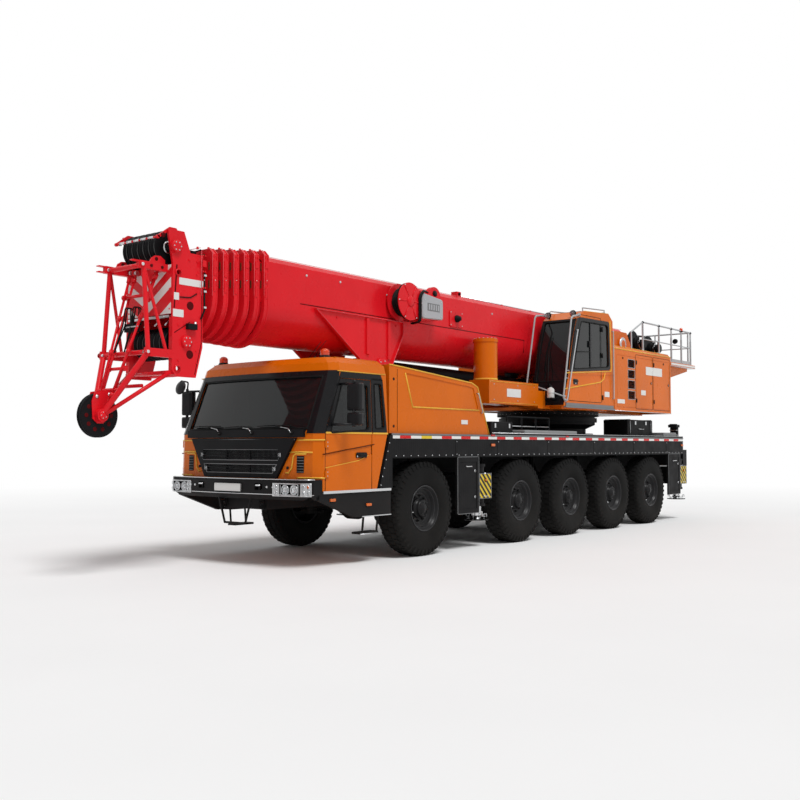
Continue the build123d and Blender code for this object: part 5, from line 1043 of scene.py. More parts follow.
# Carrier: deck edge, beams, underside and rear
def bend_line(start, end, sag, steps=8):
    """Points of a short hose that sags between two places."""
    start, end = Vector(start), Vector(end)
    return [start.lerp(end, k / steps) - Vector((0, 0, sag * 4 * (k / steps) * (1 - k / steps)))
            for k in range(steps + 1)]


class CRANE_OT_deck(bpy.types.Operator):
    """Fit the dashes, lamps, covers and boxes of the deck"""

    bl_idname = "crane.deck"
    bl_label = "Deck"

    def execute(self, context):
        for name, side in SIDES:
            self.edge(name, side)
            self.skirt_trim(name, side)
        self.fittings()
        self.hood_trim()
        return {"FINISHED"}

    def edge(self, name, side):
        """White strip with red dashes, a yellow one in front, under a pale lip."""
        work = Workpiece(f"deck_edge_{name}", side)
        y = 1.375
        low, high = y - 0.002, y + 0.004
        work.block((-9.398, low, 1.688), (0.775, high, 1.730), "stripe_white")
        low, high = y - 0.001, y + 0.0065
        dash = sizes().dash
        x, number = 0.62, 0
        while x > -9.35:
            end = max(x - dash, -9.39)
            if number % 2 == 0:
                work.block((end, low, 1.689), (x, high, 1.729), "stripe_yellow" if number == 2
                           else "stripe_red")
            x -= dash
            number += 1
        low, high = y - 0.001, y + 0.005
        work.block((-9.40, low, 1.736), (0.80, high, 1.759), "edge_grey")
        work.tube([(-9.395, y, 1.790), (-1.745, y, 1.790)], 0.005, "edge_silver", 6)
        work.done("carrier", "deck")
        lamps = Workpiece(f"side_markers_{name}", side)
        for d in (-1.755, -9.32):
            outline = [(d - 0.058, 1.575), (d + 0.058, 1.575), (d + 0.058, 1.622), (d - 0.058, 1.622)]
            base = rounded([(x, 1.374, z) for x, z in outline], 0.012)
            lamps.loops([base, moved(base, y=0.008)], "moulded_trim", smooth=False)
            centre = Vector((d, 1.374, 1.5985))
            inner = [centre + (p - centre) * 0.86 for p in base]
            lamps.loops([moved(inner, y=0.008), moved(inner, y=0.018),
                         [centre + (p - centre) * 0.93 + Vector((0, 0.022, 0)) for p in inner]], "amber_lens",
                        smooth=False)
        for d in (-1.755, -4.176):
            low, high = 1.379, 1.392
            lamps.block((d - 0.05, low, 1.738), (d + 0.05, high, 1.762), "tail_lens")
        lamps.done("carrier", "lamp")

    def skirt_trim(self, name, side):
        """Rubber lip with studs under the skirt, panel seams, latches and the front fender edge."""
        work = Workpiece(f"skirt_trim_{name}", side)
        y = 1.362
        work.tube([(-9.39, y, 1.418), (0.77, y, 1.418)], 0.011, "seal_rubber", 8)
        work.tube([(0.785, y, 1.49), (0.785, y, 1.01), (1.045, y, 1.003)], 0.009, "seal_rubber", 8)
        d = 0.70
        while d > -9.35:
            work.turned(((0.0085, 0), (0.0085, 0.003), (0.005, 0.006), (TIP, 0.006)), (d, 1.374, 1.445), OUT,
                        "edge_silver", sides=10)
            d -= 0.17
        for k in range(6):
            work.turned(((0.008, 0), (0.005, 0.005), (TIP, 0.005)), (1.03 - 0.037 * k, 1.374, 1.05 + 0.115 * k),
                        OUT, "edge_silver", sides=10)
        for d in (-0.74, -1.90, -3.50, -5.20, -6.90, -8.50):
            work.tube([(d, 1.376, 1.43), (d, 1.376, 1.68)], 0.003, "seal_rubber", 4)
            for z in (1.46, 1.65):
                work.bolt((d - 0.03, 1.374, z), OUT, 0.007)
        panels = (((-1.37, -0.79),), ((-1.80, -1.42),))[0 if side > 0 else 1]
        if side > 0:
            panels += ((-9.23, -8.61),)
        for rear, front in panels:
            inset = rounded(upright((rear + 0.06, front - 0.06), 1.367, (0.62, 1.34)), 0.02)
            work.ring(inset, 0.006, "seal_rubber", 6)
            work.ring(rounded(upright((rear + 0.004, front - 0.004), 1.374, (0.554, 1.416)), 0.02), 0.005,
                      "edge_grey", 6)
            middle_x = (rear + front) / 2
            for z in (0.80, 1.20):
                work.turned(((0.020, -0.002), (0.020, 0.004), (0.014, 0.007), (TIP, 0.007)),
                            (rear + 0.10, 1.367, z), OUT, "edge_silver", sides=16)
                low, high = 1.372, 1.379
                work.block((rear + 0.097, low, z - 0.012), (rear + 0.103, high, z + 0.012), "moulded_trim")
                for shift in (-0.014, 0.014):
                    work.turned(((0.009, -0.03), (0.009, 0.03), (TIP, 0.031)),
                                (front - 0.062, 1.370, z + shift * 2), UP, "moulded_trim", sides=8)
            work.bent([(middle_x - 0.07, 1.366, 1.27), (middle_x - 0.07, 1.395, 1.27),
                       (middle_x + 0.07, 1.395, 1.27), (middle_x + 0.07, 1.366, 1.27)], 0.008, 0.012,
                      "edge_silver", 8)
        work.done("carrier", "deck")

    def chest(self, work, d, y, z, name):
        """Box with rounded upright edges and a chamfered lid."""
        rows = [rounded([(d[0], y[0], h), (d[1], y[0], h), (d[1], y[1], h), (d[0], y[1], h)], 0.02, 3)
                for h in (z[0], z[1] - 0.012)]
        centre = Vector(((d[0] + d[1]) / 2, (y[0] + y[1]) / 2, 0))
        rows.append([Vector((p.x, p.y, z[1])) + (centre - Vector((p.x, p.y, 0))).normalized() * 0.012
                     for p in rows[1]])
        work.loops(rows, name, smooth=False)

    def fittings(self):
        """Chequered covers, boxes, steps and clips that stand on the deck."""
        work = Workpiece("deck_fittings")
        for _ in work.both():
            self.chest(work, (-4.62, -2.79), (1.06, 1.345), (1.755, 1.850), "tread_silver")
            for d in (-4.60, -3.70, -2.81):
                work.block((d - 0.02, 1.05, 1.757), (d + 0.02, 1.355, 1.795), "chassis_paint")
            self.chest(work, (-8.30, -7.10), (0.62, 1.16), (1.758, 2.12), "box_black")
            for d in (-8.20, -7.20):
                work.tube([(d, 0.61, 1.76), (d, 0.61, 2.125), (d, 1.17, 2.125), (d, 1.17, 1.76)],
                          0.008, "zinc_steel", 6)
            for d in (-7.95, -7.45):
                work.block((d - 0.03, 1.158, 2.02), (d + 0.03, 1.172, 2.09), "edge_silver")
            work.tube([(-7.80, 1.16, 1.93), (-7.80, 1.19, 1.93), (-7.60, 1.19, 1.93), (-7.60, 1.16, 1.93)],
                      0.008, "edge_silver", 8)
            self.chest(work, (-9.22, -8.55), (0.70, 1.30), (1.758, 1.87), "tread_silver")
            self.chest(work, (-2.62, -1.95), (0.75, 1.22), (1.758, 1.98), "box_black")
            for d in (-2.50, -2.07):
                work.block((d - 0.02, 1.218, 1.88), (d + 0.02, 1.230, 1.95), "edge_silver")
            for rear, front in ((-9.35, -9.26), (-8.45, -4.75)):
                d = front - 0.1
                while d > rear:
                    work.bolt((d, 1.32, 1.7605), UP, 0.009)
                    d -= 0.42
            for k in range(4):
                work.turned(((0.0085, 0.0), (0.0085, 0.035), (TIP, 0.036)), (-4.2 + 0.4733 * k, 1.0, 1.762), UP,
                            "zinc_steel", sides=10)
                work.turned(((0.034, 0.0), (0.034, 0.006), (0.018, 0.010)), (-4.2 + 0.4733 * k, 1.0, 1.760), UP,
                            "zinc_steel", sides=16)
            work.tube([(-4.2, 1.0, 1.92), (-2.78, 1.0, 1.92)], 0.010, "zinc_steel", 8)
            x, y = -9.3275, 1.20
            for z in (1.82, 1.93):
                work.ring(rounded([(x - 0.075, y - 0.085, z), (x - 0.075 + 0.12, y - 0.085, z),
                                   (x + 0.045, y + 0.085, z), (x - 0.075, y + 0.085, z)], 0.01), 0.006,
                          "edge_silver", 6)
            work.block((x - 0.05, y - 0.06, 2.049), (x + 0.09, y + 0.06, 2.066), "seal_rubber")
        for d, y in ((-1.95, 0.30), (-3.30, -0.35), (-4.30, 0.2)):
            work.turned(((0.10, 0.0), (0.10, 0.008), (0.085, 0.012), (TIP, 0.012)), (d, y, 1.760), UP,
                        "chassis_paint", sides=24)
            for k in range(6):
                work.bolt((d + 0.088 * cos(k * pi / 3), y + 0.088 * sin(k * pi / 3), 1.769), UP, 0.006)
        work.done("carrier", "deck")

    def hood_trim(self):
        """Crease lines painted as highlights, latches, blank plates, roof louvres and screws of the hood."""
        work = Workpiece("hood_trim")
        for _ in work.both():
            y = 1.332
            pressing = [(0.44, 2.62), (0.27, 2.14), (-1.43, 2.14), (-1.29, 2.48), (-1.18, 2.50)]
            # Painted highlights along the hood's creases and its outer edge
            work.tube([(d, y, z) for d, z in pressing[1:3]], 0.011, "body_painted_highlight", 8)
            work.tube([(d, y, z) for d, z in pressing[:2]], 0.011, "body_painted_highlight", 8)
            work.tube([(d, y, z) for d, z in ((0.80, 2.718), (0.50, 2.698), (-1.24, 2.558), (-1.40, 2.50),
                                              (-1.72, 1.765))], 0.010, "body_painted_highlight", 8)
            work.tube([(0.62, y, 2.66), (0.62, y, 1.79)], 0.003, "seal_rubber", 6)
            for z in (1.86, 2.52):
                work.turned(((0.020, -0.001), (0.020, 0.003), (0.014, 0.006), (TIP, 0.006)),
                            (0.70, y - 0.002, z), OUT, "moulded_trim", sides=18)
            low, high = y - 0.001, y + 0.004
            work.block((-1.12, low, 1.915), (-0.95, high, 1.98), "white_paint")
            work.bent([(-1.50, 1.33, 2.10), (-1.50, 1.365, 2.10), (-1.38, 1.365, 2.40), (-1.38, 1.33, 2.40)],
                      0.010, 0.02, "zinc_steel", 8)
            for k in range(6):
                d = -0.90 + 0.11 * k
                z = 2.56 + (d + 1.24) * 0.0805
                for fin in range(4):
                    work.block((d + 0.004 + 0.014 * fin, 0.26, z - 0.03), (d + 0.009 + 0.014 * fin,
                               0.74, z - 0.004), "chassis_paint")
        work.tube([(-0.35, -1.10, 2.60), (-0.35, -1.10, 2.69), (-0.55, -1.10, 2.72)], 0.055, "chassis_paint",
                  20)
        work.done("carrier", "orange")


class CRANE_OT_outriggers(bpy.types.Operator):
    """Fit the warning plates, pads, pipes and lamps of the outriggers"""

    bl_idname = "crane.outriggers"
    bl_label = "Outriggers"

    def execute(self, context):
        for name, side in BEAMS:
            low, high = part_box(f"beam_{name}")
            x = (low.x + high.x) / 2 - AXLE_1
            face = max(abs(low.y), abs(high.y))
            self.beam(name, side, x, face)
            self.jack(name)
        return {"FINISHED"}

    def beam(self, name, side, x, face):
        """Striped end plate with its frame, studs, handle and lamp."""
        work = Workpiece(f"outrigger_trim_{name}", side)
        half, low, high = 0.165, 0.765, 1.150
        near, far = face - 0.001, face + 0.004
        pitch = 0.110
        work.plate(((x - half, low), (x + half, low), (x + half, high), (x - half, high)), "y", near, far,
                   "stripe_yellow")
        for k in range(-8, 16):
            start = low + k * pitch
            band = clipped([(x - half, start), (x + half, start + 2 * half),
                            (x + half, start + 2 * half + pitch * 0.5), (x - half, start + pitch * 0.5)], low,
                           high)
            if len(band) >= 3:
                work.plate(band, "y", near, far + 0.0015, "stripe_black")
        work.ring(upright((x - half, x + half), far, (low, high)), 0.006, "edge_grey", 6)
        for dx in (-half + 0.02, half - 0.02):
            for z in (low + 0.02, high - 0.02):
                work.bolt((x + dx, far, z), OUT, 0.008)
        work.bent([(x - 0.06, far, 0.80), (x - 0.06, far + 0.018, 0.80), (x + 0.06, far + 0.018, 0.80),
                   (x + 0.06, far, 0.80)], 0.006, 0.008, "edge_silver", 8)
        work.turned(((0.030, 0.0), (0.030, 0.010), (0.024, 0.014)), (x, far, 1.05), OUT, "moulded_trim",
                    sides=18)
        work.turned(((0.026, 0.008), (0.020, 0.016), (TIP, 0.019)), (x, far, 1.05), OUT, "amber_lens", sides=18)
        for z in (0.83, 0.86):
            work.tube([(x - 0.13, 0.45, z + 0.29), (x - 0.13, 1.28, z + 0.29)], 0.008, "plated_steel", 6)
        work.done(f"beam_{name}", "deck")

    def jack(self, name):
        """Rings, pad studs and grip of a jack."""
        low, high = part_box(f"jack_{name}")
        x, y = (low.x + high.x) / 2 - AXLE_1, (low.y + high.y) / 2
        work = Workpiece(f"jack_trim_{name}")
        work.turned(((0.084, 0.0), (0.084, 0.018), (0.079, 0.022)), (x, y, 0.470), UP, "chassis_paint",
                    sides=28)
        work.turned(((0.192, -0.004), (0.193, 0.010), (0.186, 0.014)), (x, y, 0.425), UP, "seal_rubber",
                    sides=36)
        for t in turns(8, 0.2):
            work.bolt((x + 0.14 * cos(t), y + 0.14 * sin(t), 0.470), UP, 0.012)
        for t in (0.5 * pi, 1.5 * pi):
            middle_point = Vector((x + 0.165 * cos(t), y + 0.165 * sin(t), 0.47))
            work.bent([middle_point + Vector((-0.04, 0, 0)), middle_point + Vector((-0.04, 0, 0.05)),
                       middle_point + Vector((0.04, 0, 0.05)), middle_point + Vector((0.04, 0, 0))], 0.007,
                      0.015, "zinc_steel", 8)
        work.done(f"jack_{name}", "steel")


def clipped(outline, low, high):
    """Outline of (X, height) points cut to the heights between low and high."""
    for limit, keep_above in ((low, True), (high, False)):
        result = []
        for k, (x, z) in enumerate(outline):
            nx, nz = outline[(k + 1) % len(outline)]
            inside = z >= limit if keep_above else z <= limit
            next_inside = nz >= limit if keep_above else nz <= limit
            if inside:
                result.append((x, z))
            if inside != next_inside:
                share = (limit - z) / (nz - z)
                result.append((x + (nx - x) * share, limit))
        outline = result
        if not outline:
            break
    return outline


class CRANE_OT_underside(bpy.types.Operator):
    """Fit the tanks, pipes, hoses and silencer under the deck"""

    bl_idname = "crane.underside"
    bl_label = "Underside"

    def execute(self, context):
        work = Workpiece("air_tanks")
        for d, y, half, r in ((-2.25, 0.74, 0.34, 0.112), (-3.10, 0.74, 0.34, 0.112),
                              (-5.20, 0.74, 0.36, 0.112), (-2.25, -0.74, 0.34, 0.112),
                              (-5.20, -0.74, 0.36, 0.112), (-6.95, -0.74, 0.30, 0.112)):
            centre = (d, y, 1.585)
            work.turned(((TIP, -half - 0.045), (r * 0.5, -half - 0.038), (r * 0.85, -half - 0.018), (r, -half),
                         (r, half), (r * 0.85, half + 0.018), (r * 0.5, half + 0.038), (TIP, half + 0.045)),
                        centre, FORE, "box_black", sides=28)
            for x in (-half * 0.6, half * 0.6):
                work.turned(((r + 0.001, x - 0.014), (r + 0.005, x - 0.014), (r + 0.005, x + 0.014),
                             (r + 0.001, x + 0.014)), centre, FORE, "zinc_steel", sides=28)
            work.bolt((d, y, 1.585 - r), (0, 0, -1), 0.014)
            work.tube(bend_line((d + half, y, 1.585), (d + half + 0.22, y * 0.72, 1.55), 0.03), 0.009,
                      "hose_black", 6)
        work.done("carrier", "chassis")
        lines = Workpiece("frame_pipes")
        for _ in lines.both():
            for k, z in enumerate((1.60, 1.57, 1.54)):
                lines.tube([(-0.90, 0.462, z), (-9.60, 0.462, z)], 0.008, "plated_steel" if k != 1
                           else "hose_black", 6)
            d = -1.4
            while d > -9.5:
                low, high = 0.450, 0.474
                lines.block((d - 0.02, low, 1.525), (d + 0.02, high, 1.615), "moulded_trim")
                d -= 0.62
            for axle in (0.0, -2.65, -4.35, -6.05, -7.75):
                start_y = 0.455 if axle < -0.8 else 0.425
                top = 1.38 if axle < -0.8 else 1.20
                for shift in (-0.13, -0.17):
                    lines.tube(bend_line((axle + shift, start_y, top), (axle + shift * 0.5, 0.82, 0.80), 0.10),
                               0.009, "hose_black", 6)
                lines.turned(((0.062, -0.075), (0.062, 0.0), (0.050, 0.02), (0.020, 0.03), (TIP, 0.03)),
                             (axle - 0.20, 0.70, 0.86), FORE, "box_black", sides=20)
                for t in turns(4):
                    lines.bolt((axle - 0.20, 0.70 + 0.045 * cos(t), 0.86 + 0.045 * sin(t)), FORE, 0.006)
        lines.done("carrier", "chassis")
        exhaust = Workpiece("silencer")
        centre = (-1.33, -0.78, 1.40)
        exhaust.turned(((TIP, -0.40), (0.13, -0.40), (0.155, -0.385), (0.158, -0.36), (0.158, 0.36),
                        (0.155, 0.385), (0.13, 0.40), (TIP, 0.40)), centre, FORE, "zinc_steel", sides=32)
        for x in (-0.22, 0.22):
            exhaust.turned(((0.160, x - 0.018), (0.166, x - 0.018), (0.166, x + 0.018), (0.160, x + 0.018)),
                           centre, FORE, "plated_steel", sides=32)
            exhaust.block((-1.33 + x - 0.018, -0.80, 1.55), (-1.33 + x + 0.018, -0.76, 1.735), "chassis_paint")
        exhaust.bent([(-0.95, -0.78, 1.40), (-0.80, -0.78, 1.40), (-0.80, -0.50, 1.40)], 0.05, 0.08,
                     "zinc_steel", 16)
        exhaust.bent([(-1.33, -0.80, 1.28), (-1.33, -0.98, 1.22), (-1.33, -1.26, 1.20)], 0.04, 0.05,
                     "plated_steel", 16)
        exhaust.done("carrier", "chassis")
        return {"FINISHED"}


class CRANE_OT_rear(bpy.types.Operator):
    """Fit the tail lamps, plates and couplings of the rear"""

    bl_idname = "crane.rear"
    bl_label = "Rear"

    def execute(self, context):
        work = Workpiece("tail_lamps")
        x = -9.90
        for _ in work.both():
            low, high = 0.86, 1.235
            work.block((x - 0.018, low, 1.225), (x, high, 1.345), "moulded_trim")
            for k, name in enumerate(("amber_lens", "tail_lens", "tail_lens", "clear_lens")):
                y = 1.19 - 0.093 * k
                work.turned(((0.040, 0.0), (0.040, 0.020), (0.034, 0.030), (TIP, 0.033)), (x - 0.014, y, 1.285),
                            AFT, name, sides=22)
                work.turned(((0.044, 0.010), (0.044, 0.022), (0.040, 0.024)), (x - 0.014, y, 1.285), AFT,
                            "seal_rubber", sides=22)
            low, high = 1.02, 1.24
            work.block((x - 0.004, low, 1.39), (x, high, 1.47), "tail_lens")
            work.tube([(x, 0.30, 1.45), (x - 0.03, 0.30, 1.45), (x - 0.03, 0.80, 1.45), (x, 0.80, 1.45)], 0.012,
                      "zinc_steel", 8)
        work.block((x - 0.012, -0.72, 1.165), (x, -0.24, 1.285), "white_paint")
        work.ring([(x - 0.012, -0.72, 1.165), (x - 0.012, -0.24, 1.165), (x - 0.012, -0.24, 1.285),
                   (x - 0.012, -0.72, 1.285)], 0.006, "moulded_trim", 6)
        for y in (-0.60, -0.36):
            work.turned(((0.018, 0.0), (0.018, 0.03), (TIP, 0.032)), (x, y, 1.315), AFT, "moulded_trim",
                        sides=14)
        work.done("carrier", "lamp")
        trim = Workpiece("rear_trim")
        for low in (0.24, -1.245):
            for k in range(10):
                y = low + 0.10 * k
                trim.plate(((y, 1.505), (y + 0.10, 1.505), (y + 0.10, 1.548), (y, 1.548)), "x", x + 0.19,
                           x + 0.20, "stripe_white" if k % 2 else "stripe_red")
        for _ in trim.both():
            for y in (0.22, 0.30, 0.38):
                trim.turned(((0.022, 0.0), (0.022, 0.03), (0.017, 0.036), (TIP, 0.036)), (x, y, 1.36), AFT,
                            "moulded_trim" if y != 0.30 else "tail_lens", sides=16)
            trim.tube(bend_line((x - 0.02, 0.22, 1.36), (x - 0.05, 0.10, 1.30), 0.08), 0.008, "hose_black", 6)
        trim.turned(((0.026, -0.02), (0.026, 0.012), (0.016, 0.02), (TIP, 0.02)), (-10.025, 0, 1.40), UP,
                    "plated_steel", sides=16)
        for y in (-0.12, 0.12):
            for z in (1.21, 1.37):
                trim.bolt((-9.96, y, z), AFT, 0.014)
        trim.done("carrier", "chassis")
        return {"FINISHED"}


class CRANE_OT_slew_ring(bpy.types.Operator):
    """Fit the bolts, grease nipples and seal of the slewing ring"""

    bl_idname = "crane.slew_ring"
    bl_label = "Slewing ring"

    def execute(self, context):
        work = Workpiece("slew_ring_bolts")
        x = -5.90
        for t in turns(60):
            work.bolt((x + 0.955 * cos(t), 0.955 * sin(t), 2.2503), UP, 0.016, "ring_olive")
        for t in turns(48):
            work.turned(((0.007, -0.004), (0.007, 0.004), (TIP, 0.005)), (x + 1.0 * cos(t), 1.0 * sin(t),
                                                                          2.205), (cos(t), sin(t), 0),
                        "plated_steel", sides=8)
        work.turned(((1.001, 0.0), (1.006, 0.004), (1.006, 0.020), (1.001, 0.024)), (x, 0, 2.162), UP,
                    "seal_rubber", sides=96)
        work.done("superstructure", "chassis")
        return {"FINISHED"}


# Superstructure
OPERATOR_GLASS = ((-4.52, 2.98), (-5.93, 3.10), (-5.90, 3.90), (-4.82, 3.88))


def bow_x(z):
    """Distance ahead of the operator's windscreen at a height."""
    points = ((2.30, -4.15), (2.95, -4.36), (3.20, -4.413), (3.449, -4.478), (3.70, -4.565), (3.92, -4.67))
    for (z0, d0), (z1, d1) in zip(points, points[1:]):
        if z <= z1:
            return d0 + (d1 - d0) * (z - z0) / (z1 - z0)
    return points[-1][1]


class CRANE_OT_operator_cab(bpy.types.Operator):
    """Trim the operator's cab: bars, seals, wiper, lamps, latch, sill and controls"""

    bl_idname = "crane.operator_cab"
    bl_label = "Operator's cab"

    def execute(self, context):
        self.front()
        self.side()
        self.controls()
        return {"FINISHED"}

    def front(self):
        """Black curved front, seal, wiper, rungs and the lamps over it."""
        work = Workpiece("operator_cab_front")
        y_in, y_out = 0.685, 1.27
        for low, high in ((0.628, 0.688), (1.268, 1.327)):
            rows = []
            for z in spaced(2.72, 3.91, 16):
                x = bow_x(z)
                rows.append([(x - 0.004, low, z), (x + 0.007, low, z), (x + 0.007, high, z),
                             (x - 0.004, high, z)])
            work.loops(rows, "pillar_black", smooth=False)
        for low, high in ((2.315, 2.755), (3.875, 3.915)):
            rows = []
            for z in spaced(low, high, 8):
                x = bow_x(z)
                rows.append([(x - 0.004, 0.632, z), (x + 0.007, 0.632, z), (x + 0.007, 1.323, z),
                             (x - 0.004, 1.323, z)])
            work.loops(rows, "pillar_black", smooth=False)
        seal = [(bow_x(2.755) + 0.006, y_in + (y_out - y_in) * k / 6, 2.755) for k in range(6)]
        seal += [(bow_x(2.755 + 1.12 * k / 12) + 0.006, y_out, 2.755 + 1.12 * k / 12) for k in range(12)]
        seal += [(bow_x(3.875) + 0.006, y_out - (y_out - y_in) * k / 6, 3.875) for k in range(6)]
        seal += [(bow_x(3.875 - 1.12 * k / 12) + 0.006, y_in, 3.875 - 1.12 * k / 12) for k in range(12)]
        work.ring(seal, sizes().seal, "seal_rubber", 8)
        for z in (2.36, 2.44, 2.52):
            x = bow_x(z) + 0.008
            work.block((x - 0.004, 0.70, z), (x + 0.004, 1.25, z + 0.022), "moulded_trim")
        pivot = Vector((bow_x(2.68) + 0.012, 0.98, 2.68))
        work.turned(((0.028, -0.01), (0.028, 0.014), (TIP, 0.02)), pivot, (1, 0, 0.2), "seal_rubber", sides=16)
        tip = Vector((bow_x(3.25) + 0.035, 0.90, 3.25))
        work.tube([pivot + Vector((0.014, 0, 0)), pivot + Vector((0.030, -0.01, 0.10)), tip], 0.009,
                  "seal_rubber", 8)
        blade = [Vector((bow_x(2.90 + 0.70 * k / 8) + 0.022, 0.88 + 0.02 * k / 8, 2.90 + 0.70 * k / 8))
                 for k in range(9)]
        work.tube(blade, 0.008, "seal_rubber", 6)
        for y in (0.72, 1.24):
            x, z = -4.70, 4.02
            work.tube([(x - 0.06, y, 3.95), (x - 0.02, y, z)], 0.012, "moulded_trim", 8)
            work.turned(((0.046, -0.030), (0.058, -0.010), (0.058, 0.030), (0.052, 0.032), (0.045, 0.015),
                         (TIP, 0.006)), (x, y, z), (1, 0, -0.25), "moulded_trim", sides=22)
            work.turned(((0.052, 0.026), (0.030, 0.033), (TIP, 0.035)), (x, y, z), (1, 0, -0.25), "clear_lens",
                        sides=22)
        work.done("superstructure", "trim")
        bars = Workpiece("operator_cab_bars")
        grab = sizes().grab
        far = [(-4.20, 0.66, 2.66), (-4.00, 0.66, 2.68), (-4.32, 0.66, 3.98), (-4.68, 0.66, 4.02)]
        near = [(-4.20, 1.335, 2.40), (-4.13, 1.335, 2.42), (-4.46, 1.335, 3.93), (-4.74, 1.335, 3.99)]
        for line in (far, near):
            bars.bent(line, grab, 0.07, "bar_grey", 12)
            for point in (line[0], line[-1]):
                bars.turned(((0.034, -0.004), (0.034, 0.010), (0.020, 0.014)), point, FORE, "bar_grey",
                            sides=14)
        for z, radius in ((2.94, 0.009), (2.80, 0.009), (2.47, 0.016)):
            share = (z - 2.42) / 1.50
            x_near = -4.13 - 0.33 * share
            bars.tube([(x_near, 1.335, z), (bow_x(z), 1.335, z)], radius, "bar_grey", 8)
        bars.tube([(-4.14, 1.335, 2.47), (-4.01, 0.66, 2.72)], 0.012, "bar_grey", 8)
        bars.bent([(-6.06, 1.20, 4.115), (-6.06, 1.20, 4.175), (-6.06, 0.72, 4.175), (-6.06, 0.72, 4.115)],
                  0.012, 0.03, "bar_grey", 10)
        bars.bent([(-4.80, 0.68, 4.00), (-4.84, 0.68, 4.115), (-5.90, 0.68, 4.175), (-5.95, 0.68, 4.12)], 0.012,
                  0.03, "bar_grey", 10)
        foot = Vector((-4.10, 1.10, 2.44))
        bars.turned(((0.060, 0.0), (0.066, 0.012), (0.066, 0.15), (0.050, 0.175), (0.024, 0.185),
                     (0.024, 0.205), (TIP, 0.206)), foot, UP, "bottle_white", sides=24, caps=True)
        bars.turned(((0.027, 0.20), (0.027, 0.225), (TIP, 0.226)), foot, UP, "moulded_trim", sides=16)
        bars.block((foot.x - 0.07, 1.03, 2.425), (foot.x + 0.068, 1.17, 2.441), "moulded_trim")
        bars.ring([foot + Vector((0.069 * cos(t), 0.069 * sin(t), 0.09)) for t in turns(20)], 0.004,
                  "zinc_steel", 6)
        bars.done("superstructure", "steel")

    def side(self):
        """Black frame, divided sliding pane, latch, painted highlights on the edges, sill and roof hatch."""
        work = Workpiece("operator_cab_side")
        y = 1.33
        window = [Vector((d, y + 0.001, z)) for d, z in (p[:2] for p in rounded(OPERATOR_GLASS, 0.07))]
        outer = [Vector((d, y + 0.001, z)) for d,
                 z in (p[:2] for p in rounded(((-4.43, 2.925), (-6.00, 3.045), (-5.965, 3.975), (-4.77, 3.95)),
                                              0.07))]
        work.surround(outer, window, (0, 0.007, 0), "pillar_black")
        work.ring(moved(window, y=0.004), sizes().seal, "seal_rubber", 8)
        work.block((-5.215, 1.316, 3.03), (-5.175, 1.334, 3.885), "pillar_black")
        work.tube([(-4.60, 1.332, 3.30), (-5.17, 1.332, 3.34)], 0.008, "seal_rubber", 6)
        work.block((-5.16, 1.328, 3.42), (-5.12, 1.346, 3.54), "moulded_trim")
        far = [Vector((d, 0.624, z)) for d, z in (p[:2] for p in rounded(OPERATOR_GLASS, 0.07))]
        far_outer = [Vector((d, 0.624, z)) for d,
                     z in (p[:2] for p in rounded(((-4.43, 2.925), (-6.00, 3.045), (-5.965, 3.975),
                                                   (-4.77, 3.95)), 0.07))]
        work.surround(far_outer, far, (0, -0.006, 0), "pillar_black")
        # Painted highlights along the lit edges of the side
        for points in (((-4.23, 2.890), (-4.42, 2.905), (-6.02, 3.022), (-6.035, 3.10), (-5.995, 3.995)),
                       ((-4.17, 2.600), (-5.58, 2.790), (-5.72, 2.860), (-5.78, 2.985))):
            work.tube([(d, y + 0.002, z) for d, z in points], 0.0105, "body_painted_highlight", 8)
        pillar = [(bow_x(2.935 + 0.985 * k / 8) - 0.004, y + 0.0005, 2.935 + 0.985 * k / 8) for k in range(9)]
        work.sheet(pillar + [(-4.80, y + 0.0005, 3.955), (-4.425, y + 0.0005, 2.922)], (0, 0.005, 0),
                   "pillar_black")
        work.ring(rounded([(-4.33, y, 2.40), (-5.62, y, 2.40), (-5.62, y, 4.01), (-4.80, y, 4.00),
                           (-4.47, y, 3.10)], 0.04), 0.005, "seal_rubber", 6)
        bowl = rounded(upright((-4.51, -4.68), y + 0.002, (2.700, 2.800)), 0.02)
        work.sheet(bowl, (0, 0.003, 0), "pillar_black")
        work.bent([(-4.53, y, 2.765), (-4.53, y + 0.030, 2.765), (-4.66, y + 0.030, 2.765), (-4.66, y, 2.765)],
                  0.009, 0.012, "moulded_trim", 8)
        work.turned(((0.013, 0.0), (0.013, 0.008), (TIP, 0.009)), (-4.595, y + 0.004, 2.722), OUT,
                    "plated_steel", sides=14)
        work.block((-6.13, 1.322, 2.272), (-4.18, 1.362, 2.300), "edge_grey")
        work.block((-6.10, 1.332, 2.300), (-4.22, 1.345, 2.358), "edge_grey")
        low_y, high_y = 1.329, 1.334
        work.block((-5.95, low_y, 2.52), (-5.75, high_y, 2.62), "white_paint")
        for z in (2.50, 3.30, 3.80):
            work.turned(((0.018, -0.045), (0.018, 0.045), (TIP, 0.046)), (-5.655, y + 0.008, z), UP,
                        "moulded_trim", sides=12, caps=True)
        work.tube([(-4.955, 0.635, 4.082), (-5.94, 0.635, 4.132)], 0.008, "seal_rubber", 6)
        # Painted highlight along the near roof edge
        work.tube([(-4.955, 1.322, 4.082), (-5.94, 1.322, 4.132)], 0.008, "body_painted_highlight", 6)
        hatch = [(-5.15, 0.78, 4.094), (-5.75, 0.78, 4.124), (-5.75, 1.16, 4.124), (-5.15, 1.16, 4.094)]
        work.sheet(hatch, (0, 0, 0.014), "screen_glass")
        work.ring(moved(hatch, z=0.010), 0.012, "seal_rubber", 8)
        for k in range(9):
            work.block((-6.146, 0.80, 2.60 + 0.04 * k), (-6.138, 1.16, 2.618 + 0.04 * k), "moulded_trim")
        work.done("superstructure", "trim")

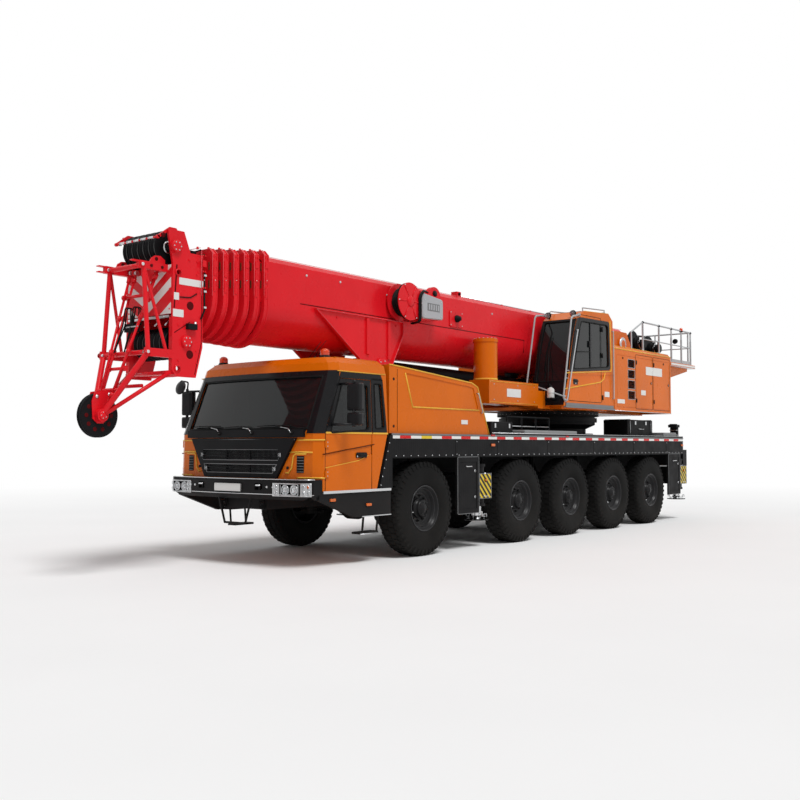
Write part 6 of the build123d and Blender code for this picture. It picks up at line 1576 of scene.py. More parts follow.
    def controls(self):
        """Joysticks, display and pedals inside the operator's cab."""
        work = Workpiece("operator_controls")
        for y in (0.79, 1.17):
            work.tube([(-4.95, y, 2.86), (-4.93, y, 3.02)], 0.013, "seal_rubber", 10)
            work.turned(((0.026, 0.0), (0.030, 0.05), (0.024, 0.09), (TIP, 0.10)), (-4.93, y, 3.01),
                        (0.1, 0, 1), "moulded_trim", sides=14)
        work.tube([(-4.62, 0.74, 2.42), (-4.66, 0.74, 3.05)], 0.018, "moulded_trim", 10)
        work.block((-4.69, 0.70, 3.00), (-4.655, 0.94, 3.20), "moulded_trim")
        work.block((-4.694, 0.715, 3.02), (-4.690, 0.925, 3.18), "screen_glass")
        for y in (0.88, 1.06):
            work.block((-4.60, y - 0.05, 2.42), (-4.45, y + 0.05, 2.44), "seal_rubber")
        work.done("superstructure", "trim")


class CRANE_OT_upper_frame(bpy.types.Operator):
    """Trim the cabinets, arm, post and platform"""

    bl_idname = "crane.upper_frame"
    bl_label = "Upper frame"

    def execute(self, context):
        self.cabinets()
        self.arm()
        self.platform()
        self.winches()
        return {"FINISHED"}

    def cabinets(self):
        """Door seams, locks, hinges, slats, lit edges and blank plates of the cabinets."""
        work = Workpiece("cabinet_trim")
        for work.side, front, top in ((-1, -4.70, 3.45), (1, -6.17, 3.55)):
            y = 1.33
            # Painted highlights along the top edges of the cabinets
            work.tube([(-8.875, 1.272, top + 0.001), (front - 0.005, 1.272, top + 0.001)], 0.006, "body_painted_highlight",
                      6)
            work.tube([(-8.875, 1.331, top - 0.058), (front - 0.005, 1.331, top - 0.058)], 0.010, "body_painted_highlight",
                      8)
            work.tube([(-8.875, 1.331, 2.275), (front - 0.005, 1.331, 2.275)], 0.007, "edge_silver", 6)
            doors = ((-8.82, -7.98), (-7.94, -7.14)) if work.side > 0 else ((-8.82, -7.94), (-7.90, -7.02),
                                                                            (-6.98, -5.90), (-5.86, -4.76))
            for rear, back in doors:
                work.ring(rounded(upright((rear, back), y, (2.33, top - 0.12)), 0.025),
                          0.0045, "seal_rubber", 6)
                for z in (2.50, top - 0.28):
                    work.turned(((0.016, -0.04), (0.016, 0.04), (TIP, 0.041)), (back - 0.015, y + 0.006, z), UP,
                                "moulded_trim", sides=12, caps=True)
                work.turned(((0.026, -0.001), (0.026, 0.005), (0.018, 0.009), (TIP, 0.009)),
                            (rear + 0.07, y, 2.88), OUT, "moulded_trim", sides=18)
                low, high = y + 0.005, y + 0.013
                work.block((rear + 0.066, low, 2.865), (rear + 0.074, high, 2.895), "edge_silver")
        low, high = 1.329, 1.334
        work.block((-8.42, low, 3.045), (-7.62, high, 3.215), "white_paint")
        work.block((-7.60, low, 2.62), (-7.38, high, 2.72), "white_paint")
        work.block((-6.62, low, 2.42), (-6.30, high, 2.50), "white_paint")
        for d in (-8.50, -6.55):
            work.turned(((0.022, 0.0), (0.022, 0.006), (TIP, 0.007)), (d, 1.33, 3.32), OUT, "seal_rubber",
                        sides=16)
        for k in range(4):
            z = 2.52 + 0.21 * k
            for fin in range(5):
                h = z + 0.012 + 0.030 * fin
                work.loops([[(d, 1.300, h + 0.018), (d, 1.328, h), (d, 1.329, h + 0.004), (d, 1.301, h + 0.022)]
                            for d in (-7.088, -6.782)], "louvre_black_and_painted_shade", smooth=False)
            work.ring(upright((-7.093, -6.777), 1.331, (z - 0.004, z + 0.164)),
                      0.006, "bar_grey", 6)
        for d in (-8.6, -7.6, -6.6):
            work.turned(((0.034, -0.005), (0.034, 0.010), (0.018, 0.014)), (d, 0.97, 3.55), UP, "zinc_steel",
                        sides=16)
            work.ring([Vector((d, 0.97 + 0.030 * cos(t), 3.585 + 0.030 * sin(t))) for t in turns(16)], 0.008,
                      "zinc_steel", 6)
        for k in range(12):
            work.block((-6.60 - 0.06 * k, -1.22, 3.449), (-6.575 - 0.06 * k, -0.76, 3.462), "louvre_black_and_painted_shade")
        work.turned(((0.048, -0.01), (0.048, 0.14), (0.036, 0.16), (TIP, 0.16)), (-5.40, -0.95, 3.45), UP,
                    "moulded_trim", sides=22)
        work.done("superstructure", "orange")

    def arm(self):
        """Bolts, painted highlights on the edges, lashing eyes and pipes of the forward arm and its post."""
        work = Workpiece("arm_trim")
        x, y = -2.50, 0.76
        for t in turns(16):
            work.bolt((x + 0.186 * cos(t), y + 0.186 * sin(t), 3.39), UP, 0.010)
        # Painted highlight round the post and along the arm's edges
        work.turned(((0.201, 0.0), (0.205, 0.004), (0.205, 0.024), (0.201, 0.028)), (x, y, 2.69), UP,
                    "body_painted_highlight", sides=48)
        for z in (2.315, 2.665):
            work.tube([(-3.88, 0.962, z), (-2.32, 0.962, z)], 0.005, "body_painted_highlight", 6)
        for d in (-3.75, -3.20, -2.45):
            for z in (2.36, 2.62):
                work.bolt((d, 0.960, z), OUT, 0.010)
        work.block((-3.30, 0.958, 2.42), (-2.85, 0.965, 2.56), "white_paint")
        for y_pipe in (0.60, 0.63, 0.66):
            work.bent([(-4.10, y_pipe, 2.60), (-3.60, y_pipe, 2.715), (-2.78, y_pipe, 2.715),
                       (-2.78, y_pipe, 2.90)], 0.010, 0.04, "plated_steel", 8)
        for d in (-3.50, -3.00):
            work.block((d - 0.015, 0.585, 2.688), (d + 0.015, 0.675, 2.730), "moulded_trim")
        for _ in work.both():
            for d in (-6.9, -7.5, -8.1, -8.7):
                work.bolt((d, 0.611, 2.36), OUT, 0.016)
            work.turned(((0.150, 0.0), (0.150, 0.012), (0.10, 0.018), (TIP, 0.018)), (-8.0, 0.640, 3.75), OUT,
                        "plated_steel", sides=32)
            for t in turns(8):
                work.bolt((-8.0 + 0.122 * cos(t), 0.654, 3.75 + 0.122 * sin(t)), OUT, 0.012)
            work.bent([(-5.30, 0.25, 2.33), (-5.30, 0.25, 2.42), (-7.2, 0.32, 2.42), (-8.6, 0.32, 2.42)],
                      0.014, 0.05, "plated_steel", 10)
            work.bent([(-5.50, 0.35, 2.33), (-5.50, 0.35, 2.39), (-7.2, 0.40, 2.39), (-8.6, 0.40, 2.39)],
                      0.014, 0.05, "hose_black", 10)
        work.turned(((0.13, 0.0), (0.13, 0.16), (0.10, 0.18), (0.10, 0.34), (0.085, 0.36), (TIP, 0.36)),
                    (-5.2, -0.34, 2.31), UP, "box_black", sides=28)
        work.turned(((0.15, 0.0), (0.15, 0.03), (0.13, 0.04)), (-5.2, -0.34, 2.31), UP, "chassis_paint",
                    sides=28)
        work.done("superstructure", "orange")

    def platform(self):
        """Grating, kick plates, pipe clamps, beacon and lamps of the platform."""
        work = Workpiece("platform_trim")
        for k in range(26):
            d = -8.95 - 0.05 * k
            work.block((d - 0.004, 0.60, 3.400), (d + 0.004, 1.215, 3.408), "tread_silver")
            work.block((d - 0.004, -1.215, 3.400), (d + 0.004, -0.60, 3.408), "tread_silver")
        for y in (0.60, 0.80, 1.00, 1.215):
            for _ in work.both():
                work.block((-10.21, y, 3.400), (-8.94, y + 0.006, 3.411), "tread_silver")
        work.block((-10.258, -1.335, 3.322), (-8.90, 1.335, 3.331), "edge_silver")
        for side in work.both():
            for d in (-7.69, -8.50, -9.15, -9.70, -10.225):
                foot = 3.55 if side > 0 and d > -8.9 else 3.45 if d > -8.9 else 3.40
                work.turned(((0.036, 0.0), (0.036, 0.008), (0.022, 0.012), (0.022, 0.05)), (d, 1.24, foot), UP,
                            "bar_grey", sides=16)
                work.turned(((0.0205, 0.0), (0.0205, 0.50)), (d, 1.24, foot + 0.05), UP, "bar_grey", sides=14)
                work.turned(((TIP, 0.02), (0.026, 0.0), (0.026, -0.03), (0.018, -0.035)), (d, 1.24, 4.158), UP,
                            "moulded_trim", sides=14)
            low, high = 1.331, 1.336
            work.block((-10.25, low, 3.345), (-8.92, high, 3.385), "white_paint")
            work.turned(((0.030, 0.0), (0.030, 0.012), (0.024, 0.020), (TIP, 0.022)), (-10.238, 1.18, 3.365),
                        AFT, "tail_lens", sides=18)
        work.turned(((0.012, 0.0), (0.012, 0.12), (0.040, 0.122), (0.040, 0.145)), (-9.70, 1.24, 4.00), UP,
                    "moulded_trim", sides=16)
        work.turned(((0.036, 0.145), (0.038, 0.165), (0.034, 0.20), (0.018, 0.215), (TIP, 0.218)),
                    (-9.70, 1.24, 4.00), UP, "beacon_lens", sides=22)
        for y in (-0.9, 0.9):
            x = -10.17
            work.turned(((0.050, -0.025), (0.062, 0.0), (0.062, 0.02), (TIP, 0.012)), (x, y, 3.98),
                        (-1, 0, -0.5), "moulded_trim", sides=20)
            work.turned(((0.055, 0.018), (TIP, 0.026)), (x, y, 3.98), (-1, 0, -0.5), "clear_lens", sides=20)
        work.done("superstructure", "steel")

    def winches(self):
        """Wound rope, flange bolts, motors and their pipes."""
        work = Workpiece("winch_trim")
        rope = sizes().rope
        for d, z, turns_r in ((-9.00, 3.85, 0.212), (-9.80, 3.80, 0.212)):
            profile = []
            y = -0.395
            while y < 0.395:
                for t in (0, 1, 2, 3, 4):
                    profile.append((turns_r + rope * 0.95 * sin(pi * t / 4) + 0.001, y + 2 * rope * t / 4))
                y += 2 * rope
            work.turned(profile, (d, 0, z), OUT, "wire_rope", sides=40)
            for _ in work.both():
                for t in turns(10):
                    work.bolt((d + 0.13 * cos(t), 0.501, z + 0.13 * sin(t)), OUT, 0.012)
                for t in turns(6, 0.3):
                    work.turned(((0.030, -0.004), (0.030, 0.004), (TIP, 0.005)), (d + 0.255 * cos(t), 0.424,
                                                                                  z + 0.255 * sin(t)), OUT,
                                "chassis_paint", sides=16)
            work.turned(((0.096, 0.0), (0.102, 0.01), (0.102, 0.03), (0.096, 0.04)), (d, 0.56, z), OUT,
                        "plated_steel", sides=28)
            for shift in (-0.04, 0.04):
                work.bent([(d + shift, 0.66, z + 0.08), (d + shift, 0.66, z + 0.16),
                           (d + shift + 0.15, 0.60, z + 0.16), (d + shift + 0.15, 0.585, z - 0.35)], 0.011,
                          0.03, "hose_black", 8)
        work.done("superstructure", "chassis")


# Boom, head and runner
def collar(k):
    """Distance ahead, half width and top of the collar on a boom section."""
    return 2.44 + 0.17 * k, 0.545 - 0.008 * k, 4.16 - 0.02 * k


class CRANE_OT_boom(bpy.types.Operator):
    """Trim the boom: seams, collar bolts, pads, reel, lugs and pipes"""

    bl_idname = "crane.boom"
    bl_label = "Boom"

    def execute(self, context):
        for k in range(7):
            self.collar_trim(k)
        self.base()
        self.reel()
        self.cylinder()
        return {"FINISHED"}

    def collar_trim(self, k):
        """Pad bolts, top knobs, lubrication nipples and lit edge of one collar."""
        front, half, top = collar(k)
        body = "boom_base" if k == 0 else f"section_{k}"
        work = Workpiece(f"collar_trim_{k}")
        x = front
        for _ in work.both():
            for z in (top - 0.10, top - 0.30, top - 0.50):
                for shift in (-0.055, -0.020):
                    work.bolt((x + shift, half, z), OUT, 0.010, "boom_paint")
            low, high = half - 0.002, half + 0.009
            work.block((x - 0.066, low, top - 0.24), (x - 0.010, high, top - 0.16), "boom_paint")
            work.turned(((0.016, 0.0), (0.016, 0.024), (0.011, 0.032), (TIP, 0.032)),
                        (x - 0.038, half - 0.13, top - 0.002), UP, "boom_paint", sides=14)
            work.bolt((x - 0.038, 0.16, top - 0.001), UP, 0.011, "boom_paint")
            work.turned(((0.006, 0.0), (0.006, 0.010), (0.004, 0.012), (TIP, 0.016)),
                        (x - 0.0375, half, top - 0.405), OUT, "plated_steel", sides=8)
            # Painted highlight down the collar's front edge
            work.tube([(x + 0.001, half - 0.004, top - 0.03), (x + 0.001, half - 0.004, top - 0.60)], 0.004,
                      "boom_painted_highlight", 6)
        # Painted highlight along the top of the collar
        work.tube([(x, -half + 0.03, top - 0.002), (x, half - 0.03, top - 0.002)], 0.004, "boom_painted_highlight", 6)
        if k < 6:
            inner = half - 0.075
            for y in (-0.30, -0.10, 0.10, 0.30):
                work.block((x - 0.004, y - 0.05, top - 0.078), (x + 0.006, y + 0.05, top - 0.060), "pad_bronze")
            for _ in work.both():
                low, high = inner - 0.004, inner + 0.016
                for z in (top - 0.22, top - 0.45):
                    work.block((x - 0.004, low, z - 0.05), (x + 0.006, high, z + 0.05), "pad_bronze")
        work.done(body, "boom")

    def base(self):
        """Seams, stiffeners, lugs, side plate, pipes, blank plates and painted highlights on the edges of the
        base section.
        """
        work = Workpiece("boom_base_trim")
        for _ in work.both():
            y = 0.5005
            work.tube([(1.72, y, 3.535), (-4.18, y, 3.525)], 0.006, "boom_shadow", 6)
            work.tube([(-4.18, y, 3.525), (-4.18, 0.492, 3.30)], 0.006, "boom_shadow", 6)
            # Painted highlight along the top edge of the boom
            work.tube([(-8.26, 0.486, 4.094), (2.36, 0.486, 4.094)], 0.0035, "boom_painted_highlight", 6)
            for d, z in ((-0.17, 3.88), (0.90, 3.94), (1.60, 3.94), (-3.10, 3.90), (-5.20, 3.90)):
                work.bolt((d, y, z), OUT, 0.016)
            for d in (0.88, 1.11):
                work.plate(((d - 0.03, 4.04), (d + 0.03, 4.04), (d + 0.022, 4.085), (d - 0.022, 4.085)), "y",
                           0.40, 0.415, "boom_paint")
            outline = rounded(upright((-1.81, -2.19), y, (3.56, 3.83)), 0.03)
            work.sheet(outline, (0, 0.016, 0), "boom_paint")
            for d in (-1.84, -2.16):
                for z in (3.59, 3.80):
                    work.bolt((d, 0.516, z), OUT, 0.009)
            work.turned(((0.060, 0.0), (0.060, 0.030), (0.042, 0.040), (0.042, 0.075), (TIP, 0.078)),
                        (-2.0, 0.516, 3.70), OUT, "chassis_paint", sides=24)
            low, high = 0.30, 0.42
            work.block((-2.27, low, 4.095), (-2.15, high, 4.19), "boom_paint")
            work.turned(((0.026, 0.0), (0.026, 0.016), (0.018, 0.020)), (-2.21, 0.42, 4.15), OUT,
                        "chassis_paint", sides=16)
            for d in (-3.6, -4.6, -5.8, -7.0):
                low, high = 0.36, 0.40
                work.block((d - 0.02, low, 4.096), (d + 0.02, high, 4.13), "boom_paint")
            work.tube([(-7.6, 0.38, 4.125), (-2.3, 0.38, 4.125)], 0.011, "plated_steel", 8)
            # Painted highlight round the pivot
            work.turned(((0.190, 0.0), (0.196, 0.004), (0.196, 0.012), (0.185, 0.014)), (-8.0, 0.542, 3.75),
                        OUT, "boom_painted_highlight", sides=40)
        for _ in work.both():
            work.block((-6.30, 0.498, 3.66), (-5.55, 0.503, 3.88), "white_paint")
            y = 0.562
            # Painted highlight round the edge of the bracket
            rim = ((1.45, 3.49), (-0.51, 3.49), (-0.51, 3.31), (-0.18, 2.71), (0.20, 2.71), (0.45, 2.81))
            work.ring([(d, y, z) for d, z in rim], 0.005, "boom_painted_highlight", 6)
            work.turned(((0.100, 0.0), (0.104, 0.004), (0.104, 0.020), (0.085, 0.024), (TIP, 0.024)),
                        (0, 0.545, 2.80), OUT, "boom_paint", sides=32)
            for t in turns(4, 0.6):
                work.bolt((0.07 * cos(t), 0.569, 2.80 + 0.07 * sin(t)), OUT, 0.010)
            for d, z in ((-0.36, 3.42), (0.30, 3.42), (1.00, 3.42)):
                work.bolt((d, 0.531, z), OUT, 0.014, "boom_paint")
            work.plate(((0.30, 2.93), (0.36, 2.95), (0.36, 3.47), (0.30, 3.47)), "y", 0.529, 0.556,
                       "boom_paint")
            work.plate(((-0.20, 2.90), (-0.14, 2.90), (-0.14, 3.47), (-0.20, 3.47)), "y", 0.529, 0.556,
                       "boom_paint")
        x = -8.27
        for y in (-0.35, 0.35):
            for z in (3.30, 3.60, 3.90):
                work.bolt((x, y, z), AFT, 0.016)
        work.turned(((0.13, 0.0), (0.13, 0.03), (0.09, 0.05), (TIP, 0.05)), (x, 0, 3.62), AFT, "boom_paint",
                    sides=32)
        work.tube([(x - 0.02, 0.12, 3.70), (x - 0.04, 0.12, 3.86), (x - 0.02, 0.12, 4.00)], 0.012, "hose_black",
                  8)
        work.done("boom_base", "boom")

    def reel(self):
        """Pale cover, wound hose, spokes and guide of the cable reel."""
        work = Workpiece("cable_reel_trim")
        outline = rounded([(-1.285, 0.7195, 3.585), (-0.735, 0.7195, 3.565), (-0.735, 0.7195, 3.965),
                           (-1.285, 0.7195, 3.905)], 0.05)
        work.loops([outline, moved(outline, y=0.030),
                    [p.lerp(Vector((-1.01, 0.7195, 3.755)), 0.06) + Vector((0, 0.042, 0)) for p in outline]],
                   "cover_grey", smooth=False)
        for d in (-1.22, -0.80):
            for z in (3.63, 3.86):
                work.bolt((d, 0.7615, z), OUT, 0.009)
        work.block((-1.18, 0.7600, 3.70), (-0.86, 0.7645, 3.82), "edge_grey")
        for k in range(5):
            work.block((-1.16 + 0.06 * k, 0.7640, 3.715), (-1.13 + 0.06 * k, 0.7670, 3.805), "cover_grey")
        profile = []
        for k in range(7):
            for t in (0, 1, 2, 3, 4):
                profile.append((0.205 + 0.012 * sin(pi * t / 4), 0.565 + 0.024 * (k + t / 4)))
        work.turned(profile, (-0.42, 0, 3.79), OUT, "hose_black", sides=40)
        for k in range(3):
            r = 0.232 + 0.022 * k
            work.turned(((r - 0.011, 0.712), (r, 0.723), (r + 0.011, 0.712), (r, 0.701), (r - 0.011, 0.712)),
                        (-0.42, 0, 3.79), OUT, "hose_black", sides=40)
        for t in turns(6):
            start = Vector((-0.42 + 0.07 * cos(t), 0.765, 3.79 + 0.07 * sin(t)))
            end = Vector((-0.42 + 0.28 * cos(t), 0.765, 3.79 + 0.28 * sin(t)))
            work.tube([start, end], 0.011, "boom_paint", 8)
            work.bolt(end + Vector((0, 0.004, 0)), OUT, 0.010)
        work.turned(((0.085, 0.0), (0.085, 0.020), (0.055, 0.030), (TIP, 0.032)), (-0.42, 0.757, 3.79), OUT,
                    "boom_paint", sides=28)
        for shift in (0.0, 0.035):
            work.bent([(-0.62 - shift, 0.62, 3.48), (-0.62 - shift, 0.785, 3.50), (-0.62 - shift, 0.785, 3.90),
                       (-0.75 - shift, 0.76, 4.00), (-1.05 - shift, 0.60, 4.02)], 0.014, 0.06, "hose_black", 10)
        centre = Vector((-1.30, 0.545, 3.97))
        half = [(0.17 * cos(t), 0.17 * sin(t)) for t in (pi * k / 16 for k in range(17))]
        work.plate([(centre.x + a, centre.z + b) for a, b in half], "y", 0.50, 0.575, "boom_paint")
        work.turned(((0.05, 0.0), (0.05, 0.016), (TIP, 0.018)), (centre.x, 0.575, centre.z + 0.06), OUT,
                    "chassis_paint", sides=20)
        work.done("boom_base", "boom")

    def cylinder(self):
        """Pipes, clamps and gland bolts of the luffing cylinder."""
        low = Vector((-5.0, 0, 2.74))
        high = Vector((0, 0, 2.80))
        run = (high - low).normalized()
        up = Vector((-run.z, 0, run.x))
        work = Workpiece("luff_cylinder_trim")
        gland = low + run * (5.0004 - 0.48)
        for t in turns(14):
            work.bolt(gland + (Vector(OUT) * cos(t) + up * sin(t)) * 0.128 + run * 0.001, run, 0.011)
        for _ in work.both():
            offset = Vector((0, 0.135, 0)) - up * 0.085
            first, last = low + run * 0.45 + offset, low + run * 4.20 + offset
            work.tube([first, last, last + Vector((0, -0.03, 0.03)) + run * 0.05], 0.016, "plated_steel", 10)
            for k in range(5):
                place = first.lerp(last, (k + 0.5) / 5)
                work.block(place - Vector((0.025, 0.024, 0.024)), place + Vector((0.025, 0.024, 0.024)),
                           "moulded_trim")
        work.turned(((0.146, 0.0), (0.150, 0.004), (0.150, 0.05), (0.146, 0.054)), low + run * 0.42, run,
                    "chassis_paint", sides=40)
        work.turned(((0.105, 0.0), (0.125, 0.002), (0.125, 0.014), (0.105, 0.018)), gland + run * 0.002, run,
                    "seal_rubber", sides=40)
        work.block((low.x + 0.32, -0.07, low.z + 0.14), (low.x + 0.58, 0.07, low.z + 0.215), "box_black")
        work.done("luff_barrel", "cylinder")


class CRANE_OT_boom_head(bpy.types.Operator):
    """Trim the boom head and runner: chevrons, plates, rods, forks, cheeks and hoses"""

    bl_idname = "crane.boom_head"
    bl_label = "Boom head"

    def execute(self, context):
        self.chevrons()
        self.head()
        self.runner()
        self.sheaves()
        return {"FINISHED"}

    def chevrons(self):
        """White V bands on the red face plate."""
        work = Workpiece("head_chevrons")
        low, high, half, slope = 3.182, 3.778, 0.418, 0.667
        x = 3.87
        for tip_high, tip_low in ((3.584, 3.472), (3.346, 3.227)):
            for _ in work.both():
                steps = 24
                run = []
                for k in range(steps + 1):
                    y = half * k / steps
                    top, bottom = min(tip_high + slope * y, high), min(tip_low + slope * y, high)
                    if top - bottom > 0.001:
                        run.append((y, bottom, top))
                rows = [upright((x - 0.001, x + 0.003), y, (bottom, top)) for y, bottom, top in run]
                work.loops(rows, "stripe_white", smooth=False)
        for _ in work.both():
            start = (low - 3.04) / slope
            rows = []
            for y in spaced(start, half, 8):
                top = 3.04 + slope * y
                rows.append([(x - 0.001, y, low), (x + 0.003, y, low), (x + 0.003, y, max(top, low + 0.001)),
                             (x - 0.001, y, max(top, low + 0.001))])
            work.loops(rows, "stripe_white", smooth=False)
        for _ in work.both():
            for z in (3.24, 3.48, 3.72):
                work.bolt((x + 0.002, 0.395, z), FORE, 0.010, "boom_paint")
        work.done("section_6", "boom")

    def head(self):
        """Blank plates, pipes, pin caps, guard plates and the box behind the head."""
        work = Workpiece("boom_head_trim")
        for _ in work.both():
            for d, z in (((3.400, 3.774), (3.545, 3.630)), ((3.776, 3.852), (3.352, 3.440)),
                         ((3.704, 3.864), (3.147, 3.237))):
                work.sheet(upright(d, 0.450, z), (0, 0.004, 0), "white_paint")
            seam = ((3.835, 3.250), (3.855, 3.250), (3.820, 3.78), (3.800, 3.78))
            work.sheet([(d, 0.450, z) for d, z in seam], (0, 0.002, 0), "boom_shadow")
            work.tube([(3.385, 0.462, 3.74), (3.385, 0.462, 3.26), (3.44, 0.462, 3.15)], 0.011, "hose_black", 8)
            work.tube([(3.765, 0.456, 3.39), (3.60, 0.456, 3.40), (3.50, 0.456, 3.46)], 0.007, "hose_black", 8)
            for z in (3.70, 3.50, 3.30):
                low, high = 0.449, 0.478
                work.block((3.365, low, z - 0.012), (3.405, high, z + 0.012), "plated_steel")
            low, high = 0.449, 0.505
            work.block((3.525, low, 3.005), (3.665, high, 3.075), "chassis_paint")
            work.turned(((0.016, 0.0), (0.016, 0.03), (TIP, 0.031)), (3.54, 0.478, 3.075), UP, "plated_steel",
                        sides=12)
            for x, z in ((3.83, 4.0), (3.66, 2.85)):
                work.turned(((0.076, 0.0), (0.076, 0.010), (0.060, 0.016), (TIP, 0.016)), (x, 0.474, z), OUT,
                            "boom_paint", sides=32)
                for t in turns(6):
                    work.bolt((x + 0.052 * cos(t), 0.489, z + 0.052 * sin(t)), OUT, 0.008)
            for z in (3.69, 2.52):
                work.turned(((0.030, 0.002), (0.046, 0.002), (0.046, 0.012), (0.032, 0.016)), (3.79, 0.449, z),
                            OUT, "boom_paint", sides=28)
            for points in (((3.42, 3.92), (3.42, 2.85), (3.52, 2.46)), ((3.60, 3.10), (3.84, 2.95))):
                work.tube([(d, 0.4505, z) for d, z in points], 0.005, "boom_shadow", 6)
            for d, z in ((3.50, 3.86), (3.62, 3.86), (3.50, 3.70), (3.50, 2.75), (3.50, 2.60), (3.78, 2.62),
                         (3.78, 3.05), (3.88, 3.90)):
                work.bolt((d, 0.450, z), OUT, 0.012, "boom_paint")
            for centre in ((3.60, 3.30), (3.60, 2.70)):
                place = (centre[0], 0.4495, centre[1])
                work.turned(((0.052, 0.0), (0.052, 0.003), (0.040, 0.004), (TIP, 0.004)), place, OUT,
                            "boom_shadow", sides=28)
            work.turned(((0.030, -0.002), (0.030, 0.012), (TIP, 0.013)), (4.0, 0.42, 4.115), OUT, "boom_shadow",
                        sides=18)
        work.block((3.40, -0.32, 3.952), (3.60, 0.32, 4.020), "box_black")
        for y in (-0.22, 0.0, 0.22):
            work.turned(((0.020, 0.0), (0.020, 0.03), (0.012, 0.04), (TIP, 0.04)), (3.50, y, 4.02), UP,
                        "moulded_trim", sides=14)
        work.tube([(3.42, 0.26, 4.00), (3.30, 0.28, 4.06), (3.20, 0.28, 4.02)], 0.009, "hose_black", 8)
        x, z = 4.067, 4.088
        for y in (-0.405, 0.405):
            work.turned(((0.022, -0.016), (0.022, 0.016)), (x, y, z), OUT, "boom_paint", sides=18, caps=True)
        for y in (-0.28, -0.14, 0.0, 0.14, 0.28):
            work.turned(((0.0165, -0.05), (0.0165, 0.05)), (x, y, z), OUT, "plated_steel", sides=16, caps=True)
        work.block((3.855, -0.40, 3.135), (3.885, 0.40, 3.165), "edge_silver")
        for y in (-0.30, -0.15, 0.0, 0.15, 0.30):
            work.bolt((3.885, y, 3.150), FORE, 0.009)
        for _ in work.both():
            low, high = 0.385, 0.42
            work.block((3.80, low, 2.44), (3.87, high, 3.14), "boom_paint")
        work.block((3.78, -0.42, 2.45), (3.83, 0.42, 2.50), "boom_paint")
        work.tube([(3.89, -0.40, 2.47), (3.89, 0.40, 2.47)], 0.022, "boom_paint", 14)
        for y in (-0.30, -0.10, 0.10, 0.30):
            work.tube([(3.78, y, 3.13), (3.86, y, 3.05)], 0.010, "plated_steel", 8)
        work.done("section_6", "boom")

    def runner(self):
        """Twin rods, lower arms, fork tips, lugs, cheek plates, hoses and pins of the runner."""
        work = Workpiece("runner_trim")
        hub = Vector((4.59, 0, 1.94))
        for _ in work.both():
            for shift in (0.0, 0.075):
                top = Vector((3.915 + shift * 0.4, 0.20 + shift, 3.73))
                foot = hub + Vector((-0.10 + shift * 0.3, 0.105, 0.14))
                work.tube([top, top.lerp(foot, 0.5), foot], 0.0165, "boom_paint", 12)
                for share in (0.06, 0.36, 0.62, 0.94):
                    place = top.lerp(foot, share)
                    work.turned(((0.026, -0.030), (0.026, 0.030)), place, foot - top, "boom_paint", sides=14,
                                caps=True)
                work.turned(((0.030, -0.018), (0.030, 0.018)), top, OUT, "plated_steel", sides=18, caps=True)
            low, high = 0.185, 0.29
            work.block((3.868, low, 3.70), (3.935, high, 3.765), "boom_paint")
            start = Vector((3.86, 0.40, 2.47))
            end = hub + Vector((-0.03, 0.115, 0.02))
            work.tube([start, end], 0.026, "boom_paint", 14)
            for z in (3.7005, 3.7695):
                y_low, y_high = 0.305, 0.355
                work.plate(((4.24, z - 0.0095), (4.385, z - 0.0075), (4.395, z), (4.385, z + 0.0075),
                            (4.24, z + 0.0095)), "y", y_low, y_high, "boom_paint")
            for z, d in ((3.735, 4.25), (2.69, 4.24)):
                y_mid = 0.33 if z > 3 else 0.435
                work.turned(((0.0195, -0.046), (0.0195, 0.046)), (d, y_mid, z), OUT, "plated_steel", sides=18,
                            caps=True)
                work.turned(((0.032, 0.034), (0.032, 0.042), (TIP, 0.043)), (d, y_mid, z), OUT, "boom_paint",
                            sides=18)
            y_low, y_high = 0.321, 0.339
            arch = [(3.90, 3.775), (4.13, 3.775), (4.10, 3.835), (4.05, 3.868), (3.97, 3.875), (3.90, 3.83)]
            work.plate(arch, "y", y_low, y_high, "boom_paint")
            for face in (0.339, 0.321):
                work.turned(((0.024, 0.0), (0.024, 0.0015), (TIP, 0.0015)), (4.03, face, 3.83),
                            (0, 1 if face > 0.33 else -1, 0), "boom_shadow", sides=20)
            for d in (3.96, 4.12):
                work.turned(((0.018, 0.0), (0.018, 0.010), (TIP, 0.011)), (d, 0.36, 3.735), OUT, "boom_shadow",
                            sides=16)
            y_low, y_high = 0.0355, 0.0450
            cheek = [(4.40, 2.205), (4.47, 2.245), (4.66, 2.215), (4.70, 2.10), (4.685, 1.90), (4.62, 1.845),
                     (4.54, 1.845), (4.49, 1.90)]
            work.plate(cheek, "y", y_low, y_high, "boom_paint")
            for d, z in ((4.46, 2.19), (4.63, 2.16)):
                work.turned(((0.022, 0.0), (0.022, 0.008), (0.012, 0.012), (TIP, 0.012)), (d, 0.045, z), OUT,
                            "plated_steel", sides=16)
            work.turned(((0.052, 0.0), (0.052, 0.012), (0.040, 0.018), (TIP, 0.018)),
                        hub + Vector((0, 0.112, 0)), OUT, "boom_paint", sides=28)
            for t in turns(5):
                work.bolt(hub + Vector((0.036 * cos(t), 0.129, 0.036 * sin(t))), OUT, 0.006)
            for shift in (0.0, 0.03):
                work.bent([(4.05 + shift, 0.08, 3.05), (4.05 + shift, 0.08, 3.26), (4.13 + shift, 0.08, 3.26),
                           (4.16 + shift, 0.08, 3.05), (4.30, 0.10, 2.70)], 0.009, 0.03, "hose_black", 8)
        for z, half, d in ((3.405, 0.235, 4.060), (2.50, 0.16, 4.335)):
            work.tube([(d, -half, z), (d, half, z)], 0.020, "boom_paint", 12)
            for y in (-half, half):
                work.turned(((0.034, -0.02), (0.034, 0.02)), (d, y, z), OUT, "boom_paint", sides=18, caps=True)
